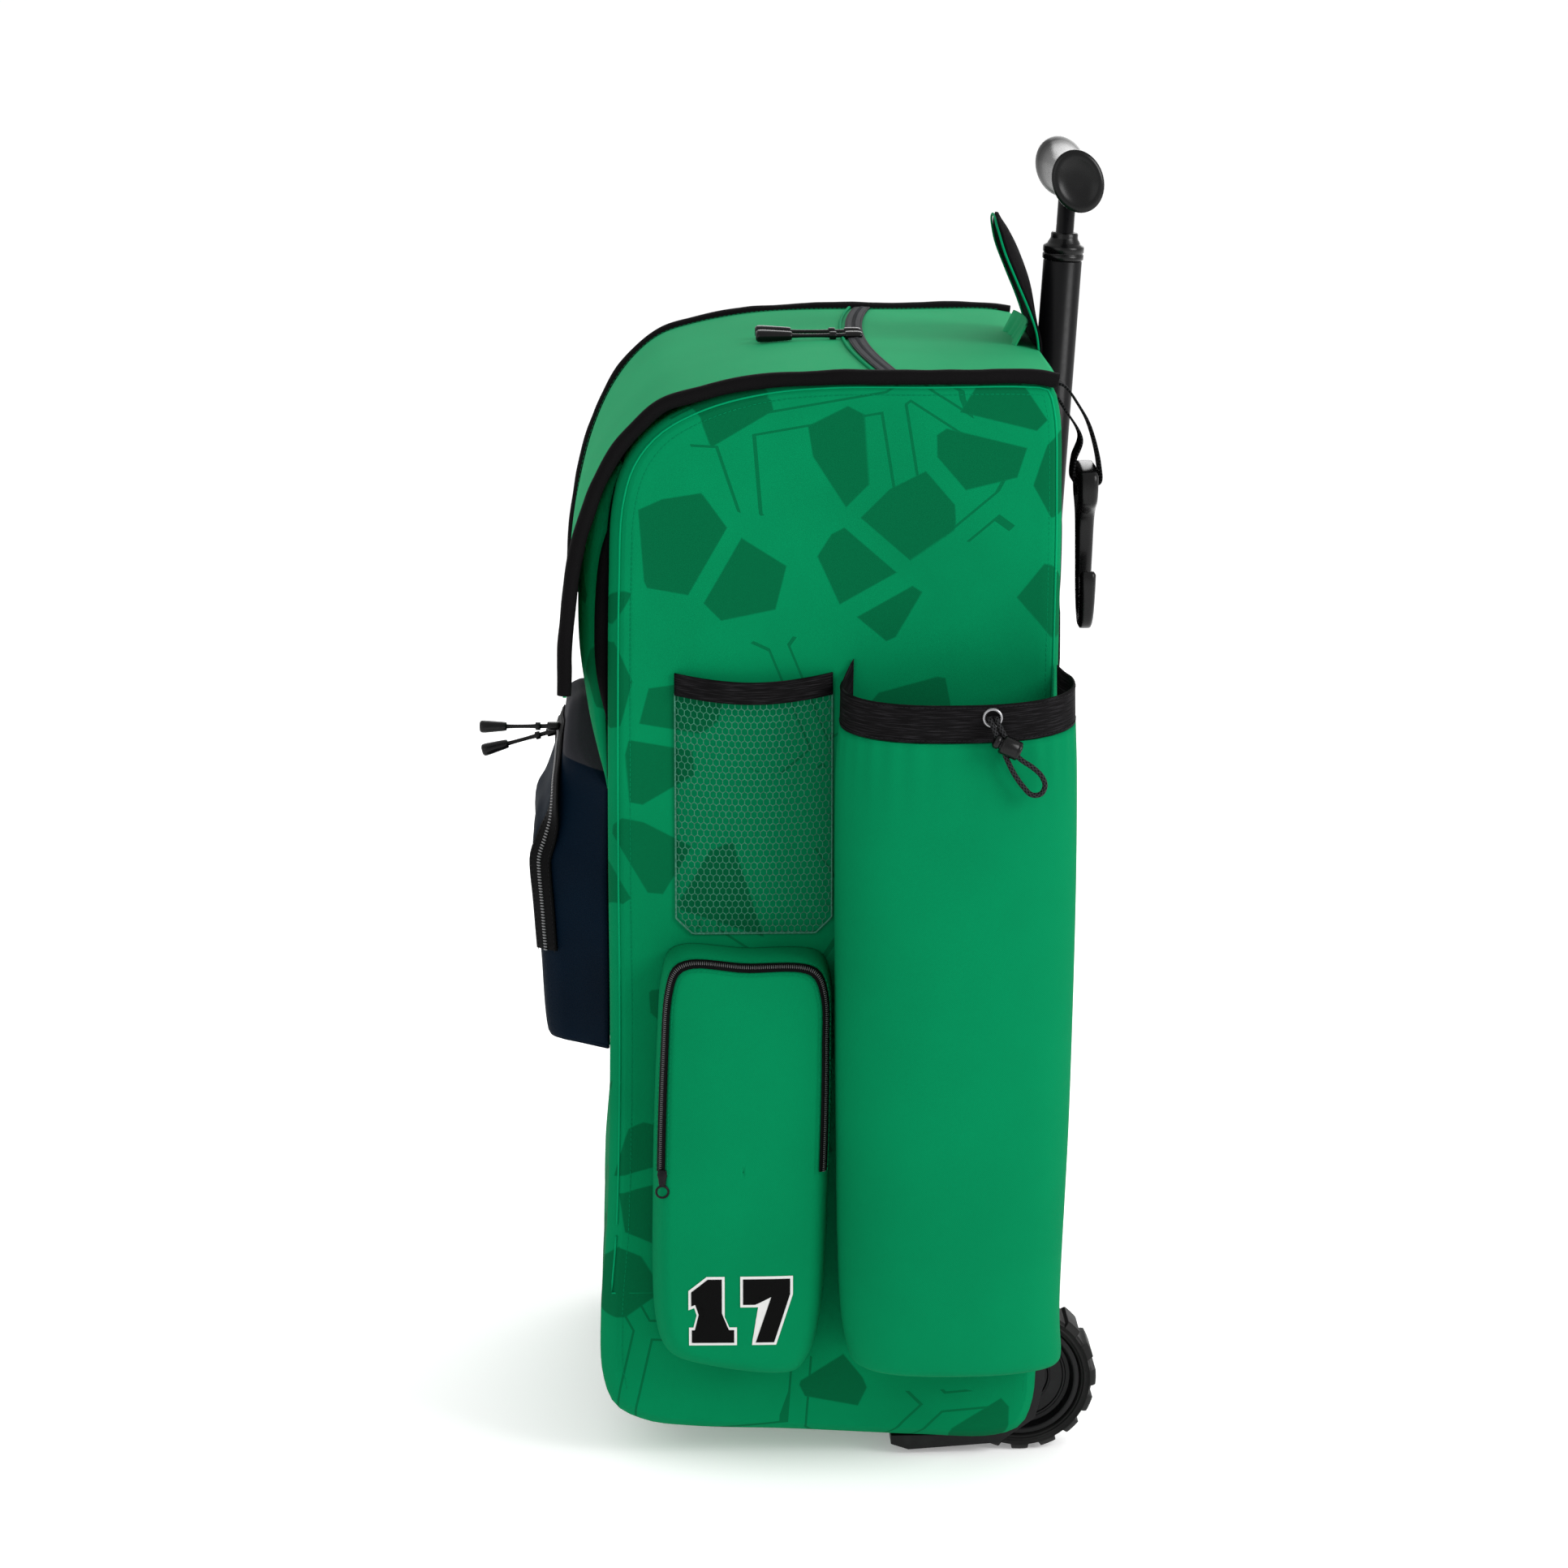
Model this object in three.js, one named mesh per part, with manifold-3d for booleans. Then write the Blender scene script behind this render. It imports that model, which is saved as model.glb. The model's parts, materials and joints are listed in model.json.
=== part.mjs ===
// Wheeled baseball bag: an upright cloth bag on two wheels, with a pull-out handle.
// Units are millimetres, +Z is up, the front of the bag faces -Y and the floor is z = 0.
import * as THREE from 'three';
import { mergeVertices } from 'three/addons/utils/BufferGeometryUtils.js';
import Module from 'manifold-3d';

const wasm = await Module();
wasm.setup();

// Driving dimensions
const BAG_WIDTH = 380;
const BAG_DEPTH = 310;
const BAG_HEIGHT = 739;
const BAG_CLEARANCE = 17;
const FRONT_OVERHANG = 132;
const EDGE_ROUND = 11;
const CLOTH = 2.5;
const ELASTIC = 1.6;
const NET = 1.2;
const GAP = 0.3;

const BACK_OPENING_WIDTH = 320;
const BACK_OPENING_HEIGHT = 640;
const BACK_PANEL_MARGIN = 12;
const BACK_PAD = 9;

const PIPING_DIAMETER = 10;
const FLAP_DROP = 212;

const UPPER_POCKET_WIDTH = 330;
const UPPER_POCKET_HEIGHT = 222;
const UPPER_POCKET_DEPTH = 20;
const UPPER_POCKET_TOP = 700;
const GUSSET_WIDTH = 8;

const FRONT_POCKET_WIDTH = 236;
const FRONT_POCKET_HEIGHT = 232;
const FRONT_POCKET_DEPTH = 54;
const FRONT_POCKET_BASE = 281;

const ZIP_TAPE = 1;
const TOP_ZIP_WIDTH = 12;
const TOP_ZIP_Y = 50;
const TOP_ZIP_BOW = 14;
const FRONT_ZIP_WIDTH = 21;
const LOW_ZIP_WIDTH = 7;

const TOP_PULL_LENGTH = 74;
const FRONT_PULL_LENGTH = 57;
const PULL_GRIP_WIDTH = 10;

const SLEEVE_WIDTH = 161;
const SLEEVE_HEIGHT = 450;
const SLEEVE_DEPTH = 68;
const SLEEVE_BASE = 84;
const SLEEVE_CENTRE_Y = 107;
const SLEEVE_RIM_DIP = 9;
const SLEEVE_BAND_HEIGHT = 25;

const NET_POCKET_WIDTH = 105;
const NET_POCKET_HEIGHT = 166;
const NET_POCKET_BULGE = 9;
const NET_POCKET_BASE = 383;
const NET_BAND_HEIGHT = 13;

const LOW_POCKET_WIDTH = 122;
const LOW_POCKET_HEIGHT = 300;
const LOW_POCKET_DEPTH = 36;
const LOW_POCKET_BASE = 76;

const CORD_DIAMETER = 3.5;
const GROMMET_DIAMETER = 15;
const GROMMET_HOLE = 9.5;
const GROMMET_THICKNESS = 1.6;
const LOCK_LENGTH = 19;
const LOCK_DIAMETER = 13;

const WHEEL_DIAMETER = 106;
const WHEEL_WIDTH = 38;
const WHEEL_CENTRE_X = 153;
const WHEEL_CENTRE_Y = 160;
const HUB_DIAMETER = 82;
const TREAD_DEPTH = 3;
const TREAD_LUGS = 16;
const AXLE_DIAMETER = 8;
const AXLE_PLAY = 0.45;
const AXLE_HEAD_DIAMETER = 12.8;
const HOUSING_WALL = 2.7;
const HOUSING_SIDE_PLAY = 3;
const HOUSING_ARCH_PLAY = 4.5;
const HOUSING_FOOT = 31;

const BASE_WIDTH = 140;
const BASE_FRONT_Y = -100;
const BASE_BACK_Y = 166;

const HANDLE_LEAN = THREE.MathUtils.degToRad(3.5);
const HANDLE_FOOT_Y = 146;
const HANDLE_FOOT_Z = 24;
const TUBE_DIAMETER = 27;
const TUBE_WALL = 2;
const TUBE_LENGTH = 793;
const COLLAR_LENGTH = 19;
const ROD_DIAMETER = 12.5;
const ROD_SHOWN = 27;
const ROD_HIDDEN = 420;
const HANDLE_PLAY = 0.4;
const GRIP_LENGTH = 124;
const GRIP_END_HEIGHT = 44;
const GRIP_MIDDLE_HEIGHT = 30;
const GRIP_FLATNESS = 0.8;
const GRIP_TURN = THREE.MathUtils.degToRad(23);
const SOCKET_WALL = 5;
const SOCKET_HEIGHT = 52;

const COVER_WIDTH = 108;
const COVER_HEIGHT = 101;
const COVER_CLOTH = 1.8;
const COVER_LEAN = 27;
const COVER_CURL = 10;
const COVER_GUSSET_HEIGHT = 15;

const HOOK_X = 100;
const HOOK_TOP_Z = 686;
const HOOK_Y = 202.5;
const HOOK_HEIGHT = 104;
const HOOK_WIDTH = 56;
const HOOK_THICKNESS = 12;
const HOOK_BAR = 9;
const WEBBING_WIDTH = 25;
const WEBBING = 1.6;

const GRAB_LENGTH = 120;
const GRAB_WIDTH = 20;
const GRAB_RISE = 11;
const GRAB_Z = 115;

// Sizes worked out from the driving ones
const HALF_WIDTH = BAG_WIDTH / 2;
const PIPING_RADIUS = PIPING_DIAMETER / 2;
const BAG_TOP = BAG_CLEARANCE + BAG_HEIGHT;
const SIDE_X = HALF_WIDTH + GAP;
const SLEEVE_FRONT_Y = SLEEVE_CENTRE_Y - SLEEVE_WIDTH / 2;
const LOW_POCKET_FRONT_Y = SLEEVE_FRONT_Y - 2 * GAP - LOW_POCKET_WIDTH;
const NET_POCKET_FRONT_Y = SLEEVE_FRONT_Y - 2 * GAP - NET_POCKET_WIDTH;
const bagY = (share) => -FRONT_OVERHANG + share * BAG_DEPTH;
const bagZ = (share) => BAG_CLEARANCE + share * BAG_HEIGHT;

// Side outline of the main compartment, from the lower back corner up, over the top and down
// the front. depth and height are shares of the bag, round is the share of its edge rounding.
const BAG_OUTLINE = [
  { depth: 0.972, height: 0.07, round: 0.6 },
  { depth: 0.985, height: 0.25, round: 0.6 },
  { depth: 0.992, height: 0.5, round: 0.6 },
  { depth: 0.998, height: 0.75, round: 0.6 },
  { depth: 1.0, height: 0.9, round: 0.6 },
  { depth: 0.992, height: 0.975, round: 0.6 },
  { depth: 0.972, height: 0.997, round: 0.6 },
  { depth: 0.93, height: 1.0, round: 0.6 },
  { depth: 0.72, height: 1.0, round: 0.6 },
  { depth: 0.5, height: 1.0, round: 0.6 },
  { depth: 0.36, height: 0.995, round: 0.65 },
  { depth: 0.23, height: 0.982, round: 0.8 },
  { depth: 0.13, height: 0.96, round: 0.9 },
  { depth: 0.07, height: 0.93, round: 1.0 },
  { depth: 0.042, height: 0.89, round: 1.0 },
  { depth: 0.033, height: 0.82, round: 1.0 },
  { depth: 0.028, height: 0.69, round: 1.0 },
  { depth: 0.026, height: 0.56, round: 1.0 },
  { depth: 0.026, height: 0.39, round: 1.0 },
  { depth: 0.016, height: 0.22, round: 1.0 },
  { depth: 0.0, height: 0.13, round: 1.0 },
  { depth: 0.003, height: 0.065, round: 1.0 },
  { depth: 0.03, height: 0.035, round: 0.9 },
  { depth: 0.1, height: 0.019, round: 0.8 },
  { depth: 0.2, height: 0.013, round: 0.7 },
  { depth: 0.42, height: 0.009, round: 0.7 },
  { depth: 0.7, height: 0.002, round: 0.7 },
  { depth: 0.88, height: 0.0, round: 0.7 },
  { depth: 0.94, height: 0.01, round: 0.7 },
  { depth: 0.965, height: 0.035, round: 0.6 },
];

// How the outline shrinks towards a side panel. across is a share of the half width.
const BAG_STATIONS = [
  { across: 1.0, inset: 1.0 },
  { across: 0.985, inset: 0.45 },
  { across: 0.95, inset: 0.0 },
];
const BAG_POINTS = 38;

// Joins closed rings of points into one skin and closes its two ends
function skin(rings) {
  const sides = rings[0].length;
  const vertices = rings.flat();
  const faces = [];
  for (let k = 0; k + 1 < rings.length; k += 1) {
    for (let j = 0; j < sides; j += 1) {
      const a = k * sides + j;
      const b = k * sides + ((j + 1) % sides);
      faces.push(a, b, b + sides, a, b + sides, a + sides);
    }
  }
  for (const face of endFaces(rings[0])) {
    faces.push(face[0], face[2], face[1]);
  }
  const last = (rings.length - 1) * sides;
  for (const face of endFaces(rings[rings.length - 1])) {
    faces.push(last + face[0], last + face[1], last + face[2]);
  }
  return closedGeometry(vertices, faces);
}

// Triangles over one ring, seen along the ring's own normal
function endFaces(ring) {
  const normal = new THREE.Vector3();
  for (let i = 0; i < ring.length; i += 1) {
    const step = new THREE.Vector3().crossVectors(ring[i], ring[(i + 1) % ring.length]);
    normal.add(step);
  }
  normal.normalize();
  const turn = new THREE.Quaternion().setFromUnitVectors(normal, new THREE.Vector3(0, 0, 1));
  const flat = ring.map((point) => point.clone().applyQuaternion(turn));
  return THREE.ShapeUtils.triangulateShape(flat.map((p) => new THREE.Vector2(p.x, p.y)), []);
}

// A geometry from vertices and faces, turned so that its faces point outwards
function closedGeometry(vertices, faces) {
  let volume = 0;
  for (let i = 0; i < faces.length; i += 3) {
    const [a, b, c] = [vertices[faces[i]], vertices[faces[i + 1]], vertices[faces[i + 2]]];
    volume += a.dot(new THREE.Vector3().crossVectors(b, c));
  }
  if (volume < 0) {
    faces.reverse();
  }
  const geometry = new THREE.BufferGeometry();
  const places = vertices.flatMap((v) => [v.x, v.y, v.z]);
  geometry.setAttribute('position', new THREE.Float32BufferAttribute(places, 3));
  geometry.setIndex(faces);
  return geometry;
}

// Conversions to and from the solids that can be cut and joined
function welded(geometry) {
  const bare = geometry.clone();
  bare.deleteAttribute('normal');
  bare.deleteAttribute('uv');
  return mergeVertices(bare, 1e-3);
}

function solid(geometry) {
  const merged = welded(geometry);
  const mesh = new wasm.Mesh({
    numProp: 3,
    vertProperties: new Float32Array(merged.attributes.position.array),
    triVerts: new Uint32Array(merged.index.array),
  });
  return new wasm.Manifold(mesh);
}

function geometryOf(body) {
  const mesh = body.getMesh();
  const geometry = new THREE.BufferGeometry();
  const places = new Float32Array(mesh.vertProperties);
  geometry.setAttribute('position', new THREE.BufferAttribute(places, 3));
  geometry.setIndex(Array.from(mesh.triVerts));
  return geometry;
}

function cut(geometry, ...tools) {
  let body = solid(geometry);
  for (const tool of tools) {
    body = body.subtract(solid(tool));
  }
  return geometryOf(body);
}

function join(geometry, ...others) {
  let body = solid(geometry);
  for (const other of others) {
    body = body.add(solid(other));
  }
  return geometryOf(body);
}

// The same geometry on the other side of the bag
function mirrored(geometry) {
  const copy = welded(geometry);
  copy.scale(-1, 1, 1);
  const index = copy.index.array;
  for (let i = 0; i < index.length; i += 3) {
    [index[i], index[i + 1]] = [index[i + 1], index[i]];
  }
  return copy;
}

// A block between two corners
function block(low, high) {
  const size = high.map((value, i) => value - low[i]);
  const geometry = new THREE.BoxGeometry(...size);
  geometry.translate(...low.map((value, i) => value + size[i] / 2));
  return geometry;
}

// A smooth curve through points
const smooth = (points, closed = false) => new THREE.CatmullRomCurve3(points, closed, 'centripetal');

// Points along a closed outline in the YZ plane with its outward normals; x holds the rounding
function outlinePoints(curve, count) {
  const points = [];
  for (let i = 0; i < count; i += 1) {
    const at = curve.getPoint(i / count);
    const along = curve.getTangent(i / count);
    const length = Math.hypot(along.y, along.z);
    points.push({ y: at.y, z: at.z, ny: along.z / length, nz: -along.y / length, round: at.x });
  }
  return points;
}

// The main compartment's form, smaller than its outside by a shrink all round
const bagCurve = smooth(BAG_OUTLINE.map((row) => (
  new THREE.Vector3(row.round, bagY(row.depth), bagZ(row.height))
)), true);
const bagOutline = outlinePoints(bagCurve, BAG_POINTS);
function bagForm(shrink) {
  const half = [...BAG_STATIONS];
  const other = half.map((row) => ({ across: -row.across, inset: row.inset })).reverse();
  const rings = [...half, ...other].map((row) => bagOutline.map((p) => {
    const inset = shrink + row.inset * EDGE_ROUND * p.round;
    return new THREE.Vector3(row.across * (HALF_WIDTH - shrink), p.y - p.ny * inset, p.z - p.nz * inset);
  }));
  return skin(rings);
}

// Where the compartment's back or front face stands at one height
function faceY(z, side) {
  const near = bagOutline.filter((p) => Math.sign(p.ny) === side && Math.abs(p.ny) > 0.6);
  near.sort((a, b) => a.z - b.z);
  const level = THREE.MathUtils.clamp(z, near[0].z, near[near.length - 1].z);
  const above = Math.max(1, near.findIndex((p) => p.z >= level));
  const [a, b] = [near[above - 1], near[above]];
  return a.y + ((b.y - a.y) * (level - a.z)) / (b.z - a.z);
}

// A piece that lies on the compartment, trimmed to keep a gap to its cloth
const offBag = (geometry, ...tools) => cut(geometry, bagForm(-GAP), ...tools);

// A prism between two places across the bag, from a YZ outline
function prismAcross(points, x0, x1) {
  const ring = (x) => points.map(([y, z]) => new THREE.Vector3(x, y, z));
  return skin([ring(x0), ring(x1)]);
}

// A thin sheet from a function of u and v in 0..1 that gives a point, and its thickness direction
function sheet(across, along, at, normal, thickness) {
  const vertices = [];
  const faces = [];
  const layer = (across + 1) * (along + 1);
  for (const lift of [0, thickness]) {
    for (let v = 0; v <= along; v += 1) {
      for (let u = 0; u <= across; u += 1) {
        const point = at(u / across, v / along);
        const up = normal(u / across, v / along).clone().normalize();
        vertices.push(point.clone().addScaledVector(up, lift));
      }
    }
  }
  const id = (u, v, side) => side * layer + v * (across + 1) + u;
  const quad = (a, b, c, d) => faces.push(a, b, c, a, c, d);
  for (let v = 0; v < along; v += 1) {
    for (let u = 0; u < across; u += 1) {
      quad(id(u, v, 1), id(u + 1, v, 1), id(u + 1, v + 1, 1), id(u, v + 1, 1));
      quad(id(u, v, 0), id(u, v + 1, 0), id(u + 1, v + 1, 0), id(u + 1, v, 0));
    }
    quad(id(0, v, 0), id(0, v, 1), id(0, v + 1, 1), id(0, v + 1, 0));
    quad(id(across, v, 0), id(across, v + 1, 0), id(across, v + 1, 1), id(across, v, 1));
  }
  for (let u = 0; u < across; u += 1) {
    quad(id(u, 0, 0), id(u + 1, 0, 0), id(u + 1, 0, 1), id(u, 0, 1));
    quad(id(u, along, 0), id(u, along, 1), id(u + 1, along, 1), id(u + 1, along, 0));
  }
  return closedGeometry(vertices, faces);
}

// A strip along a run of frames, each with its middle point, side direction, normal and half width
function strip(frames, thickness) {
  const rings = frames.map(({ at, side, normal, half }) => {
    const corner = (s, n) => at.clone().addScaledVector(side, s * half).addScaledVector(normal, n);
    return [corner(-1, 0), corner(1, 0), corner(1, thickness), corner(-1, thickness)];
  });
  return skin(rings);
}

// A round bar of a few sides along a smooth curve
function bar(curve, radius, sides, steps) {
  const section = new THREE.Shape();
  for (let i = 0; i < sides; i += 1) {
    const angle = (2 * Math.PI * i) / sides;
    section[i === 0 ? 'moveTo' : 'lineTo'](radius * Math.cos(angle), radius * Math.sin(angle));
  }
  return new THREE.ExtrudeGeometry(section, { steps, bevelEnabled: false, extrudePath: curve });
}

// A turned piece about the Y axis from radius and height pairs that close on themselves
function turned(rows, segments) {
  const points = rows.map(([radius, height]) => new THREE.Vector2(radius, height));
  return new THREE.LatheGeometry(points, segments);
}

function tubeForm(outer, inner, low, high, segments) {
  return turned([[inner, low], [outer, low], [outer, high], [inner, high], [inner, low]], segments);
}

function rodForm(radius, low, high, segments) {
  return turned([[0, low], [radius, low], [radius, high], [0, high]], segments);
}

// Finishes, as read from the real bag
const finish = (color, roughness, metalness = 0) => (
  new THREE.MeshStandardMaterial({ color, roughness, metalness })
);
const GREEN_CLOTH = finish(0x058a58, 0.85);
const GREEN_PRINT = finish(0x08855a, 0.85);
const TOP_CLOTH = finish(0x339264, 0.85);
const BLACK_CLOTH = finish(0x0b090b, 0.8);
const NAVY_CLOTH = finish(0x00101c, 0.7);
const BLACK_TAPE = finish(0x0c0b0c, 0.8);
const GREY_TAPE = finish(0x35363a, 0.8);
const GREEN_NET = finish(0x2c7a5c, 0.8);
const BLACK_PLASTIC = finish(0x080808, 0.4);
const BLACK_RUBBER = finish(0x060606, 0.75);
const BLACK_METAL = finish(0x050505, 0.35, 0.6);
const STEEL = finish(0x7d7d7d, 0.35, 0.9);

const bag = new THREE.Group();

// Adds one named piece to a group
function add(name, geometry, material, parent = bag) {
  const mesh = new THREE.Mesh(geometry, material);
  mesh.name = name;
  parent.add(mesh);
  return mesh;
}

// Adds a piece made for the right side, and its mirror image on the left
function addPair(name, geometry, material) {
  add(`${name}_right`, geometry, material);
  add(`${name}_left`, mirrored(geometry), material);
}

// Wheel housing: a moulded box with side plates, an arch over the wheel and a foot in front.
// Its outline in the YZ plane, grown all round by a margin.
const WHEEL_RADIUS = WHEEL_DIAMETER / 2;
const ARCH_RADIUS = WHEEL_RADIUS + HOUSING_ARCH_PLAY;
const HOUSING_BACK_Y = WHEEL_CENTRE_Y + 0.3 * WHEEL_RADIUS;
function housingOutline(grow) {
  const outer = ARCH_RADIUS + HOUSING_WALL + grow;
  const front = WHEEL_CENTRE_Y - outer;
  const foot = WHEEL_CENTRE_Y - ARCH_RADIUS - HOUSING_WALL - HOUSING_FOOT - grow;
  const under = BAG_CLEARANCE - 2 + grow;
  const points = [[foot, under], [front, under], [front, WHEEL_RADIUS]];
  for (let i = 1; i < 8; i += 1) {
    const angle = Math.PI - (i * Math.PI) / 12;
    const y = WHEEL_CENTRE_Y + outer * Math.cos(angle);
    points.push([y, WHEEL_RADIUS + outer * Math.sin(angle)]);
  }
  const back = HOUSING_BACK_Y + grow;
  const floor = 0.08 * WHEEL_RADIUS - grow;
  points.push([back, WHEEL_RADIUS + 0.9 * outer], [back, WHEEL_RADIUS]);
  points.push([back - 0.12 * WHEEL_RADIUS, 0.5 * WHEEL_RADIUS], [back - 0.6 * WHEEL_RADIUS, 2 * floor]);
  points.push([foot + 0.4 * HOUSING_FOOT, floor], [foot, 2 * floor]);
  return points;
}

const HOUSING_INNER_X = WHEEL_CENTRE_X - WHEEL_WIDTH / 2 - HOUSING_SIDE_PLAY - HOUSING_WALL;
const HOUSING_OUTER_X = WHEEL_CENTRE_X + WHEEL_WIDTH / 2 + HOUSING_SIDE_PLAY + HOUSING_WALL;
const AXLE_HEAD = 4;
const headRoom = AXLE_HEAD + GAP;
const housingRoom = prismAcross(
  housingOutline(GAP),
  HOUSING_INNER_X - headRoom,
  HOUSING_OUTER_X + headRoom,
);

// The handle's own frame: its axis is the local Y axis, which leans back as it rises
const handleFrame = new THREE.Group();
handleFrame.position.set(0, HANDLE_FOOT_Y, HANDLE_FOOT_Z);
handleFrame.rotation.x = Math.PI / 2 - HANDLE_LEAN;
handleFrame.updateMatrix();
bag.add(handleFrame);
const inHandleFrame = (geometry) => geometry.applyMatrix4(handleFrame.matrix);

const TUBE_RADIUS = TUBE_DIAMETER / 2;
const SOCKET_RADIUS = TUBE_RADIUS + GAP + SOCKET_WALL;
const TUBE_SIDES = 16;
const handleChannel = () => inHandleFrame(rodForm(TUBE_RADIUS + GAP, 0, TUBE_LENGTH, TUBE_SIDES));

// Main compartment: a hollow cloth box with its mouth at the back, where the back panel lies
function makeBagShell() {
  const middle = BAG_CLEARANCE + BAG_HEIGHT / 2;
  const mouth = block(
    [-BACK_OPENING_WIDTH / 2, bagY(0.9), middle - BACK_OPENING_HEIGHT / 2],
    [BACK_OPENING_WIDTH / 2, bagY(1.1), middle + BACK_OPENING_HEIGHT / 2],
  );
  const hole = inHandleFrame(rodForm(SOCKET_RADIUS + GAP, -HANDLE_FOOT_Z, SOCKET_HEIGHT, TUBE_SIDES));
  const body = cut(bagForm(0), bagForm(CLOTH), mouth, housingRoom, mirrored(housingRoom), hole);
  return cut(body, handleChannel());
}
add('bag_shell', makeBagShell(), GREEN_PRINT);

// Back panel: a padded cloth panel over the mouth, with a channel that the handle tube lies in.
// The rows give how its padding rises across it.
const BACK_PANEL_PAD = [
  { across: 0.995, rise: 0.2 },
  { across: 0.93, rise: 0.55 },
  { across: 0.8, rise: 0.95 },
  { across: 0.5, rise: 1.0 },
  { across: 0.2, rise: 0.95 },
  { across: 0.07, rise: 0.55 },
  { across: 0.005, rise: 0.2 },
];
const backPad = (v) => BACK_PAD * (0.55 + 0.45 * Math.sin(Math.PI * v));
function makeBackPanel() {
  const half = BACK_OPENING_WIDTH / 2 + BACK_PANEL_MARGIN;
  const low = BAG_CLEARANCE + (BAG_HEIGHT - BACK_OPENING_HEIGHT) / 2 - BACK_PANEL_MARGIN;
  const high = low + BACK_OPENING_HEIGHT + 2 * BACK_PANEL_MARGIN;
  const inner = (u, v) => {
    const z = low + v * (high - low);
    return new THREE.Vector3((2 * u - 1) * half, faceY(z, 1) + GAP, z);
  };
  const rings = [];
  const rows = 8;
  for (let k = 0; k <= rows; k += 1) {
    const v = k / rows;
    const lift = backPad(v);
    const face = [0, 0.5, 1].map((u) => inner(u, v));
    const pad = BACK_PANEL_PAD.map(({ across, rise }) => (
      inner(across, v).add(new THREE.Vector3(0, lift * rise, 0))
    ));
    rings.push([...face, ...pad]);
  }
  return offBag(skin(rings), handleChannel(), housingRoom, mirrored(housingRoom));
}
add('back_panel', makeBackPanel(), BLACK_CLOTH);

// Helmet flap: one cloth that covers the top and hangs down free in front. The rows give its
// inner face: depth is a share of the bag's depth, rise of its height, hang of the flap's drop.
const FLAP_ROWS = [
  { depth: 0.985, rise: 0.9975, hang: 0 },
  { depth: 0.93, rise: 1.001, hang: 0 },
  { depth: 0.72, rise: 1.001, hang: 0 },
  { depth: 0.5, rise: 1.001, hang: 0 },
  { depth: 0.36, rise: 0.9975, hang: 0 },
  { depth: 0.235, rise: 0.988, hang: 0 },
  { depth: 0.155, rise: 0.977, hang: 0 },
  { depth: 0.1, rise: 0.959, hang: 0 },
  { depth: 0.045, rise: 0.929, hang: 0 },
  { depth: -0.003, rise: 1.0, hang: 0.4 },
  { depth: -0.036, rise: 1.0, hang: 0.586 },
  { depth: -0.057, rise: 1.0, hang: 0.855 },
  { depth: -0.06, rise: 1.0, hang: 1.0 },
];
const flapKnots = FLAP_ROWS.map((row) => new THREE.Vector3(
  0,
  bagY(row.depth),
  bagZ(row.rise) + GAP - row.hang * FLAP_DROP,
));
const flapCurve = smooth(flapKnots);
const FLAP_STEPS = 24;
const flapPath = flapCurve.getPoints(FLAP_STEPS);
const flapNormals = flapPath.map((_, i) => {
  const along = flapCurve.getTangent(i / FLAP_STEPS);
  return new THREE.Vector3(0, along.z, -along.y).normalize();
});
const PIPING_X = HALF_WIDTH - 1;

function makeFlap() {
  const frames = flapPath.map((at, i) => ({
    at,
    side: new THREE.Vector3(1, 0, 0),
    normal: flapNormals[i],
    half: PIPING_X - PIPING_RADIUS - GAP,
  }));
  return strip(frames, CLOTH);
}
add('helmet_flap', makeFlap(), TOP_CLOTH);

// Piping: a round bound edge along each side of the flap
function makePiping() {
  const knots = flapPath.filter((_, i) => i % 2 === 0).map((at, i) => (
    at.clone().addScaledVector(flapNormals[2 * i], CLOTH / 2 + 2 * GAP).setX(PIPING_X)
  ));
  return bar(smooth(knots), PIPING_RADIUS, 6, 20);
}
addPair('flap_piping', makePiping(), BLACK_TAPE);

// Upper front pocket: swells forward under the helmet flap. Rows give its side outline.
const UPPER_POCKET_ROWS = [
  { height: 0.0, swell: 0.0 },
  { height: 0.1, swell: 0.3 },
  { height: 0.25, swell: 0.68 },
  { height: 0.45, swell: 0.98 },
  { height: 0.62, swell: 0.98 },
  { height: 0.8, swell: 0.72 },
  { height: 0.92, swell: 0.4 },
  { height: 1.0, swell: 0.1 },
];

// How the upper pocket falls away near its sides
const UPPER_POCKET_STATIONS = [
  { across: 1.0, swell: 0.1, rise: 1 },
  { across: 0.97, swell: 0.65, rise: 1 },
  { across: 0.86, swell: 0.95, rise: 1 },
  { across: 0.45, swell: 1.04, rise: 1 },
];

// A front pocket's form: side outlines across the bag, closed behind by the bag's front face.
// rows give height and swell, stations say how deep and how high it is across its width.
function frontPoint(row, station, size, grow) {
  const high = row.height * station.rise;
  const z = size.top - size.height * (1 - high) + grow * (2 * high - 1);
  const swell = Math.max(row.swell * station.swell * size.depth + grow, 0.2);
  const y = faceY(z, -1) - GAP - swell;
  return new THREE.Vector3(station.across * (size.width / 2 + grow), y, z);
}
function frontForm(rows, stations, size, grow) {
  const other = stations.map((station) => ({ ...station, across: -station.across })).reverse();
  const rings = [...stations, ...other].map((station) => {
    const front = rows.map((row) => frontPoint(row, station, size, grow));
    const ends = [front[front.length - 1], front[0]];
    const back = ends.map(({ x, z }) => new THREE.Vector3(x, faceY(z, -1) - GAP + size.sink, z));
    return [...front, ...back];
  });
  return skin(rings);
}

const upperSize = {
  width: UPPER_POCKET_WIDTH,
  height: UPPER_POCKET_HEIGHT,
  depth: UPPER_POCKET_DEPTH,
  top: UPPER_POCKET_TOP,
  sink: 0,
};

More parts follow.
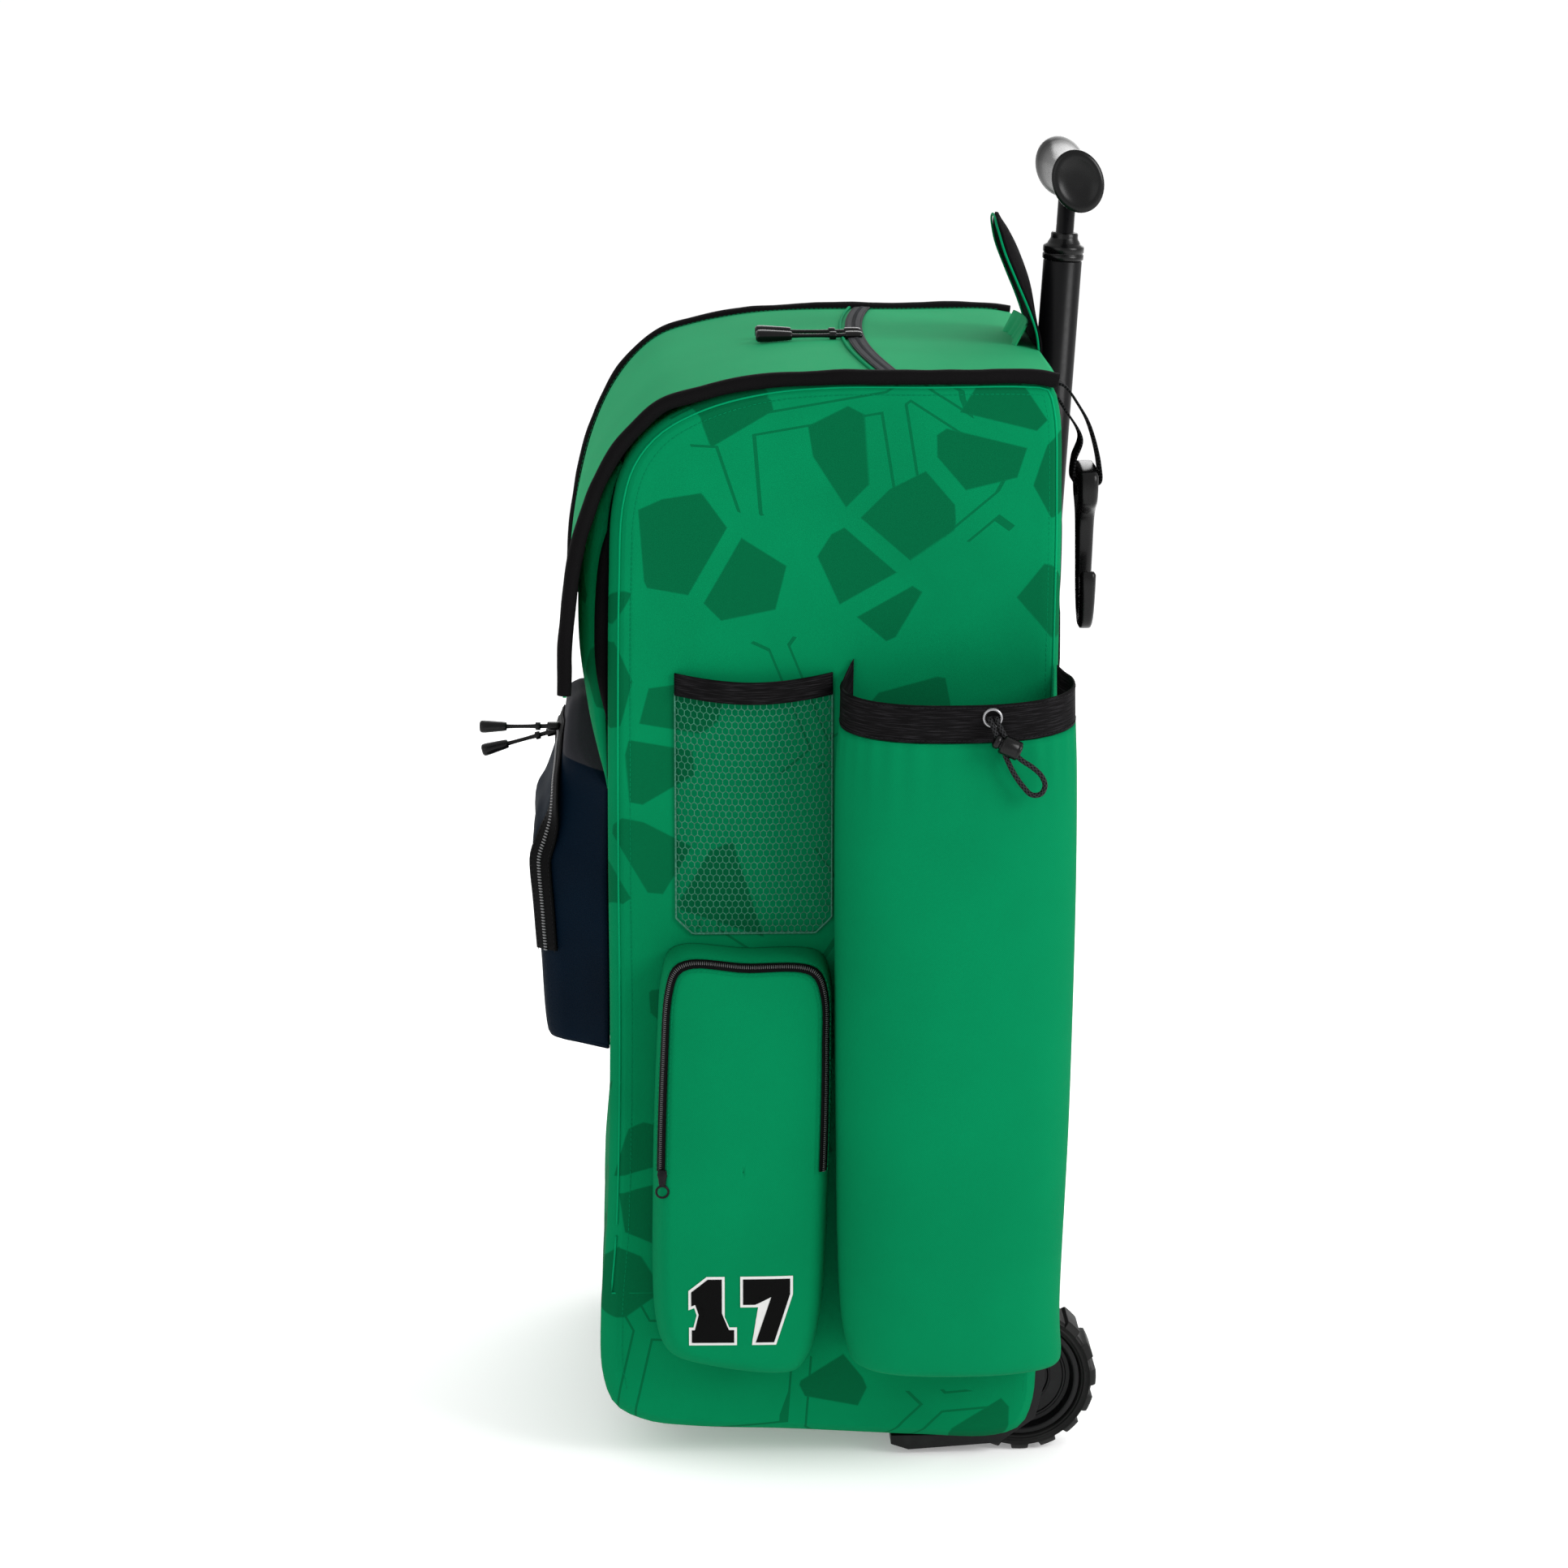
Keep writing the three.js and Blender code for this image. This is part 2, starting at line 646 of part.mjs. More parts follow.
// The room inside a front pocket of one size
const roomInside = (size) => ({
  width: size.width - 6 * CLOTH,
  height: size.height - 4 * CLOTH,
  depth: size.depth - CLOTH,
  top: size.top - 2 * CLOTH,
  sink: CLOTH,
});
const upperForm = (grow) => frontForm(UPPER_POCKET_ROWS, UPPER_POCKET_STATIONS, upperSize, grow);
function makeUpperPocket() {
  const room = frontForm(UPPER_POCKET_ROWS, UPPER_POCKET_STATIONS, roomInside(upperSize), 0);
  return offBag(upperForm(0), room);
}
add('upper_pocket', makeUpperPocket(), GREEN_PRINT);

// Gusset strips: dark tapered cloth between the upper pocket's sides and the bag
function makeGusset() {
  const rows = [
    { height: 0.04, reach: 0.1 }, { height: 0.2, reach: 0.55 }, { height: 0.42, reach: 1.0 },
    { height: 0.66, reach: 0.95 }, { height: 0.88, reach: 0.3 },
  ];
  const outline = (row, share) => {
    const z = UPPER_POCKET_TOP - UPPER_POCKET_HEIGHT * (1 - row.height);
    return [faceY(z, -1) + EDGE_ROUND - share * row.reach * (UPPER_POCKET_DEPTH - GAP), z];
  };
  const points = [...rows.map((row) => outline(row, 1)), ...rows.map((row) => outline(row, 0)).reverse()];
  const x = UPPER_POCKET_WIDTH / 2 + GAP;
  return offBag(prismAcross(points, x, x + GUSSET_WIDTH));
}
addPair('upper_gusset', makeGusset(), BLACK_CLOTH);

// Front pocket: a boxy cloth pocket with sloping sides and an arched top that slants forward
const FRONT_POCKET_ROWS = [
  { height: 0.0, swell: 0.8 },
  { height: 0.25, swell: 0.88 },
  { height: 0.61, swell: 0.99 },
  { height: 0.66, swell: 0.96 },
  { height: 0.72, swell: 0.83 },
  { height: 0.9, swell: 0.59 },
  { height: 0.97, swell: 0.54 },
  { height: 1.0, swell: 0.3 },
];
const FRONT_POCKET_STATIONS = [
  { across: 1.0, swell: 0.03, rise: 0.8 },
  { across: 0.86, swell: 0.52, rise: 0.85 },
  { across: 0.68, swell: 1.0, rise: 0.91 },
  { across: 0.3, swell: 1.0, rise: 1.0 },
];
const frontSize = {
  width: FRONT_POCKET_WIDTH,
  height: FRONT_POCKET_HEIGHT,
  depth: FRONT_POCKET_DEPTH,
  top: FRONT_POCKET_BASE + FRONT_POCKET_HEIGHT,
  sink: 0,
};
const pocketForm = (grow) => frontForm(FRONT_POCKET_ROWS, FRONT_POCKET_STATIONS, frontSize, grow);
function makeFrontPocket() {
  const room = frontForm(FRONT_POCKET_ROWS, FRONT_POCKET_STATIONS, roomInside(frontSize), 0);
  return offBag(pocketForm(0), room, upperForm(2 * GAP));
}
add('front_pocket', makeFrontPocket(), NAVY_CLOTH);

// A value read from a table between its rows, whichever way its key runs
function tableValue(rows, key, name, at) {
  const between = (a, b) => Math.min(a[key], b[key]) <= at && at <= Math.max(a[key], b[key]);
  const next = 1 + rows.slice(1).findIndex((row, i) => between(rows[i], row));
  const [a, b] = [rows[next - 1], rows[next]];
  return a[name] + ((b[name] - a[name]) * (at - a[key])) / (b[key] - a[key]);
}

// A point on the front pocket, by its share across the pocket and its height on the side outline
function frontSurface(across, height) {
  const level = Math.max(Math.abs(across), 0.3);
  const station = {
    across,
    swell: tableValue(FRONT_POCKET_STATIONS, 'across', 'swell', level),
    rise: tableValue(FRONT_POCKET_STATIONS, 'across', 'rise', level),
  };
  const row = { height, swell: tableValue(FRONT_POCKET_ROWS, 'height', 'swell', height) };
  return frontPoint(row, station, frontSize, 0);
}

// Front zip: a tape up one side of the pocket's front, over its slanted top and down the other.
// Rows give half of its run, from the middle of the top to the lower end of a leg.
const FRONT_ZIP_ROWS = [
  { across: 0.0, height: 0.87 },
  { across: 0.4, height: 0.87 },
  { across: 0.62, height: 0.86 },
  { across: 0.71, height: 0.82 },
  { across: 0.745, height: 0.74 },
  { across: 0.75, height: 0.65 },
  { across: 0.75, height: 0.45 },
  { across: 0.75, height: 0.27 },
];
function makeFrontZip() {
  const other = FRONT_ZIP_ROWS.slice(1).map((row) => ({ ...row, across: -row.across })).reverse();
  const run = [...other, ...FRONT_ZIP_ROWS];
  const points = run.map((row) => frontSurface(row.across, row.height));
  const step = 0.02;
  const frames = run.map(({ across, height }, i) => {
    const wide = frontSurface(across + step, height).sub(frontSurface(across - step, height));
    const high = frontSurface(across, height + step).sub(frontSurface(across, height - step));
    const normal = wide.cross(high).normalize();
    const along = points[Math.min(i + 1, run.length - 1)].clone().sub(points[Math.max(i - 1, 0)]);
    return {
      at: points[i].clone().addScaledVector(normal, 2 * GAP),
      side: new THREE.Vector3().crossVectors(normal, along).normalize(),
      normal,
      half: FRONT_ZIP_WIDTH / 2,
    };
  });
  return cut(strip(frames, ZIP_TAPE), pocketForm(GAP), upperForm(GAP));
}
add('front_zip', makeFrontZip(), BLACK_TAPE);

// Top zip: a bowed tape across the top of the flap
const flapTopZ = (y) => {
  const outer = flapPath.map((at, i) => at.clone().addScaledVector(flapNormals[i], CLOTH));
  const after = outer.findIndex((p) => p.y < y);
  const [a, b] = [outer[after - 1], outer[after]];
  return a.z + ((b.z - a.z) * (y - a.y)) / (b.y - a.y);
};
const topZipY = (share) => TOP_ZIP_Y + TOP_ZIP_BOW * share * share;
const TOP_ZIP_Z = 2 * GAP + Math.max(
  flapTopZ(TOP_ZIP_Y - TOP_ZIP_WIDTH),
  flapTopZ(TOP_ZIP_Y + 2 * TOP_ZIP_WIDTH),
);
function makeTopZip() {
  const reach = PIPING_X - PIPING_RADIUS - 2 * GAP;
  const frames = [-1, -0.6, -0.2, 0.2, 0.6, 1].map((share) => ({
    at: new THREE.Vector3(share * reach, topZipY(share), TOP_ZIP_Z),
    side: new THREE.Vector3(0, 1, 0),
    normal: new THREE.Vector3(0, 0, 1),
    half: TOP_ZIP_WIDTH / 2,
  }));
  return strip(frames, ZIP_TAPE);
}
add('top_zip', makeTopZip(), GREY_TAPE);

// Zip pull: a slider, a short cord and a moulded grip, in one piece along its own X axis.
// Rows give places along it and half sizes as shares of the grip's width or the cord.
const PULL_ROWS = [
  { along: 0.0, wide: 0.36, thick: 0.22 },
  { along: 0.03, wide: 0.42, thick: 0.3 },
  { along: 0.14, wide: 0.4, thick: 0.3 },
  { along: 0.17, wide: 0.16, thick: 0.16 },
  { along: 0.24, wide: 0.16, thick: 0.16 },
  { along: 0.25, wide: 0.28, thick: 0.28 },
  { along: 0.3, wide: 0.28, thick: 0.28 },
  { along: 0.31, wide: 0.16, thick: 0.16 },
  { along: 0.66, wide: 0.16, thick: 0.16 },
  { along: 0.67, wide: 0.34, thick: 0.3 },
  { along: 0.8, wide: 0.42, thick: 0.38 },
  { along: 0.96, wide: 0.5, thick: 0.44 },
  { along: 1.0, wide: 0.34, thick: 0.3 },
];
function makePull(length, sag) {
  const rings = PULL_ROWS.map((row) => Array.from({ length: 6 }, (_, j) => {
    const angle = ((j + 0.5) * Math.PI) / 3;
    const drop = sag * length * row.along * row.along;
    return new THREE.Vector3(
      row.along * length,
      PULL_GRIP_WIDTH * row.wide * Math.cos(angle),
      PULL_GRIP_WIDTH * row.thick * Math.sin(angle) - drop,
    );
  }));
  return skin(rings);
}

// The places of the zip pulls: height is the slider's on the front pocket, and 1 for the top
// ones, turn and tip are in degrees.
const PULL_REST = TOP_ZIP_Z + ZIP_TAPE + GAP + 0.3 * PULL_GRIP_WIDTH;
const PULLS = [
  { name: 'top_pull_1', x: 12, height: 1, turn: -92, tip: 0, sag: 0 },
  { name: 'top_pull_2', x: -14, height: 1, turn: -88, tip: 0, sag: 0 },
  { name: 'front_pull_1', x: 9, height: 0.89, turn: -88, tip: 0, sag: 0 },
  { name: 'front_pull_2', x: -9, height: 0.868, turn: -92, tip: 15, sag: 0.06 },
];
for (const pull of PULLS) {
  const onTop = pull.height === 1;
  const length = onTop ? TOP_PULL_LENGTH : FRONT_PULL_LENGTH;
  const mesh = add(pull.name, makePull(length, pull.sag), BLACK_PLASTIC);
  const seat = frontSurface(0, pull.height);
  const [y, z] = onTop ? [TOP_ZIP_Y + 4, PULL_REST] : [seat.y - 0.3 * PULL_GRIP_WIDTH, seat.z];
  mesh.position.set(pull.x, y, z);
  const [tip, turn] = [pull.tip, pull.turn].map(THREE.MathUtils.degToRad);
  mesh.rotation.set(0, tip, turn, 'ZYX');
}

// Bat sleeve: an open-topped cloth tube along the back of each side panel. Rows go up from its
// base: front and back are shares of half its width, out is a share of its depth.
const SLEEVE_ROWS = [
  { height: 0.0, front: 0.8, back: 0.93, out: 0.8 },
  { height: 0.02, front: 0.87, back: 0.95, out: 0.94 },
  { height: 0.09, front: 0.94, back: 0.93, out: 0.985 },
  { height: 0.4, front: 0.985, back: 0.985, out: 1.0 },
  { height: 0.75, front: 1.0, back: 1.01, out: 0.995 },
  { height: 0.93, front: 0.99, back: 1.0, out: 0.965 },
  { height: 1.0, front: 0.96, back: 0.985, out: 0.92 },
];
const SLEEVE_SIDES = 12;
const SLEEVE_SWELL = 0.65;
const SLEEVE_TUCK = Math.asin((1 - SLEEVE_SWELL) / SLEEVE_SWELL);

// One point of the sleeve's section; around runs from its front edge to its back edge
function sleevePoint(row, around, shrink) {
  const angle = -SLEEVE_TUCK + around * (Math.PI + 2 * SLEEVE_TUCK);
  const [run, rise] = [Math.cos(angle), Math.sin(angle)];
  const half = SLEEVE_WIDTH / 2 - shrink;
  const share = run > 0 ? row.front : row.back;
  const reach = SLEEVE_DEPTH * row.out;
  const swell = SLEEVE_SWELL * reach - shrink;
  return new THREE.Vector3(
    SIDE_X + (1 - SLEEVE_SWELL) * reach + swell * Math.sign(rise) * Math.abs(rise) ** 0.85,
    SLEEVE_CENTRE_Y - share * half * Math.sign(run) * Math.abs(run) ** 0.8,
    0,
  );
}
const rimDrop = (around) => SLEEVE_RIM_DIP * (Math.sin(Math.PI * around) ** 1.4 - 0.35 * around);

function sleeveArc(row, shrink, z, dip) {
  return Array.from({ length: SLEEVE_SIDES + 1 }, (_, i) => {
    const around = i / SLEEVE_SIDES;
    const point = sleevePoint(row, around, shrink);
    return point.set(Math.max(point.x, SIDE_X), point.y, z - dip * rimDrop(around));
  });
}

function makeSleeve() {
  const rings = SLEEVE_ROWS.map((row) => {
    const z = SLEEVE_BASE + row.height * SLEEVE_HEIGHT;
    const dip = row.height ** 4;
    return [...sleeveArc(row, 0, z, dip), ...sleeveArc(row, CLOTH, z, dip).reverse()];
  });
  const [low, next] = SLEEVE_ROWS;
  const floor = skin([sleeveArc(low, 0, SLEEVE_BASE, 0), sleeveArc(next, CLOTH / 2, SLEEVE_BASE + CLOTH, 0)]);
  return join(skin(rings), floor);
}
const sleeve = makeSleeve();
addPair('bat_sleeve', sleeve, GREEN_CLOTH);

// Sleeve band: wide elastic round the sleeve's rim
function makeSleeveBand() {
  const top = SLEEVE_ROWS[SLEEVE_ROWS.length - 1];
  const base = SLEEVE_BASE + SLEEVE_HEIGHT + 2 * GAP;
  const rings = Array.from({ length: SLEEVE_SIDES + 1 }, (_, i) => {
    const around = i / SLEEVE_SIDES;
    const outside = sleevePoint(top, around, 0);
    const inside = sleevePoint(top, around, ELASTIC);
    outside.x = Math.max(outside.x, SIDE_X);
    inside.x = Math.max(inside.x, SIDE_X);
    const low = base - rimDrop(around);
    const high = low + SLEEVE_BAND_HEIGHT;
    const at = (point, z) => point.clone().setZ(z);
    return [at(outside, low), at(outside, high), at(inside, high), at(inside, low)];
  });
  return skin(rings);
}
addPair('sleeve_band', makeSleeveBand(), BLACK_TAPE);

// Net pocket: a loose net on the side panel, open at the top under an elastic band
const NET_SAG = 5;
const netSpan = (u) => NET_POCKET_FRONT_Y + u * NET_POCKET_WIDTH;
const netBulge = (u, v) => NET_POCKET_BULGE * Math.sin(Math.PI * u) ** 0.7 * (1 - (1 - v) ** 3);
function makeNet() {
  const at = (u, v) => {
    const rise = v * (NET_POCKET_HEIGHT - NET_SAG * v * Math.sin(Math.PI * u));
    const z = NET_POCKET_BASE + rise;
    return new THREE.Vector3(SIDE_X + netBulge(u, v), netSpan(u), z);
  };
  return sheet(6, 6, at, () => new THREE.Vector3(1, 0, 0), NET);
}
addPair('net_pocket', makeNet(), GREEN_NET);

function makeNetBand() {
  const at = (u, v) => {
    const low = NET_POCKET_BASE + NET_POCKET_HEIGHT - NET_SAG * Math.sin(Math.PI * u) + GAP;
    return new THREE.Vector3(SIDE_X + netBulge(u, 1), netSpan(u), low + v * NET_BAND_HEIGHT);
  };
  return sheet(6, 1, at, () => new THREE.Vector3(1, 0, 0), ELASTIC);
}
addPair('net_band', makeNetBand(), BLACK_TAPE);

// Low zip pocket: a swelling cloth pocket below the net. Rows give its outline from the side,
// as shares of its width from the front and of its height, going up the back edge first.
const LOW_POCKET_ROWS = [
  { across: 0.78, height: 0.0 },
  { across: 0.86, height: 0.03 },
  { across: 0.93, height: 0.12 },
  { across: 0.98, height: 0.45 },
  { across: 1.0, height: 0.8 },
  { across: 0.99, height: 0.93 },
  { across: 0.93, height: 0.98 },
  { across: 0.5, height: 0.99 },
  { across: 0.18, height: 1.0 },
  { across: 0.1, height: 0.985 },
  { across: 0.055, height: 0.93 },
  { across: 0.03, height: 0.8 },
  { across: 0.0, height: 0.45 },
  { across: 0.01, height: 0.12 },
  { across: 0.06, height: 0.06 },
  { across: 0.14, height: 0.035 },
];
const LOW_POCKET_ROUND = 14;
const LOW_POCKET_SWELLS = [0, 0.35, 0.7, 1];
const LOW_POCKET_POINTS = 22;
const lowCurve = smooth(LOW_POCKET_ROWS.map((row) => new THREE.Vector3(
  0,
  LOW_POCKET_FRONT_Y + row.across * LOW_POCKET_WIDTH,
  LOW_POCKET_BASE + row.height * LOW_POCKET_HEIGHT,
)), true);

// A point of the pocket from one of its outline; swell is 0 at the side panel and 1 on the face
function lowPoint({ y, z }, swell, shrink) {
  const angle = (swell * Math.PI) / 2;
  const inset = shrink + LOW_POCKET_ROUND * (1 - Math.cos(angle)) ** 1.5;
  const middleY = LOW_POCKET_FRONT_Y + LOW_POCKET_WIDTH / 2;
  const middleZ = LOW_POCKET_BASE + LOW_POCKET_HEIGHT / 2;
  return new THREE.Vector3(
    SIDE_X + (LOW_POCKET_DEPTH - shrink) * Math.sin(angle),
    middleY + (y - middleY) * (1 - (2 * inset) / LOW_POCKET_WIDTH),
    middleZ + (z - middleZ) * (1 - (2 * inset) / LOW_POCKET_HEIGHT),
  );
}
function lowForm(shrink) {
  const outline = lowCurve.getPoints(LOW_POCKET_POINTS).slice(0, -1);
  const rings = LOW_POCKET_SWELLS.map((swell) => outline.map((p) => lowPoint(p, swell, shrink)));
  if (shrink > 0) {
    rings.unshift(rings[0].map((p) => p.clone().setX(SIDE_X - shrink)));
  }
  return skin(rings);
}
addPair('low_pocket', cut(lowForm(0), lowForm(CLOTH)), GREEN_CLOTH);

// Low zip: tape over the pocket's shoulder, up the back, over the top and down the front
const LOW_ZIP_SWELL = 0.72;
const LOW_ZIP_FOOT = LOW_POCKET_BASE + 0.49 * LOW_POCKET_HEIGHT;
const LOW_ZIP_STEPS = 12;
const lowTrack = lowCurve.getPoints(200).filter((p) => p.z > LOW_ZIP_FOOT);
function makeLowZip() {
  const place = (share) => lowTrack[Math.round(share * (lowTrack.length - 1))];
  const frames = Array.from({ length: LOW_ZIP_STEPS + 1 }, (_, i) => {
    const share = i / LOW_ZIP_STEPS;
    const at = lowPoint(place(share), LOW_ZIP_SWELL, 0);
    const side = lowPoint(place(share), LOW_ZIP_SWELL + 0.05, 0).sub(at).normalize();
    const [before, after] = [share - 0.02, share + 0.02].map((step) => (
      lowPoint(place(THREE.MathUtils.clamp(step, 0, 1)), LOW_ZIP_SWELL, 0)
    ));
    const normal = new THREE.Vector3().crossVectors(side, after.sub(before)).normalize();
    normal.multiplyScalar(Math.sign(normal.x));
    return { at: at.addScaledVector(normal, 2 * GAP), side, normal, half: LOW_ZIP_WIDTH / 2 };
  });
  return cut(strip(frames, ZIP_TAPE), lowForm(-GAP));
}
addPair('low_zip', makeLowZip(), BLACK_TAPE);

// Low zip slider: a small slider with a ring, below the front end of the low zip
const RING_RADIUS = 5;
const RING_THICKNESS = 1.6;
const SLIDER_LENGTH = 12;
const SLIDER_WIDTH = 6;
const SLIDER_DEPTH = 4;
function makeLowSlider() {
  const end = lowPoint(lowTrack[lowTrack.length - 1], LOW_ZIP_SWELL, 0);
  const high = end.z - 2 * GAP;
  const low = high - SLIDER_LENGTH;
  const half = SLIDER_WIDTH / 2;
  const body = block([end.x, end.y - half, low], [end.x + SLIDER_DEPTH, end.y + half, high]);
  const ring = tubeForm(RING_RADIUS, 0.6 * RING_RADIUS, 0, RING_THICKNESS, 8);
  ring.rotateZ(-Math.PI / 2);
  ring.translate(end.x + SLIDER_DEPTH - RING_THICKNESS, end.y, low - RING_RADIUS + RING_THICKNESS);
  return cut(join(body, ring), lowForm(-GAP));
}
addPair('low_slider', makeLowSlider(), BLACK_METAL);

// Grommet in the sleeve band, and the cord that runs out of it through a spring lock
const GROMMET_Y = 128;
const GROMMET_Z = SLEEVE_BASE + SLEEVE_HEIGHT + 0.4 * SLEEVE_BAND_HEIGHT;
const bandX = (y) => {
  const top = SLEEVE_ROWS[SLEEVE_ROWS.length - 1];
  const ring = sleeveArc(top, 0, 0, 0);
  const after = ring.findIndex((p) => p.y > y && p.x > SIDE_X + 0.5 * SLEEVE_DEPTH);
  const [a, b] = [ring[after - 1], ring[after]];
  return a.x + ((b.x - a.x) * (y - a.y)) / (b.y - a.y);
};
const grommetEdges = [-0.5, 0.5].map((share) => bandX(GROMMET_Y + share * GROMMET_DIAMETER));
const GROMMET_X = Math.max(...grommetEdges) + GAP;
const grommet = tubeForm(GROMMET_DIAMETER / 2, GROMMET_HOLE / 2, 0, GROMMET_THICKNESS, 10);
grommet.rotateZ(-Math.PI / 2);
grommet.translate(GROMMET_X, GROMMET_Y, GROMMET_Z);
addPair('grommet', grommet, STEEL);

// The cord's points, chosen by hand, as places back from and below the grommet
const CORD_POINTS = [
  { out: 0.6, back: -2.2, down: 0 },
  { out: 4.2, back: -1.6, down: 1.2 },
  { out: 7.2, back: 0.2, down: 5.5 },
  { out: 8, back: 3.2, down: 13 },
  { out: 8, back: 6.4, down: 20 },
  { out: 8, back: 9.4, down: 27 },
  { out: 8, back: 14, down: 36 },
  { out: 8, back: 19.6, down: 44 },
  { out: 8, back: 25.4, down: 49.6 },
  { out: 8, back: 31.4, down: 49 },
  { out: 8, back: 34, down: 43.5 },
  { out: 8, back: 31.6, down: 37 },
  { out: 8, back: 25.4, down: 31 },
  { out: 8, back: 18.6, down: 26.4 },
  { out: 8, back: 12.6, down: 20.4 },
  { out: 8, back: 8.6, down: 12.6 },
  { out: 7.2, back: 4.8, down: 5.5 },
  { out: 4.2, back: 2.6, down: 1.2 },
  { out: 0.6, back: 2.2, down: 0 },
];
const cordCurve = smooth(CORD_POINTS.map(({ out, back, down }) => (
  new THREE.Vector3(GROMMET_X + out, GROMMET_Y + back, GROMMET_Z - down)
)));
const CORD_SIDES = 8;
const CORD_STEPS = 16;
addPair('sleeve_cord', bar(cordCurve, CORD_DIAMETER / 2, CORD_SIDES, CORD_STEPS), BLACK_TAPE);

// Cord lock: a round moulded barrel that the two strands pass through
const LOCK_TURN = THREE.MathUtils.degToRad(25.8);
const LOCK_BACK = 2.4;
const LOCK_RISE = 3.2;
function makeLock() {
  const middle = CORD_POINTS[4];
  const barrel = rodForm(LOCK_DIAMETER / 2, -LOCK_LENGTH / 2, LOCK_LENGTH / 2, 10);
  barrel.rotateX(Math.PI / 2 + LOCK_TURN);
  const [y, z] = [GROMMET_Y + middle.back + LOCK_BACK, GROMMET_Z - middle.down + LOCK_RISE];
  barrel.translate(GROMMET_X + middle.out, y, z);
  return cut(barrel, bar(cordCurve, CORD_DIAMETER / 2 + 1.5 * GAP, CORD_SIDES, CORD_STEPS));
}
addPair('cord_lock', makeLock(), BLACK_PLASTIC);

// Wheel housing: side plates, arch and foot around the wheel, with holes for the axle
function makeHousing() {
  const form = prismAcross(housingOutline(0), HOUSING_INNER_X, HOUSING_OUTER_X);
  const well = [];
  for (let i = 0; i <= 12; i += 1) {
    const angle = Math.PI - (i * Math.PI) / 12;
    const [run, rise] = [Math.cos(angle), Math.sin(angle)];
    well.push([WHEEL_CENTRE_Y + ARCH_RADIUS * run, WHEEL_RADIUS + ARCH_RADIUS * rise]);
  }
  well.push([WHEEL_CENTRE_Y + ARCH_RADIUS, -WHEEL_RADIUS]);
  well.push([WHEEL_CENTRE_Y - ARCH_RADIUS, -WHEEL_RADIUS]);
  const room = prismAcross(well, HOUSING_INNER_X + HOUSING_WALL, HOUSING_OUTER_X - HOUSING_WALL);
  const hole = axleForm(AXLE_DIAMETER / 2 + AXLE_PLAY, 1.5 * WHEEL_WIDTH, 12);
  return cut(form, room, hole);
}
function axleForm(radius, half, segments) {
  const rod = rodForm(radius, -half, half, segments);
  rod.rotateZ(-Math.PI / 2);
  rod.translate(WHEEL_CENTRE_X, WHEEL_CENTRE_Y, WHEEL_RADIUS);
  return rod;
}
addPair('wheel_housing', makeHousing(), BLACK_PLASTIC);

// Axle: a steel pin through the housing with a head at each end
function makeAxle() {
  const span = (HOUSING_OUTER_X - HOUSING_INNER_X) / 2 + GAP;
  const [pin, head] = [AXLE_DIAMETER / 2, AXLE_HEAD_DIAMETER / 2];
  const tip = span + 0.6 * AXLE_HEAD;
  const half = [[0, tip], [head, tip], [head, span], [pin, span]];
  const other = half.map(([radius, at]) => [radius, -at]);
  const form = turned([...other, ...half.reverse()], 10);
  form.rotateZ(-Math.PI / 2);
  form.translate((HOUSING_OUTER_X + HOUSING_INNER_X) / 2, WHEEL_CENTRE_Y, WHEEL_RADIUS);
  return form;
}
addPair('axle', makeAxle(), STEEL);

// Wheel: a moulded hub with a dished face, and a rubber tyre with lugs. Rows give the hub's
// radius as a share of its rim and the place across it as a share of the wheel's half width.
const HUB_ROWS = [
  { radius: 0.3, across: -0.9 },
  { radius: 0.36, across: -0.4 },
  { radius: 0.86, across: -0.4 },
  { radius: 0.9, across: -0.86 },
  { radius: 1.0, across: -0.86 },
  { radius: 1.0, across: 0.86 },
  { radius: 0.9, across: 0.86 },
  { radius: 0.84, across: 0.55 },
  { radius: 0.36, across: 0.55 },
  { radius: 0.3, across: 0.9 },
];
const HUB_SIDES = 14;
function makeHub() {
  const [bore, rim, half] = [AXLE_DIAMETER / 2 + AXLE_PLAY, HUB_DIAMETER / 2, WHEEL_WIDTH / 2];
  const rows = HUB_ROWS.map((row) => [row.radius * rim, row.across * half]);
  const first = [bore, rows[0][1]];
  const form = turned([first, ...rows, [bore, rows[rows.length - 1][1]], first], HUB_SIDES);
  form.rotateZ(-Math.PI / 2);
  return form;
}

function makeTyre() {
  const [inner, half] = [HUB_DIAMETER / 2 + GAP, WHEEL_WIDTH / 2];
  const rings = [];
  for (let i = 0; i < 2 * TREAD_LUGS; i += 1) {
    const angle = (i * Math.PI) / TREAD_LUGS;
    const tread = WHEEL_RADIUS - (i % 2) * TREAD_DEPTH;
    const section = [
      [inner, -0.88 * half], [0.92 * WHEEL_RADIUS, -half], [tread, -0.8 * half],
      [tread, 0.8 * half], [0.92 * WHEEL_RADIUS, half], [inner, 0.88 * half],
    ];
    const [run, rise] = [Math.cos(angle), Math.sin(angle)];
    rings.push(section.map(([r, x]) => new THREE.Vector3(x, r * run, r * rise)));
  }
  return hoop(rings);
}

// Closed rings joined round into one hoop
function hoop(rings) {
  const sides = rings[0].length;
  const faces = [];
  for (let k = 0; k < rings.length; k += 1) {
    const next = ((k + 1) % rings.length) * sides;
    for (let j = 0; j < sides; j += 1) {
      const [a, b] = [k * sides + j, k * sides + ((j + 1) % sides)];
      const [c, d] = [next + ((j + 1) % sides), next + j];
      faces.push(a, b, c, a, c, d);
    }
  }
  return closedGeometry(rings.flat(), faces);
}

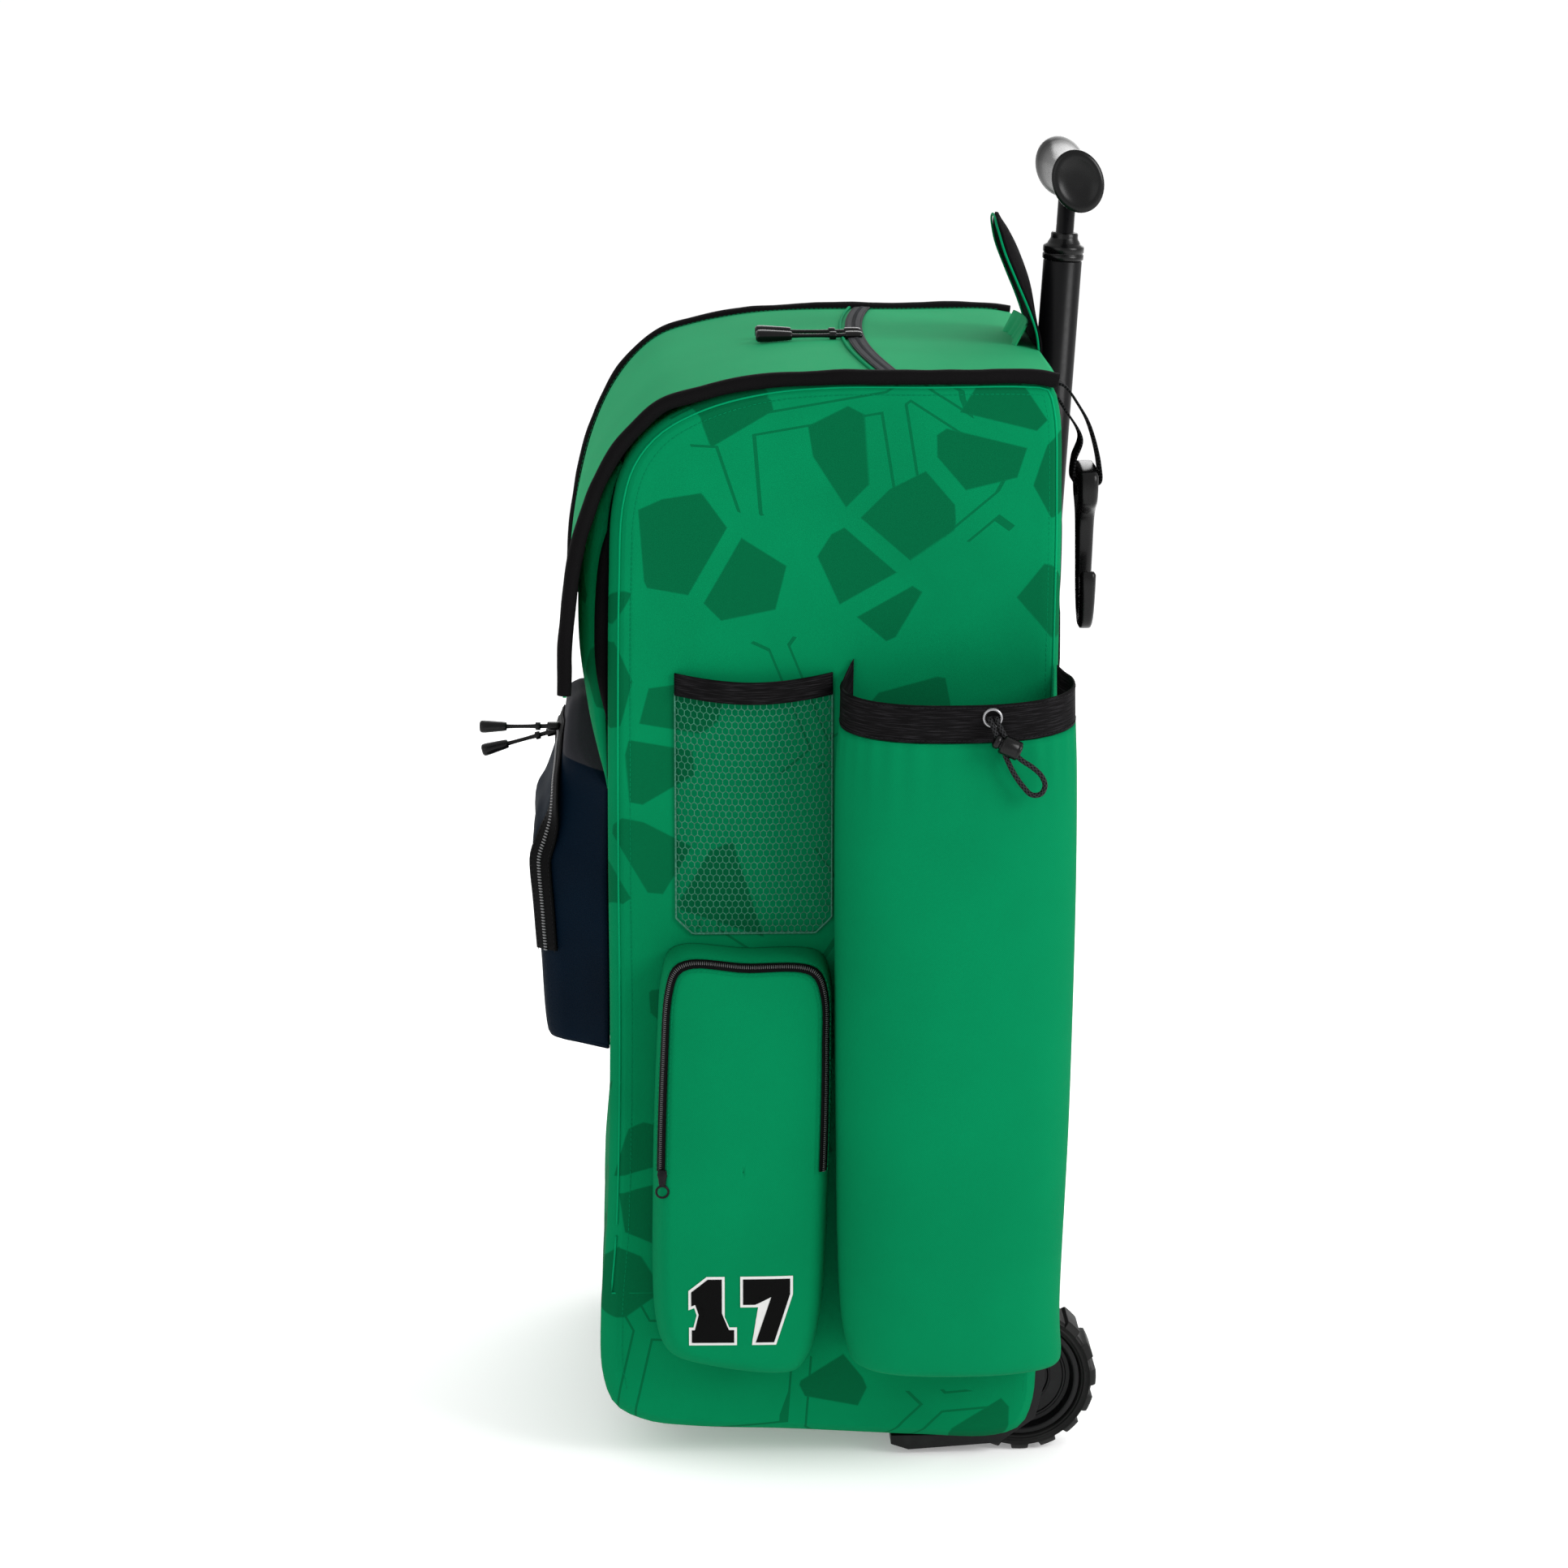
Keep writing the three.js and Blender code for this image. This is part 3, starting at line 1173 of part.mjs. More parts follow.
for (const [side, x] of [['right', WHEEL_CENTRE_X], ['left', -WHEEL_CENTRE_X]]) {
  const wheel = new THREE.Group();
  wheel.position.set(x, WHEEL_CENTRE_Y, WHEEL_RADIUS);
  bag.add(wheel);
  add(`wheel_tyre_${side}`, makeTyre(), BLACK_RUBBER, wheel);
  add(`wheel_hub_${side}`, side === 'right' ? makeHub() : mirrored(makeHub()), BLACK_PLASTIC, wheel);
}

// Base: a moulded skid under the bag with a socket for the handle tube
function makeBase() {
  const plate = block(
    [-BASE_WIDTH / 2, BASE_FRONT_Y, 0],
    [BASE_WIDTH / 2, BASE_BACK_Y, 2 * BAG_CLEARANCE],
  );
  const boss = inHandleFrame(rodForm(SOCKET_RADIUS, -HANDLE_FOOT_Z / 2, SOCKET_HEIGHT, TUBE_SIDES));
  const bore = inHandleFrame(rodForm(TUBE_RADIUS + GAP, -GAP, 2 * SOCKET_HEIGHT, TUBE_SIDES));
  return cut(join(offBag(plate), boss), bore);
}
add('base_skid', makeBase(), BLACK_PLASTIC);

// Handle: a fixed outer tube with a stepped collar, and a sliding rod with a guide inside the tube
const tubeInside = TUBE_RADIUS - TUBE_WALL;
const tube = tubeForm(TUBE_RADIUS, tubeInside, 0, TUBE_LENGTH, TUBE_SIDES);
add('handle_tube', tube, BLACK_METAL, handleFrame);

const ROD_RADIUS = ROD_DIAMETER / 2;
const COLLAR_BASE = TUBE_LENGTH + GAP;
const COLLAR_ROWS = [
  { radius: 1.06, along: 0.0 },
  { radius: 1.06, along: 0.5 },
  { radius: 0.84, along: 0.6 },
  { radius: 0.7, along: 0.8 },
  { radius: 0.7, along: 1.0 },
];
function makeCollar() {
  const bore = ROD_RADIUS + HANDLE_PLAY;
  const rows = COLLAR_ROWS.map(({ radius, along }) => (
    [radius * TUBE_RADIUS, COLLAR_BASE + along * COLLAR_LENGTH]
  ));
  const top = COLLAR_BASE + COLLAR_LENGTH;
  return turned([[bore, COLLAR_BASE], ...rows, [bore, top], [bore, COLLAR_BASE]], TUBE_SIDES);
}
add('handle_collar', makeCollar(), BLACK_PLASTIC, handleFrame);

const ROD_TOP = COLLAR_BASE + COLLAR_LENGTH + ROD_SHOWN;
const ROD_FOOT = ROD_TOP - ROD_SHOWN - ROD_HIDDEN;
const GUIDE_LENGTH = 30;
function makeRod() {
  const guide = tubeInside - HANDLE_PLAY;
  const step = ROD_FOOT + GUIDE_LENGTH;
  return turned([
    [0, ROD_FOOT], [guide, ROD_FOOT], [guide, step], [ROD_RADIUS, step], [ROD_RADIUS, ROD_TOP],
    [0, ROD_TOP],
  ], TUBE_SIDES);
}
add('handle_rod', makeRod(), BLACK_METAL, handleFrame);

// T grip: rows give places along half of it and radii between its middle and its flared end
const GRIP_ROWS = [
  { along: 0.0, flare: 0.0 },
  { along: 0.4, flare: 0.06 },
  { along: 0.7, flare: 0.36 },
  { along: 0.88, flare: 0.86 },
  { along: 0.96, flare: 1.0 },
  { along: 1.0, flare: 0.9 },
];
const GRIP_SEAT = 0.9;
const GRIP_SIDES = 14;
function makeGrip() {
  const [middle, end] = [GRIP_MIDDLE_HEIGHT / 2, GRIP_END_HEIGHT / 2];
  const half = GRIP_ROWS.map(({ along, flare }) => (
    [middle + flare * (end - middle), (along * GRIP_LENGTH) / 2]
  ));
  const other = half.slice(1).map(([radius, at]) => [radius, -at]).reverse();
  const form = turned([[0, -GRIP_LENGTH / 2], ...other, ...half, [0, GRIP_LENGTH / 2]], GRIP_SIDES);
  form.rotateZ(-Math.PI / 2);
  form.scale(1, 1, GRIP_FLATNESS);
  form.rotateX(GRIP_TURN);
  form.translate(0, ROD_TOP + GRIP_SEAT * middle, 0);
  const neck = rodForm(ROD_RADIUS + 2 * GAP, ROD_TOP - GRIP_MIDDLE_HEIGHT, ROD_TOP + GAP, TUBE_SIDES);
  return cut(form, neck);
}
add('handle_grip', makeGrip(), BLACK_PLASTIC, handleFrame);

// Handle cover: a leaf-shaped cloth flap that stands up in front of the handle tube. Rows give
// its half width, how far it leans to the front, and how far its edges curl to the front.
const COVER_ROWS = [
  { height: 0.0, wide: 0.9, lean: 0.0, curl: 0.0 },
  { height: 0.14, wide: 0.96, lean: 0.0, curl: 0.0 },
  { height: 0.31, wide: 1.0, lean: 0.05, curl: 0.3 },
  { height: 0.55, wide: 0.94, lean: 0.2, curl: 0.9 },
  { height: 0.74, wide: 0.8, lean: 0.46, curl: 1.0 },
  { height: 0.88, wide: 0.58, lean: 0.72, curl: 0.7 },
  { height: 0.966, wide: 0.3, lean: 0.93, curl: 0.3 },
  { height: 1.0, wide: 0.1, lean: 1.0, curl: 0.0 },
];
const COVER_BASE = bagZ(0.988);
const tubeFrontY = HANDLE_FOOT_Y + (COVER_BASE - HANDLE_FOOT_Z) * Math.tan(HANDLE_LEAN) - TUBE_RADIUS;
const COVER_ROOT_Y = tubeFrontY - 2 * GAP;
const coverY = (row, side, lift) => (
  COVER_ROOT_Y - lift - row.lean * COVER_LEAN - row.curl * COVER_CURL * side * side
);
function makeCover() {
  const across = [-1, -0.5, 0, 0.5, 1];
  const rings = COVER_ROWS.map((row) => {
    const z = COVER_BASE + row.height * COVER_HEIGHT;
    const at = (side, lift) => (
      new THREE.Vector3((side * row.wide * COVER_WIDTH) / 2, coverY(row, side, lift), z)
    );
    return [...across.map((side) => at(side, 0)), ...across.map((side) => at(-side, COVER_CLOTH))];
  });
  return skin(rings);
}
add('handle_cover', makeCover(), BLACK_CLOTH);

// Cover gusset: a pleated cloth web from the flap's back edge up to the cover
const COVER_GUSSET_FOLDS = 10;
const COVER_GUSSET_SLOPE = 8;
const COVER_PLEAT = 3;
function makeCoverGusset() {
  const folds = COVER_GUSSET_FOLDS;
  const base = flapTopZ(COVER_ROOT_Y - 2 * COVER_CURL) + GAP;
  const at = (u, v) => {
    const side = 2 * u - 1;
    const pleat = (Math.round(u * folds) % 2) * (1 - v);
    const front = coverY({ lean: 0.1, curl: 0.45 }, side, COVER_CLOTH + ELASTIC + GAP);
    const y = front - (1 - v) * COVER_GUSSET_SLOPE - COVER_PLEAT * pleat;
    return new THREE.Vector3(side * 0.42 * COVER_WIDTH, y, base + v * COVER_GUSSET_HEIGHT);
  };
  return sheet(folds, 2, at, () => new THREE.Vector3(0, -1, 0.2), ELASTIC);
}
add('cover_gusset', makeCoverGusset(), GREEN_CLOTH);

// Fence hook: a moulded hook with an eye for the webbing, seen edge on from the side. Rows give
// its outline as shares of its half width and its height, down the outside and up the inside.
const HOOK_ROWS = [
  { across: -0.72, down: 0.03 },
  { across: -0.6, down: 0.0 },
  { across: 0.6, down: 0.0 },
  { across: 0.72, down: 0.03 },
  { across: 0.72, down: 0.2 },
  { across: 0.24, down: 0.33 },
  { across: 0.16, down: 0.6 },
  { across: 0.16, down: 0.82 },
  { across: 0.26, down: 0.9 },
  { across: 0.48, down: 0.94 },
  { across: 0.7, down: 0.9 },
  { across: 0.82, down: 0.8 },
  { across: 0.86, down: 0.66 },
  { across: 1.12, down: 0.64 },
  { across: 1.18, down: 0.8 },
  { across: 1.02, down: 0.97 },
  { across: 0.72, down: 1.05 },
  { across: 0.3, down: 1.05 },
  { across: 0.0, down: 0.97 },
  { across: -0.16, down: 0.84 },
  { across: -0.18, down: 0.6 },
  { across: -0.28, down: 0.33 },
  { across: -0.72, down: 0.2 },
];
const HOOK_SWING = THREE.MathUtils.degToRad(-5);
const HOOK_EYE_PLAY = 1.5;
function makeHook() {
  const outline = new THREE.Shape(HOOK_ROWS.map(({ across, down }) => (
    new THREE.Vector2((across * HOOK_WIDTH) / 2, -down * HOOK_HEIGHT)
  )));
  const plate = new THREE.ExtrudeGeometry(outline, { depth: HOOK_THICKNESS, bevelEnabled: false });
  plate.translate(0, 0, -HOOK_THICKNESS / 2);
  const eye = WEBBING_WIDTH / 2 + HOOK_EYE_PLAY;
  const form = cut(plate, block([-eye, -2 * HOOK_BAR, -HOOK_THICKNESS], [eye, -HOOK_BAR, HOOK_THICKNESS]));
  form.rotateX(Math.PI / 2);
  form.rotateZ(HOOK_SWING);
  form.translate(HOOK_X, HOOK_Y, HOOK_TOP_Z);
  return form;
}
add('fence_hook', makeHook(), BLACK_PLASTIC);

// Hook webbing: a loop sewn to the bag's top back seam, passing round the hook's bar.
// Rows give places behind the bag's back face and above the hook's bar.
function makeWebbing() {
  const reach = HOOK_THICKNESS / 2 + WEBBING + 3 * GAP;
  const [highZ, lowZ] = [bagZ(0.983), bagZ(0.972)];
  const seamY = (z) => faceY(z, 1) + 2 * GAP;
  const outY = faceY(lowZ, 1) + BACK_PAD;
  const run = [
    [seamY(highZ), highZ],
    [outY, highZ - 1],
    [HOOK_Y - 0.6 * reach, bagZ(0.96)],
    [HOOK_Y + 0.2 * reach, HOOK_TOP_Z + 28],
    [HOOK_Y + reach, HOOK_TOP_Z + 2],
    [HOOK_Y + reach, HOOK_TOP_Z - HOOK_BAR - 1],
    [HOOK_Y, HOOK_TOP_Z - HOOK_BAR - 2 * GAP - WEBBING],
    [HOOK_Y - reach, HOOK_TOP_Z - HOOK_BAR - 1],
    [HOOK_Y - reach, HOOK_TOP_Z + 5],
    [HOOK_Y - 0.5 * reach, HOOK_TOP_Z + 20],
    [outY + 2, lowZ - 10],
    [outY - 4, lowZ - 1],
    [seamY(lowZ), lowZ],
  ];
  const rings = run.map(([y, z], i) => {
    const before = run[Math.max(0, i - 1)];
    const after = run[Math.min(run.length - 1, i + 1)];
    const along = new THREE.Vector2(after[0] - before[0], after[1] - before[1]).normalize();
    const [ny, nz] = [-along.y * (WEBBING / 2), along.x * (WEBBING / 2)];
    const half = WEBBING_WIDTH / 2;
    return [
      new THREE.Vector3(HOOK_X - half, y - ny, z - nz), new THREE.Vector3(HOOK_X + half, y - ny, z - nz),
      new THREE.Vector3(HOOK_X + half, y + ny, z + nz), new THREE.Vector3(HOOK_X - half, y + ny, z + nz),
    ];
  });
  return skin(rings);
}
add('hook_webbing', makeWebbing(), BLACK_TAPE);

// Low grab strap: a webbing loop across the lower back
function makeGrab() {
  const base = faceY(GRAB_Z, 1) + backPad(GRAB_Z / BAG_TOP) + GAP;
  const frames = [-1, -0.8, -0.45, 0, 0.45, 0.8, 1].map((share) => ({
    at: new THREE.Vector3((share * GRAB_LENGTH) / 2, base + GRAB_RISE * (1 - share ** 4), GRAB_Z),
    side: new THREE.Vector3(0, 0, 1),
    normal: new THREE.Vector3(0, 1, 0),
    half: GRAB_WIDTH / 2,
  }));
  return strip(frames, 2 * WEBBING);
}
add('grab_strap', makeGrab(), BLACK_TAPE);

export default bag;
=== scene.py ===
import json
import math
import bmesh
import bpy
import numpy as np
from mathutils import Matrix, Vector, noise
from mathutils.bvhtree import BVHTree


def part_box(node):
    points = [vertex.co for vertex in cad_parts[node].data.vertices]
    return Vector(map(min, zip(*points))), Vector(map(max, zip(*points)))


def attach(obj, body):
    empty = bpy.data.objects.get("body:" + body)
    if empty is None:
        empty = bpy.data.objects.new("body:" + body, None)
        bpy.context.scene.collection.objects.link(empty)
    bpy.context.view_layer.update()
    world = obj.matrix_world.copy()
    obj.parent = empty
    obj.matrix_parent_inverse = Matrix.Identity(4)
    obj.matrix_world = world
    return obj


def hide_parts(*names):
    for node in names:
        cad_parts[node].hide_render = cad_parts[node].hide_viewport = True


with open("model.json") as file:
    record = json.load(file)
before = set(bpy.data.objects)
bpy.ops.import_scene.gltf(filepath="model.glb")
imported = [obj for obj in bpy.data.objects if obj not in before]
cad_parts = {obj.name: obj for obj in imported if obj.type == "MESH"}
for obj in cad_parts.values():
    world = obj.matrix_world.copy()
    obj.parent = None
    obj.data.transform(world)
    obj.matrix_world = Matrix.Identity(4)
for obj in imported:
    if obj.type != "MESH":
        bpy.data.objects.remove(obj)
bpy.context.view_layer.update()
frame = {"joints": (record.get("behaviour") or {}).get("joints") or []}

# The photograph was taken square to the bag's right side, from a little above its middle,
# with a long lens.
CAMERA_AZIMUTH = math.radians(88.1)
CAMERA_ELEVATION = math.radians(13.2)
CAMERA_DISTANCE = 3.0
CAMERA_TARGET = Vector((0, 0, 0.4415))
CAMERA_LENS = 96.15
camera = bpy.data.objects.new("camera", bpy.data.cameras.new("camera"))
bpy.context.collection.objects.link(camera)
camera.data.lens = CAMERA_LENS
camera.location = CAMERA_TARGET + CAMERA_DISTANCE * Vector((
    math.sin(CAMERA_AZIMUTH) * math.cos(CAMERA_ELEVATION),
    -math.cos(CAMERA_AZIMUTH) * math.cos(CAMERA_ELEVATION),
    math.sin(CAMERA_ELEVATION),
))
camera.rotation_euler = (CAMERA_TARGET - camera.location).to_track_quat("-Z", "Y").to_euler()
bpy.context.scene.camera = camera
bpy.context.scene.view_settings.view_transform = "Standard"

# A studio: a pale floor that runs out of sight, a white surround, and three soft lights that
# leave hardly a shadow.
LIGHTS = (
    ("key_light", (1.5, 2.3, 1.7), 60.0, 1.4),
    ("fill_light", (2.1, -1.6, 1.4), 9.0, 1.8),
    ("back_light", (-2.2, 0.6, 1.9), 30.0, 2.0),
)
for name, place, power, size in LIGHTS:
    lamp = bpy.data.lights.new(name, "AREA")
    lamp.energy = power
    lamp.size = size
    light = bpy.data.objects.new(name, lamp)
    light.location = place
    light.rotation_euler = (CAMERA_TARGET - Vector(place)).to_track_quat("-Z", "Y").to_euler()
    bpy.context.collection.objects.link(light)
world = bpy.data.worlds.new("surround")
world.use_nodes = True
world.node_tree.nodes["Background"].inputs["Color"].default_value = (1.0, 1.0, 1.0, 1)
world.node_tree.nodes["Background"].inputs["Strength"].default_value = 0.8
bpy.context.scene.world = world

floor_mesh = bpy.data.meshes.new("floor")
floor_mesh.from_pydata([(-30, -30, 0), (30, -30, 0), (30, 30, 0), (-30, 30, 0)], [], [(0, 1, 2, 3)])
floor = bpy.data.objects.new("floor", floor_mesh)
bpy.context.collection.objects.link(floor)
floor_material = bpy.data.materials.new("pale_floor")
floor_material.use_nodes = True
floor_material.node_tree.nodes["Principled BSDF"].inputs["Base Color"].default_value = (0.96, 0.96, 0.96, 1)
floor_material.node_tree.nodes["Principled BSDF"].inputs["Emission Color"].default_value = (1.0, 1.0, 1.0, 1)
floor_material.node_tree.nodes["Principled BSDF"].inputs["Emission Strength"].default_value = 0.25
floor_material.node_tree.nodes["Principled BSDF"].inputs["Roughness"].default_value = 0.9
floor_mesh.materials.append(floor_material)

# Main compartment: one tall cloth box, sewn from a printed polyester side panel on each side and
# a band round front, top and base. The wheel wells and the handle's channel are let into it.


class Wire:
    """A socket in an expression. Arithmetic on it adds Math nodes."""

    def __init__(self, tree, socket):
        self.tree, self.socket = tree, socket

    def math(self, operation, *values):
        return add_node(self.tree, "ShaderNodeMath", {"operation": operation}, values)[0]

    def __add__(self, other):
        return self.math("ADD", self, other)

    __radd__ = __add__

    def __sub__(self, other):
        return self.math("SUBTRACT", self, other)

    def __rsub__(self, other):
        return self.math("SUBTRACT", other, self)

    def __mul__(self, other):
        return self.math("MULTIPLY", self, other)

    __rmul__ = __mul__

    def __truediv__(self, other):
        return self.math("DIVIDE", self, other)

    def __gt__(self, other):
        return self.math("GREATER_THAN", self, other)

    def __lt__(self, other):
        return self.math("LESS_THAN", self, other)

    def sin(self):
        return self.math("SINE", self)

    def step(self, low, high):
        """0 below low, 1 above high, and a smooth rise between them."""
        settings = {"interpolation_type": "SMOOTHSTEP"}
        return add_node(self.tree, "ShaderNodeMapRange", settings, (self, low, high, 0.0, 1.0))[0]


class Node:
    """A node whose output sockets are read by name or number, as wires."""

    def __init__(self, tree, node):
        self.tree, self.node = tree, node

    def __getitem__(self, key):
        return Wire(self.tree, self.node.outputs[key])


def add_node(tree, kind, settings=None, sockets=()):
    """Adds a node: first its settings, then the values or wires of its inputs."""
    node = tree.nodes.new(kind)
    for name, value in (settings or {}).items():
        if name == "stops":
            node.color_ramp.elements[0].position, node.color_ramp.elements[0].color = value[0]
            node.color_ramp.elements[1].position, node.color_ramp.elements[1].color = value[1]
        else:
            setattr(node, name, value)
    pairs = sockets.items() if isinstance(sockets, dict) else enumerate(sockets)
    for key, value in pairs:
        if isinstance(value, Wire):
            tree.links.new(value.socket, node.inputs[key])
        elif value is not None:
            node.inputs[key].default_value = value
    return Node(tree, node)


def new_finish(name, colour, rough, sockets=None, metal=0.0):
    """A material, its node tree, and its main shader ready for what varies over the surface."""
    material = bpy.data.materials.new(name)
    material.use_nodes = True
    material.diffuse_color = (*colour, 1)
    shader = material.node_tree.nodes["Principled BSDF"]
    fixed = {"Base Color": (*colour, 1), "Roughness": rough, "Metallic": metal, **(sockets or {})}
    for key, value in fixed.items():
        shader.inputs[key].default_value = value
    return material, material.node_tree, shader.inputs


def mix_colour(tree, share, first, second):
    """The first colour where share is 0, and the second where it is 1."""
    settings = {"data_type": "RGBA"}
    return add_node(tree, "ShaderNodeMix", settings, {"Factor": share, 6: first, 7: second})[2]


def connect(tree, wire, socket):
    tree.links.new(wire.socket, socket)


def woven(tree, pitch, relief):
    """The bump of a plain weave of crossing threads, from the piece's UV map in metres."""
    place = add_node(tree, "ShaderNodeUVMap")["UV"]
    split = add_node(tree, "ShaderNodeSeparateXYZ", None, (place,))
    across = (split["X"] * (2 * math.pi / pitch)).sin()
    down = (split["Y"] * (2 * math.pi / pitch)).sin()
    threads = across * down
    fuzz = add_node(tree, "ShaderNodeTexNoise", None, {"Vector": place, "Scale": 1.6 / pitch, "Detail": 2.0})
    height = threads * 0.5 + fuzz["Fac"]
    sockets = {"Strength": relief, "Distance": 0.3 * pitch, "Height": height}
    return add_node(tree, "ShaderNodeBump", None, sockets)["Normal"], fuzz["Fac"]


def cloth_finish(name, colour, rough=0.85, pitch=0.0009, relief=0.35, fade=0.1, sheen=0.0):
    """Plain woven cloth: one dye, a little uneven, with the weave in its relief."""
    material, tree, inputs = new_finish(name, colour, rough, {"Sheen Weight": sheen, "Specular IOR Level": 0.04})
    normal, fuzz = woven(tree, pitch, relief)
    place = add_node(tree, "ShaderNodeTexCoord")["Object"]
    blotch = add_node(tree, "ShaderNodeTexNoise", None, {"Vector": place, "Scale": 9.0, "Detail": 3.0})["Fac"]
    shade = blotch * 0.75 + fuzz * 0.25
    dark = tuple(c * (1 - fade) for c in colour)
    light = tuple(min(1.0, c * (1 + fade)) for c in colour)
    tint = mix_colour(tree, shade.step(0.3, 0.7), (*dark, 1), (*light, 1))
    connect(tree, tint, inputs["Base Color"])
    connect(tree, rough - 0.08 + fuzz * 0.16, inputs["Roughness"])
    connect(tree, normal, inputs["Normal"])
    return material, tree, inputs, tint


GREEN = (0.0, 0.176, 0.065)
GREEN_DARK = (0.0, 0.1, 0.036)
SHARD_SIZE = 0.052
TRACE_SIZE = 0.105
TRACE_WIDTH = 0.0016

# The print: angular shards, some of them inked darker, with thin broken traces between them.
print_cloth, tree, inputs, tint = cloth_finish("print_cloth", GREEN)
place = add_node(tree, "ShaderNodeTexCoord")["Object"]
shards = {"Vector": place, "Scale": 1 / SHARD_SIZE, "Randomness": 0.85}
shard_edge = add_node(tree, "ShaderNodeTexVoronoi", {"feature": "DISTANCE_TO_EDGE"}, shards)["Distance"]
shard_pick = add_node(tree, "ShaderNodeTexVoronoi", None, shards)["Color"]
picked = add_node(tree, "ShaderNodeSeparateColor", None, (shard_pick,))
inked = shard_edge.step(0.10, 0.125) * (picked["Red"] > 0.56)
traces = {"Vector": place, "Scale": 1 / TRACE_SIZE, "Randomness": 1.0}
trace_edge = add_node(tree, "ShaderNodeTexVoronoi", {"feature": "DISTANCE_TO_EDGE"}, traces)["Distance"]
trace_gap = add_node(tree, "ShaderNodeTexNoise", None, {"Vector": place, "Scale": 7.0, "Detail": 0.0})["Fac"]
band = TRACE_WIDTH / TRACE_SIZE
traced = (trace_edge < 0.055 + band) * (trace_edge > 0.055) * (trace_gap > 0.52)
ink = inked.math("MAXIMUM", inked, traced * 0.85)
connect(tree, mix_colour(tree, ink, tint, (*GREEN_DARK, 1)), inputs["Base Color"])


def even(points, count):
    """A line of count points, evenly spaced along a line of other points."""
    points = np.asarray(points, float)
    steps = np.linalg.norm(np.diff(points[:, :3], axis=0), axis=1)
    run = np.concatenate([[0], np.cumsum(steps)])
    at = np.linspace(0, run[-1], count)
    return np.stack([np.interp(at, run, column) for column in points.T], axis=1)


def smooth_line(knots, count, closed=False):
    """count points along a smooth line through a few knots."""
    knots = np.array(knots, float)
    if closed:
        row = np.vstack([knots[-1], knots, knots[:2]])
    else:
        row = np.vstack([2 * knots[0] - knots[1], knots, 2 * knots[-1] - knots[-2]])
    fine = []
    for a, b, c, d in zip(row, row[1:], row[2:], row[3:]):
        ab, bc, cd = (np.linalg.norm(q - p) ** 0.5 for p, q in ((a, b), (b, c), (c, d)))
        start = bc * ((b - a) / ab - (c - a) / (ab + bc) + (c - b) / bc)
        end = bc * ((c - b) / bc - (d - b) / (bc + cd) + (d - c) / cd)
        for t in np.linspace(0, 1, 16, endpoint=False):
            bend = t * t * (3 * (c - b) - 2 * start - end) + t ** 3 * (start + end - 2 * (c - b))
            fine.append(b + t * start + bend)
    fine.append(row[-2])
    return even(fine, count + 1)[:-1] if closed else even(fine, count)


def outward(line, closed=False):
    """Unit normals of a line in the YZ plane, on the left of its way up."""
    if closed:
        along = np.roll(line, -1, axis=0) - np.roll(line, 1, axis=0)
    else:
        along = np.gradient(line, axis=0)
    normal = np.stack([np.zeros(len(line)), along[:, 2], -along[:, 1]], axis=1)
    return normal / np.linalg.norm(normal, axis=1)[:, None]


def link_mesh(name, mesh):
    piece = bpy.data.objects.new(name, mesh)
    bpy.context.collection.objects.link(piece)
    return piece


def grid_piece(name, rows, closed=False, ends=False, flip=False):
    """A mesh over rows of points, each row open or closed, with UVs in metres."""
    rows = np.asarray(rows, float)
    count, width = rows.shape[:2]
    cells = width if closed else width - 1
    faces = []
    for k in range(count - 1):
        for j in range(cells):
            a, b = k * width + j, k * width + (j + 1) % width
            faces.append((a, b, b + width, a + width))
    if ends:
        faces.append(tuple(range(width))[::-1])
        faces.append(tuple((count - 1) * width + j for j in range(width)))
    if flip:
        faces = [face[::-1] for face in faces]
    mesh = bpy.data.meshes.new(name)
    mesh.from_pydata(rows.reshape(-1, 3).tolist(), [], faces)
    along = np.concatenate([[0], np.cumsum(np.linalg.norm(np.diff(rows, axis=0), axis=2).mean(axis=1))])
    ring = np.vstack([rows[count // 2], rows[count // 2][:1]]) if closed else rows[count // 2]
    across = np.concatenate([[0], np.cumsum(np.linalg.norm(np.diff(ring, axis=0), axis=1))])
    layer = mesh.uv_layers.new(name="UVMap").data
    for face in mesh.polygons:
        corners = [mesh.loops[i].vertex_index % width for i in face.loop_indices]
        wraps = closed and 0 in corners and width - 1 in corners and len(corners) == 4
        for i, j in zip(face.loop_indices, corners):
            u = across[-1] if wraps and j == 0 else across[j]
            layer[i].uv = (u, along[mesh.loops[i].vertex_index // width])
    mesh.polygons.foreach_set("use_smooth", [True] * len(mesh.polygons))
    return link_mesh(name, mesh)


def flat_uv(piece):
    """UVs in metres, laid from the side, the front or above as each face lies."""
    mesh = piece.data
    layer = (mesh.uv_layers.active or mesh.uv_layers.new(name="UVMap")).data
    for face in mesh.polygons:
        lean = max(range(3), key=lambda axis: abs(face.normal[axis]))
        u, v = ((1, 2), (0, 2), (0, 1))[lean]
        for i in face.loop_indices:
            place = mesh.vertices[mesh.loops[i].vertex_index].co
            layer[i].uv = (place[u], place[v])


def turn_out(piece, merge=0.00001):
    """Merges doubled points and turns every face of a closed piece outwards."""
    shape = bmesh.new()
    shape.from_mesh(piece.data)
    bmesh.ops.remove_doubles(shape, verts=shape.verts, dist=merge)
    bmesh.ops.recalc_face_normals(shape, faces=shape.faces)
    shape.to_mesh(piece.data)
    shape.free()
    return piece


def apply_modifiers(piece):
    """Replaces a piece's mesh by what its modifiers make of it."""
    graph = bpy.context.evaluated_depsgraph_get()
    graph.update()
    mesh = bpy.data.meshes.new_from_object(piece.evaluated_get(graph))
    piece.modifiers.clear()
    piece.data = mesh
    return piece


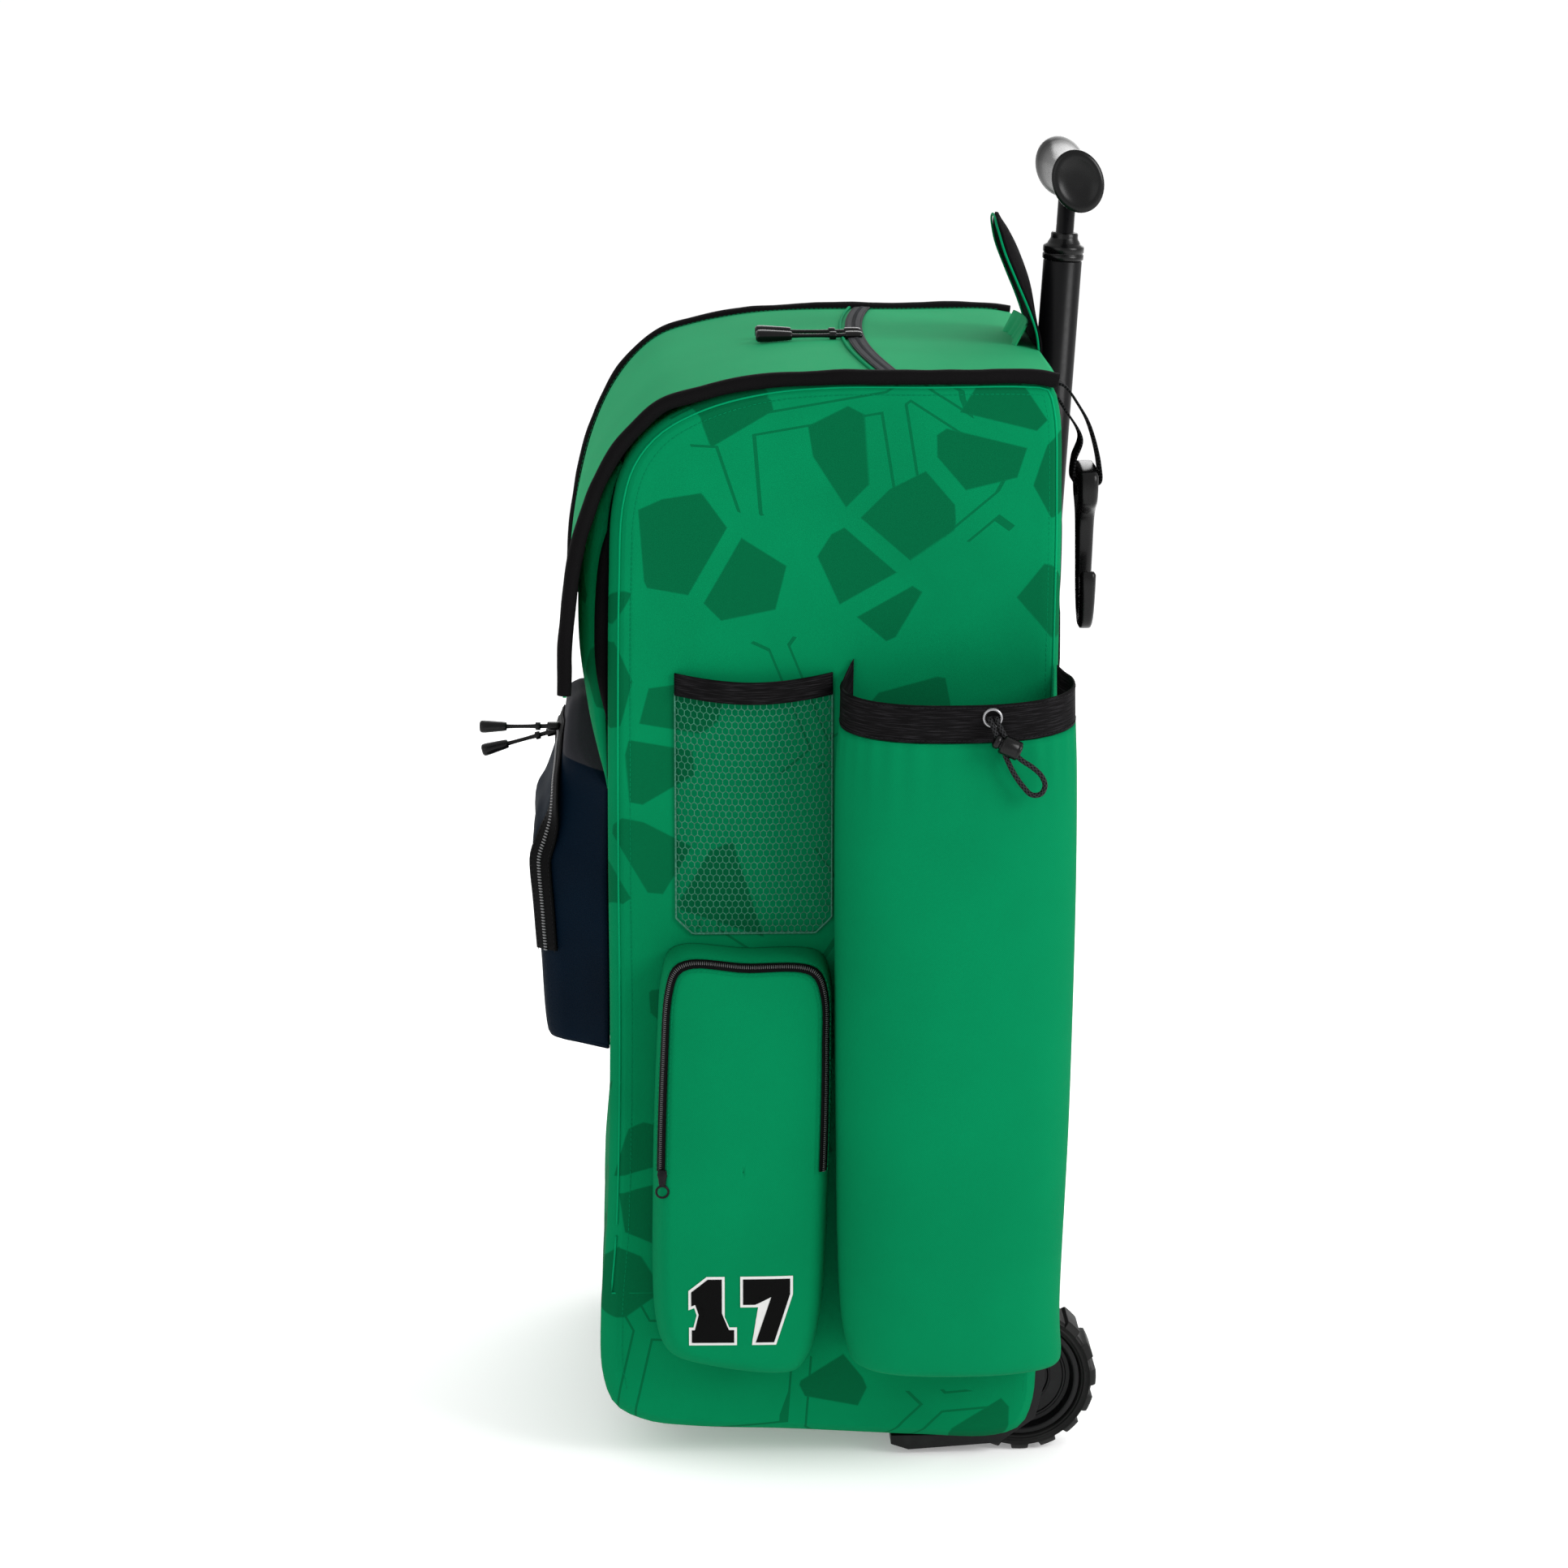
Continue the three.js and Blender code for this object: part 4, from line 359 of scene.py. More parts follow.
def cut_away(piece, *tools):
    """Cuts closed tools out of a piece, and drops them."""
    for tool in tools:
        cutter = piece.modifiers.new("cut", "BOOLEAN")
        cutter.operation = "DIFFERENCE"
        cutter.solver = "EXACT"
        cutter.object = tool
    apply_modifiers(piece)
    for tool in tools:
        bpy.data.objects.remove(tool)
    return piece


def wall(piece, thickness, offset=-1.0):
    """Gives a sheet its thickness: offset -1 inwards, 1 outwards."""
    made = piece.modifiers.new("wall", "SOLIDIFY")
    made.thickness = thickness
    made.offset = offset
    return piece


def soften(piece, width, segments=2, angle=35):
    """Rounds a piece's sharp edges and shades it smooth."""
    made = piece.modifiers.new("soft edges", "BEVEL")
    made.width = width
    made.segments = segments
    made.limit_method = "ANGLE"
    made.angle_limit = math.radians(angle)
    made.harden_normals = True
    piece.data.polygons.foreach_set("use_smooth", [True] * len(piece.data.polygons))
    return piece


def dress(piece, material, slot, body, *nodes):
    """Gives a piece its finish, hides the CAD parts it stands in for, and lets it ride on a body. The slot is not
    used.
    """
    piece.data.materials.clear()
    piece.data.materials.append(material)
    if nodes:
        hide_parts(*nodes)
    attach(piece, body)
    return piece


# Side outline of the compartment from the lower back corner up and over, as shares of its depth
# and height, and how much of its edge rounding the side panel's edge has there.
BAG_OUTLINE = (
    (0.972, 0.07, 0.6), (0.985, 0.25, 0.6), (0.992, 0.5, 0.6), (0.998, 0.75, 0.6), (1.0, 0.9, 0.6),
    (0.992, 0.975, 0.6), (0.972, 0.997, 0.6), (0.93, 1.0, 0.6), (0.72, 1.0, 0.6), (0.5, 1.0, 0.6),
    (0.36, 0.995, 0.65), (0.23, 0.982, 0.8), (0.13, 0.96, 0.9), (0.07, 0.93, 1.0), (0.042, 0.89, 1.0),
    (0.033, 0.82, 1.0), (0.028, 0.69, 1.0), (0.026, 0.56, 1.0), (0.026, 0.39, 1.0), (0.016, 0.22, 1.0),
    (0.0, 0.13, 1.0), (0.003, 0.065, 1.0), (0.03, 0.035, 0.9), (0.1, 0.019, 0.8), (0.2, 0.013, 0.7),
    (0.42, 0.009, 0.7), (0.7, 0.002, 0.7), (0.88, 0.0, 0.7), (0.94, 0.01, 0.7), (0.965, 0.035, 0.6),
)
BAG_ROUND = 0.011
BAG_SHOULDER = 0.95
BAG_DENT = 0.0012
GAP = 0.0003
CLOTH = 0.0025
bag_low, bag_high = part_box("bag_shell")
HALF_WIDTH = bag_high[0]


def bag_y(share):
    return bag_low[1] + share * (bag_high[1] - bag_low[1])


def bag_z(share):
    return bag_low[2] + share * (bag_high[2] - bag_low[2])


ROUND_SCALE = 0.001
bag_line = smooth_line([(r * ROUND_SCALE, bag_y(d), bag_z(h)) for d, h, r in BAG_OUTLINE], 240, True)
bag_out = outward(bag_line, True)
bag_round = bag_line[:, 0] / ROUND_SCALE


def face_y(z, side):
    """Where the compartment's back (side 1) or front (side -1) stands at one height."""
    near = bag_line[(np.sign(bag_out[:, 1]) == side) & (np.abs(bag_out[:, 1]) > 0.6)]
    near = near[np.argsort(near[:, 2])]
    return float(np.interp(z, near[:, 2], near[:, 1]))


def dented(points, out, depth, size, seed):
    """Points pushed in by soft dents of one depth and size."""
    moved = []
    for point, normal in zip(points, out):
        dent = 0.5 + 0.5 * noise.noise(Vector(point) / size + Vector((seed, seed, seed)))
        moved.append(np.asarray(point) - depth * dent * np.asarray(normal))
    return np.array(moved)


def bag_ring(across, inset, x=None):
    """The compartment's outline at a place across it, drawn in by an inset."""
    ring = bag_line - bag_out * (inset * bag_round[:, None])
    ring[:, 0] = across * HALF_WIDTH if x is None else x
    return ring


SPINE_LOW, SPINE_HIGH = bag_z(0.14), bag_z(0.86)
half_rings = []
edge_ring = bag_ring(1.0, BAG_ROUND)
spine = edge_ring.copy()
spine[:, 1] = (bag_low[1] + bag_high[1]) / 2
spine[:, 2] = np.clip(spine[:, 2], SPINE_LOW, SPINE_HIGH)
out_x = np.tile([1.0, 0.0, 0.0], (len(spine), 1))
for share in np.linspace(0, 1, 18)[:-1]:
    panel = spine + share * (edge_ring - spine)
    half_rings.append(dented(panel, out_x, BAG_DENT, 0.11, 3.0))
for turn in np.linspace(0, math.pi / 2, 9):
    across = BAG_SHOULDER + (1 - BAG_SHOULDER) * math.cos(turn)
    half_rings.append(bag_ring(across, BAG_ROUND * (1 - math.sin(turn) ** 1.7)))
for across in np.linspace(BAG_SHOULDER, 0, 16)[1:]:
    half_rings.append(dented(bag_ring(across, 0), bag_out, BAG_DENT, 0.09, 5.0))
other_half = [ring * (-1, 1, 1) for ring in half_rings[:-1]][::-1]
bag_cloth = turn_out(grid_piece("bag_cloth", half_rings + other_half, closed=True))
flat_uv(bag_cloth)

# The wheel wells and the handle's channel, cut out of the compartment
housing_low, housing_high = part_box("wheel_housing_right")
tyre_low, tyre_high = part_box("wheel_tyre_right")
WHEEL_X, WHEEL_Y, WHEEL_Z = ((tyre_low[i] + tyre_high[i]) / 2 for i in range(3))
WHEEL_RADIUS = (tyre_high[2] - tyre_low[2]) / 2
WHEEL_HALF = (tyre_high[0] - tyre_low[0]) / 2
HOUSING_WALL = 0.0027
ARCH_RADIUS = WHEEL_RADIUS + 0.0045
WELL_MARGIN = 0.0043


def prism(name, outline, x0, x1):
    """A closed prism across the bag from an outline of (y, z) points."""
    rings = [[(x, y, z) for y, z in outline] for x in (x0, x1)]
    return turn_out(grid_piece(name, rings, closed=True, ends=True))


def housing_outline(grow, steps=24):
    """The wheel housing's side outline, grown all round."""
    outer = ARCH_RADIUS + HOUSING_WALL + grow
    foot = housing_low[1] - grow
    under = bag_low[2] - 0.002 + grow
    back = housing_high[1] + grow
    floor_z = 0.08 * WHEEL_RADIUS - grow
    points = [(foot, under), (WHEEL_Y - outer, under), (WHEEL_Y - outer, WHEEL_Z)]
    for i in range(1, steps):
        angle = math.pi - i * math.radians(105) / steps
        points.append((WHEEL_Y + outer * math.cos(angle), WHEEL_Z + outer * math.sin(angle)))
    points += [(back, WHEEL_Z + 0.9 * outer), (back, WHEEL_Z)]
    points += [(back - 0.12 * WHEEL_RADIUS, 0.5 * WHEEL_Z), (back - 0.6 * WHEEL_RADIUS, 2 * floor_z)]
    points += [(foot + 0.0124, floor_z), (foot, 2 * floor_z)]
    return points


tube_low, tube_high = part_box("handle_tube")
TUBE_RADIUS = (tube_high[0] - tube_low[0]) / 2
HANDLE_AXIS = Vector(frame["joints"][-1]["axis"]).normalized()
for joint in frame["joints"]:
    if joint["name"] == "handle_slide":
        HANDLE_AXIS = Vector(joint["axis"]).normalized()
HANDLE_LEAN = math.atan2(HANDLE_AXIS.y, HANDLE_AXIS.z)
lean_reach = TUBE_RADIUS * math.cos(HANDLE_LEAN)
TUBE_FOOT = Vector((0, tube_low[1] + lean_reach, tube_low[2] + TUBE_RADIUS * math.sin(HANDLE_LEAN)))
TUBE_TOP = Vector((0, tube_high[1] - lean_reach, tube_high[2] - TUBE_RADIUS * math.sin(HANDLE_LEAN)))
TUBE_LENGTH = (TUBE_TOP - TUBE_FOOT).length


def turned(name, profile, origin, axis, segments=48):
    """A turned piece: (radius, height) pairs that run from the axis out and back to it, or round."""
    turn = Vector((0, 0, 1)).rotation_difference(Vector(axis)).to_matrix()
    rings = []
    for k in range(segments):
        angle = 2 * math.pi * k / segments
        ring = [Vector((r * math.cos(angle), r * math.sin(angle), h)) for r, h in profile]
        rings.append([Vector(origin) + turn @ point for point in ring])
    rings.append(rings[0])
    return turn_out(grid_piece(name, rings, closed=True), merge=0.0000001)


def wells(grow):
    """Room for both wheel housings with the heads of their axles."""
    outline = housing_outline(grow)
    x0, x1 = housing_low[0] - WELL_MARGIN, housing_high[0] + WELL_MARGIN
    return [prism("well", outline, x0, x1), prism("well", outline, -x1, -x0)]


def channel(grow):
    """Room for the handle's tube."""
    radius = TUBE_RADIUS + grow
    length = TUBE_LENGTH + 0.01
    return turned("channel", [(0, -0.004), (radius, -0.004), (radius, length), (0, length)], TUBE_FOOT, HANDLE_AXIS)


cut_away(bag_cloth, *wells(GAP), channel(GAP))
dress(bag_cloth, print_cloth, "print_cloth", "bag", "bag_shell")

# Helmet flap: one cloth sewn along the top's back edge. It lies over the top and hangs down free
# in front. Its cloth is coarser than the print, and its green is painted lighter and paler than the sides' green, a
# painted sheen of the light falling on the top.
TOP_GREEN_WITH_PAINTED_SHEEN = (0.0195, 0.31, 0.124)
FLAP_ROWS = (
    (0.985, 0.9975, 0), (0.93, 1.001, 0), (0.72, 1.001, 0), (0.5, 1.001, 0), (0.36, 0.9975, 0),
    (0.235, 0.988, 0), (0.155, 0.977, 0), (0.1, 0.959, 0), (0.045, 0.929, 0), (-0.003, 1.0, 0.4),
    (-0.036, 1.0, 0.586), (-0.057, 1.0, 0.855), (-0.06, 1.0, 1.0),
)
FLAP_DROP = 0.212
FLAP_SAG = 0.0016
# The flap's cloth: its own green, painted lighter and paler as a painted sheen of light from above.
top_cloth = cloth_finish("top_cloth", TOP_GREEN_WITH_PAINTED_SHEEN, pitch=0.0012, relief=0.5, fade=0.05)[0]
flap_knots = [(0, bag_y(d), bag_z(rise) + GAP - hang * FLAP_DROP) for d, rise, hang in FLAP_ROWS]
flap_line = smooth_line(flap_knots, 170)
flap_out = outward(flap_line)
flap_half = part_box("helmet_flap")[1][0]
flap_rows = []
for i, (point, out) in enumerate(zip(flap_line, flap_out)):
    row = []
    for share in np.linspace(-1, 1, 61):
        crown = FLAP_SAG * (1 - share ** 4)
        crease = 0.0006 * noise.noise(Vector((share * 1.7, i * 0.045, 4.0)))
        row.append(point + (share * flap_half, 0, 0) + out * max(0, crown + crease * (1 - share ** 6)))
    flap_rows.append(row)
bag_shape = bag_cloth.data
bag_faces = [tuple(face.vertices) for face in bag_shape.polygons]
bag_tree = BVHTree.FromPolygons([vertex.co[:] for vertex in bag_shape.vertices], bag_faces)


def clear_of(tree, point, out, gap, reach=0.02):
    """A point moved outwards until it stands a gap off a surface."""
    out = Vector(out).normalized()
    far = Vector(point) + out * reach
    hit = tree.ray_cast(far, -out, reach + gap)[0]
    return Vector(point) if hit is None else hit + out * gap


FLAP_GAP = 0.0007
flap_rows = [[clear_of(bag_tree, point, out, FLAP_GAP) for point in row] for row, out in zip(flap_rows, flap_out)]
flap_cloth = grid_piece("flap_cloth", flap_rows, flip=True)
wall(flap_cloth, CLOTH, 1.0)
dress(flap_cloth, top_cloth, "top_cloth", "bag", "helmet_flap")

# Flap piping: a filler cord in black binding, sewn round the flap's two side edges. Its hand-sewn
# cord isn't quite even, and it kinks a little at the front corner.
BLACK = (0.0031, 0.0028, 0.0031)
PIPING_RADIUS = 0.005
PIPING_KINK = 0.0009
binding_tape = cloth_finish("binding_tape", BLACK, rough=0.62, pitch=0.0011, relief=0.6, fade=0.35, sheen=0.0)[0]


def frames_along(line, first_side):
    """Side and top directions along a line, carried on without twist."""
    along = np.gradient(np.asarray(line, float), axis=0)
    along /= np.linalg.norm(along, axis=1)[:, None]
    side = np.asarray(first_side, float)
    sides, tops = [], []
    for step in along:
        side = side - step * side.dot(step)
        side = side / np.linalg.norm(side)
        sides.append(side)
        tops.append(np.cross(step, side))
    return along, np.array(sides), np.array(tops)


def tube_piece(name, line, radii, sides=16, first_side=(1, 0, 0), flat=1.0):
    """A round bar along a line, with one radius for each of its points, closed at both ends."""
    line = np.asarray(line, float)
    radii = np.broadcast_to(radii, len(line))
    along, side, top = frames_along(line, first_side)
    rows = []
    for k, radius in enumerate(radii):
        turn = np.linspace(0, 2 * math.pi, sides, endpoint=False)
        ring = np.outer(np.cos(turn), side[k]) + flat * np.outer(np.sin(turn), top[k])
        rows.append(line[k] + radius * ring)
    return turn_out(grid_piece(name, rows, closed=True, ends=True))


piping_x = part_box("flap_piping_right")[1][0] - PIPING_RADIUS
for side, word in ((1, "right"), (-1, "left")):
    line, radii = [], []
    for i, (point, out) in enumerate(zip(flap_line, flap_out)):
        seed = Vector((0.11 * i, 7.0 * side, 0.3))
        kink = PIPING_KINK * Vector(noise.noise_vector(seed))
        line.append(point + out * (0.5 * CLOTH + 2 * GAP) + (side * piping_x, 0, 0) + np.array((0, kink.y, kink.z)))
        radii.append(PIPING_RADIUS * (1 + 0.07 * noise.noise(seed * 2)))
    name = f"flap_piping_{word}"
    piping = tube_piece(f"piping_{word}", even(smooth_line(line[::2], 260), 260), even(np.array(radii)[:, None], 260)[:, 0])
    dress(piping, binding_tape, "black_tape", "bag", name)

# Top zip: a grey tape sewn across the flap, bowed to the back, with the slider's coil under it
# showing as a fine ridge. A narrow fold of green cloth runs along its front.
GREY = (0.0315, 0.033, 0.037)
TOP_ZIP_Y = 0.05
TOP_ZIP_BOW = 0.014
TOP_ZIP_HALF = 0.006
TAPE = 0.001
grey_tape = cloth_finish("grey_tape", GREY, rough=0.7, pitch=0.0009, relief=0.7, fade=0.15, sheen=0.0)[0]
# A lighter green: the cloth of the zip's fold and the cover's line, and on the panel welts a painted highlight.
fold_green_and_highlight = cloth_finish("fold_green_and_highlight", (0.0, 0.235, 0.092), pitch=0.0008)[0]


def repeat_along(name, line, facing, item, spacing, material, size=1.0):
    """Copies of a small item along a line, turned along it and to face out, as one plain mesh."""
    mesh = bpy.data.meshes.new(name)
    mesh.from_pydata(np.asarray(line).tolist(), [(i, i + 1) for i in range(len(line) - 1)], [])
    faces_out = mesh.attributes.new("facing", "FLOAT_VECTOR", "POINT")
    faces_out.data.foreach_set("vector", np.asarray(facing, float).ravel())
    piece = link_mesh(name, mesh)
    tree = bpy.data.node_groups.new(name, "GeometryNodeTree")
    tree.interface.new_socket("Geometry", in_out="INPUT", socket_type="NodeSocketGeometry")
    for socket, kind in (("Spacing", "NodeSocketFloat"), ("Item", "NodeSocketObject"), ("Size", "NodeSocketFloat")):
        tree.interface.new_socket(socket, in_out="INPUT", socket_type=kind)
    tree.interface.new_socket("Geometry", in_out="OUTPUT", socket_type="NodeSocketGeometry")
    given = add_node(tree, "NodeGroupInput")
    curve = add_node(tree, "GeometryNodeMeshToCurve", None, (given["Geometry"],))[0]
    points = add_node(tree, "GeometryNodeCurveToPoints", {"mode": "LENGTH"}, {"Curve": curve, "Length": given["Spacing"]})
    facing_wire = add_node(tree, "GeometryNodeInputNamedAttribute", {"data_type": "FLOAT_VECTOR"}, {"Name": "facing"})[0]
    turn = add_node(tree, "FunctionNodeAlignRotationToVector", {"axis": "X"}, {"Vector": points["Tangent"]})[0]
    settings = {"axis": "Z", "pivot_axis": "X"}
    turn = add_node(tree, "FunctionNodeAlignRotationToVector", settings, {"Rotation": turn, "Vector": facing_wire})[0]
    shape = add_node(tree, "GeometryNodeObjectInfo", {"transform_space": "ORIGINAL"}, {"Object": given["Item"]})["Geometry"]
    sockets = {"Points": points["Points"], "Instance": shape, "Rotation": turn, "Scale": given["Size"]}
    copies = add_node(tree, "GeometryNodeInstanceOnPoints", None, sockets)[0]
    real = add_node(tree, "GeometryNodeRealizeInstances", None, (copies,))[0]
    done = add_node(tree, "GeometryNodeSetMaterial", None, {"Geometry": real, "Material": material})[0]
    add_node(tree, "NodeGroupOutput", None, (done,))
    made = piece.modifiers.new("repeat", "NODES")
    made.node_group = tree
    keys = {socket.name: socket.identifier for socket in tree.interface.items_tree if socket.in_out == "INPUT"}
    made[keys["Spacing"]] = spacing
    made[keys["Item"]] = item
    made[keys["Size"]] = size
    apply_modifiers(piece)
    bpy.data.node_groups.remove(tree)
    return piece


def bead(name, length, width, height, sides=6):
    """A small rounded bead that lies along X and stands on Z = 0, kept out of the render."""
    rows = []
    for at, share in ((-0.5, 0.35), (-0.32, 0.9), (0.32, 0.9), (0.5, 0.35)):
        turn = np.linspace(0, 2 * math.pi, sides, endpoint=False)
        ring = np.stack([np.full(sides, at * length), 0.5 * width * share * np.cos(turn), 0.5 * height * share * np.sin(turn)], axis=1)
        rows.append(ring)
    piece = turn_out(grid_piece(name, rows, closed=True, ends=True))
    piece.hide_render = True
    return piece


def ribbon(name, line, across, facing, half, thickness, cells=6, crown=0.0):
    """A flat tape along a line: across is its width's direction and facing its outer side."""
    rows = []
    for share in np.linspace(-1, 1, cells + 1):
        rise = np.asarray(facing, float) * crown * (1 - share * share)
        rows.append(np.asarray(line) + np.asarray(across, float) * (share * half) + rise)
    tape = grid_piece(name, np.swapaxes(np.array(rows), 0, 1))
    middle = tape.data.polygons[len(tape.data.polygons) // 2]
    if middle.normal.dot(Vector(np.asarray(facing).reshape(-1, 3)[len(rows[0]) // 2 % len(np.asarray(facing).reshape(-1, 3))])) < 0:
        tape.data.flip_normals()
    wall(tape, thickness, 1.0)
    return tape


zip_low, zip_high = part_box("top_zip")
zip_shares = np.linspace(-1, 1, 60)
zip_line = np.stack([
    zip_shares * (zip_high[0] - 0.0004),
    TOP_ZIP_Y + TOP_ZIP_BOW * zip_shares ** 2,
    zip_low[2] + FLAP_SAG * (1 - zip_shares ** 4) + 0.0004,
], axis=1)
up = np.tile([0.0, 0.0, 1.0], (60, 1))
zip_across = np.tile([0.0, 1.0, 0.0], (60, 1))
top_zip = ribbon("top_zip_tape", zip_line, zip_across, up, TOP_ZIP_HALF, TAPE, crown=0.0003)
dress(top_zip, grey_tape, "grey_tape", "bag", "top_zip")
coil_bead = bead("coil_bead", 0.0007, 0.0034, 0.0011)
coil = repeat_along("top_zip_coil", zip_line + (0, 0, TAPE + 0.0002), up, coil_bead, 0.0012, grey_tape)
dress(coil, grey_tape, "grey_tape", "bag")
fold_line = zip_line + (0, -TOP_ZIP_HALF - 0.0035, 0.0006)
dress(tube_piece("top_zip_fold", fold_line, 0.0011, 8), fold_green_and_highlight, "top_cloth", "bag")

# Stitching: a lockstitch in one colour of thread, used wherever two cloths are sewn together.
STITCH_PITCH = 0.0034
stitch_bead = bead("stitch_bead", 0.0026, 0.0006, 0.0005)
green_thread = cloth_finish("green_thread", (0.0, 0.17, 0.066), pitch=0.0004)[0]
black_thread = cloth_finish("black_thread", (0.012, 0.012, 0.013), rough=0.6, pitch=0.0004)[0]


def stitch(name, line, facing, material=None, slot="print_cloth"):
    """A row of stitches that lies on a surface."""
    row = repeat_along(name, line, facing, stitch_bead, STITCH_PITCH, material or green_thread)
    return dress(row, material or green_thread, slot, "bag")


for sign, word in ((-1, "front"), (1, "back")):
    edge = zip_line + (0, sign * (TOP_ZIP_HALF - 0.0012), TAPE + 0.0001)
    stitch(f"top_zip_stitch_{word}", edge, up, black_thread, "grey_tape")
seam_line = flap_line[4:150] + flap_out[4:150] * (CLOTH + 0.0011)
for side, word in ((1, "right"), (-1, "left")):
    stitch(f"flap_stitch_{word}", seam_line + (side * (flap_half - 0.006), 0, 0), flap_out[4:150], green_thread, "top_cloth")
    panel_line = bag_ring(1.0, BAG_ROUND + 0.004, x=side * (HALF_WIDTH - 0.0002))
    panel_line = panel_line[bag_line[:, 2] > 0.05]
    first = int(np.argmax(np.linalg.norm(np.diff(panel_line, axis=0), axis=1))) + 1
    panel_line = np.roll(panel_line, -first, axis=0)
    stitch(f"panel_stitch_{word}", panel_line, np.tile([float(side), 0.0, 0.0], (len(panel_line), 1)))
    # The welt along each side panel's edge is dressed in the lighter green, a painted highlight along the seam.
    welt_line = bag_ring(1.0, BAG_ROUND * 0.62, x=side * (HALF_WIDTH - 0.0011))
    welt_line = welt_line[bag_line[:, 2] > 0.12]
    first = int(np.argmax(np.linalg.norm(np.diff(welt_line, axis=0), axis=1))) + 1
    welt = tube_piece(f"panel_welt_{word}", np.roll(welt_line, -first, axis=0), 0.0007, 8)
    dress(welt, fold_green_and_highlight, "print_cloth", "bag")

# Upper pocket: a shallow pocket under the flap, cut from the print with dark cloth let into its
# two sides.
UPPER_ROWS = ((0, 0), (0.1, 0.3), (0.25, 0.68), (0.45, 0.98), (0.62, 0.98), (0.8, 0.72), (0.92, 0.4), (1.0, 0.0))
UPPER_STATIONS = ((0.0, 1.04, 1.0), (0.45, 1.04, 1.0), (0.86, 0.95, 1.0), (0.97, 0.65, 1.0), (1.0, 0.1, 1.0))
UPPER_DEPTH = 0.02
upper_low, upper_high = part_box("upper_pocket")


def pocket_point(across, height, swell, rise, low, high, depth):
    """A point of a front pocket. across, height and swell are shares of its size."""
    z = high[2] - (high[2] - low[2]) * (1 - height * rise)
    return (across * high[0], face_y(z, -1) - 2 * GAP - max(swell, 0.0) * depth, z)


def pocket_rows(rows, stations, low, high, depth, dents=0.0):
    """The surface of a front pocket, from the rows of its side outline and its stations across."""
    profile = smooth_line([(0, h, s) for h, s in rows], 90)
    across = np.linspace(-1, 1, 97)
    table = smooth_line(stations, 60)
    out = []
    for _, height, swell in profile:
        line = []
        for share in across:
            station, rise = (np.interp(abs(share), table[:, 0], table[:, k]) for k in (1, 2))
            dent = dents * noise.noise(Vector((share * 2.2, height * 3.1, 11.0))) * station
            line.append(pocket_point(share, height, swell * station + dent / depth * min(1, 4 * swell), rise, low, high, depth))
        out.append(line)
    return out


upper_pocket = grid_piece("upper_pocket_cloth", pocket_rows(UPPER_ROWS, UPPER_STATIONS, upper_low, upper_high, UPPER_DEPTH, 0.0015))
wall(upper_pocket, CLOTH)
flat_uv(upper_pocket)
dress(upper_pocket, print_cloth, "print_cloth", "bag", "upper_pocket")

black_cloth = cloth_finish("black_cloth", (0.0032, 0.0027, 0.0032), rough=0.8, pitch=0.0009, relief=0.5, fade=0.4, sheen=0.0)[0]
GUSSET_ROWS = ((0.04, 0.1), (0.2, 0.55), (0.42, 1.0), (0.66, 0.95), (0.88, 0.3))
for side, word in ((1, "right"), (-1, "left")):
    gusset_low, gusset_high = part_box(f"upper_gusset_{word}")
    reach = smooth_line([(0, h, r) for h, r in GUSSET_ROWS], 40)
    near, far = sorted((gusset_low[0], gusset_high[0]), key=abs)
    rows = []
    for _, height, share in reach:
        z = upper_high[2] - (upper_high[2] - upper_low[2]) * (1 - height)
        y = face_y(z, -1) - GAP
        front = min(y - 0.0004, y + 0.011 - share * 0.0197)
        rows.append([(near, y, z), (near, front, z), (near + 0.6 * (far - near), front + 0.0003, z), (far, 0.5 * (front + y), z), (far, y, z)])
    gusset = turn_out(grid_piece(f"gusset_{word}", rows, closed=True, ends=True))
    flat_uv(gusset)
    dress(gusset, black_cloth, "black_cloth", "bag", f"upper_gusset_{word}")

# Front pocket: a boxy pocket in coated navy cloth, its leaning top painted grey as a painted highlight
# where it catches light from above. A wide black zip arches up one side of its face, over the top and down the other.
FRONT_ROWS = (
    (0, 0), (0.0, 0.4), (0.0, 0.74), (0.006, 0.8), (0.25, 0.88), (0.45, 0.945), (0.6, 0.985), (0.66, 0.96), (0.72, 0.83),
    (0.81, 0.7), (0.9, 0.59), (0.97, 0.54), (0.995, 0.42), (1.0, 0.3), (1.0, 0.0),
)
FRONT_STATIONS = ((0.0, 1.0, 1.0), (0.3, 1.0, 1.0), (0.5, 1.0, 0.96), (0.68, 0.98, 0.91), (0.78, 0.8, 0.875), (0.86, 0.52, 0.85), (1.0, 0.03, 0.8))
FRONT_DEPTH = 0.054
PAINTED_LIGHT_Z = 0.479
NAVY = (0.0002, 0.0045, 0.0115)
front_low, front_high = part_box("front_pocket")
navy_cloth, tree, inputs, tint = cloth_finish("navy_cloth", NAVY, rough=0.62, pitch=0.001, relief=0.4, fade=0.25, sheen=0.0)
place = add_node(tree, "ShaderNodeSeparateXYZ", None, (add_node(tree, "ShaderNodeTexCoord")["Object"],))
# Painted highlight: above a leaning line the pocket's top is mixed to grey, standing for light falling on it from
# above.
painted_light_on_top = (place["Z"] + place["Y"] * 0.22).step(PAINTED_LIGHT_Z - 0.0315, PAINTED_LIGHT_Z - 0.0305)
connect(tree, mix_colour(tree, painted_light_on_top, tint, (0.026, 0.026, 0.031, 1)), inputs["Base Color"])
front_surface = pocket_rows(FRONT_ROWS, FRONT_STATIONS, front_low, front_high, FRONT_DEPTH, 0.0016)
front_pocket = grid_piece("front_pocket_cloth", front_surface)
wall(front_pocket, CLOTH)
flat_uv(front_pocket)
dress(front_pocket, navy_cloth, "navy_cloth", "bag", "front_pocket")


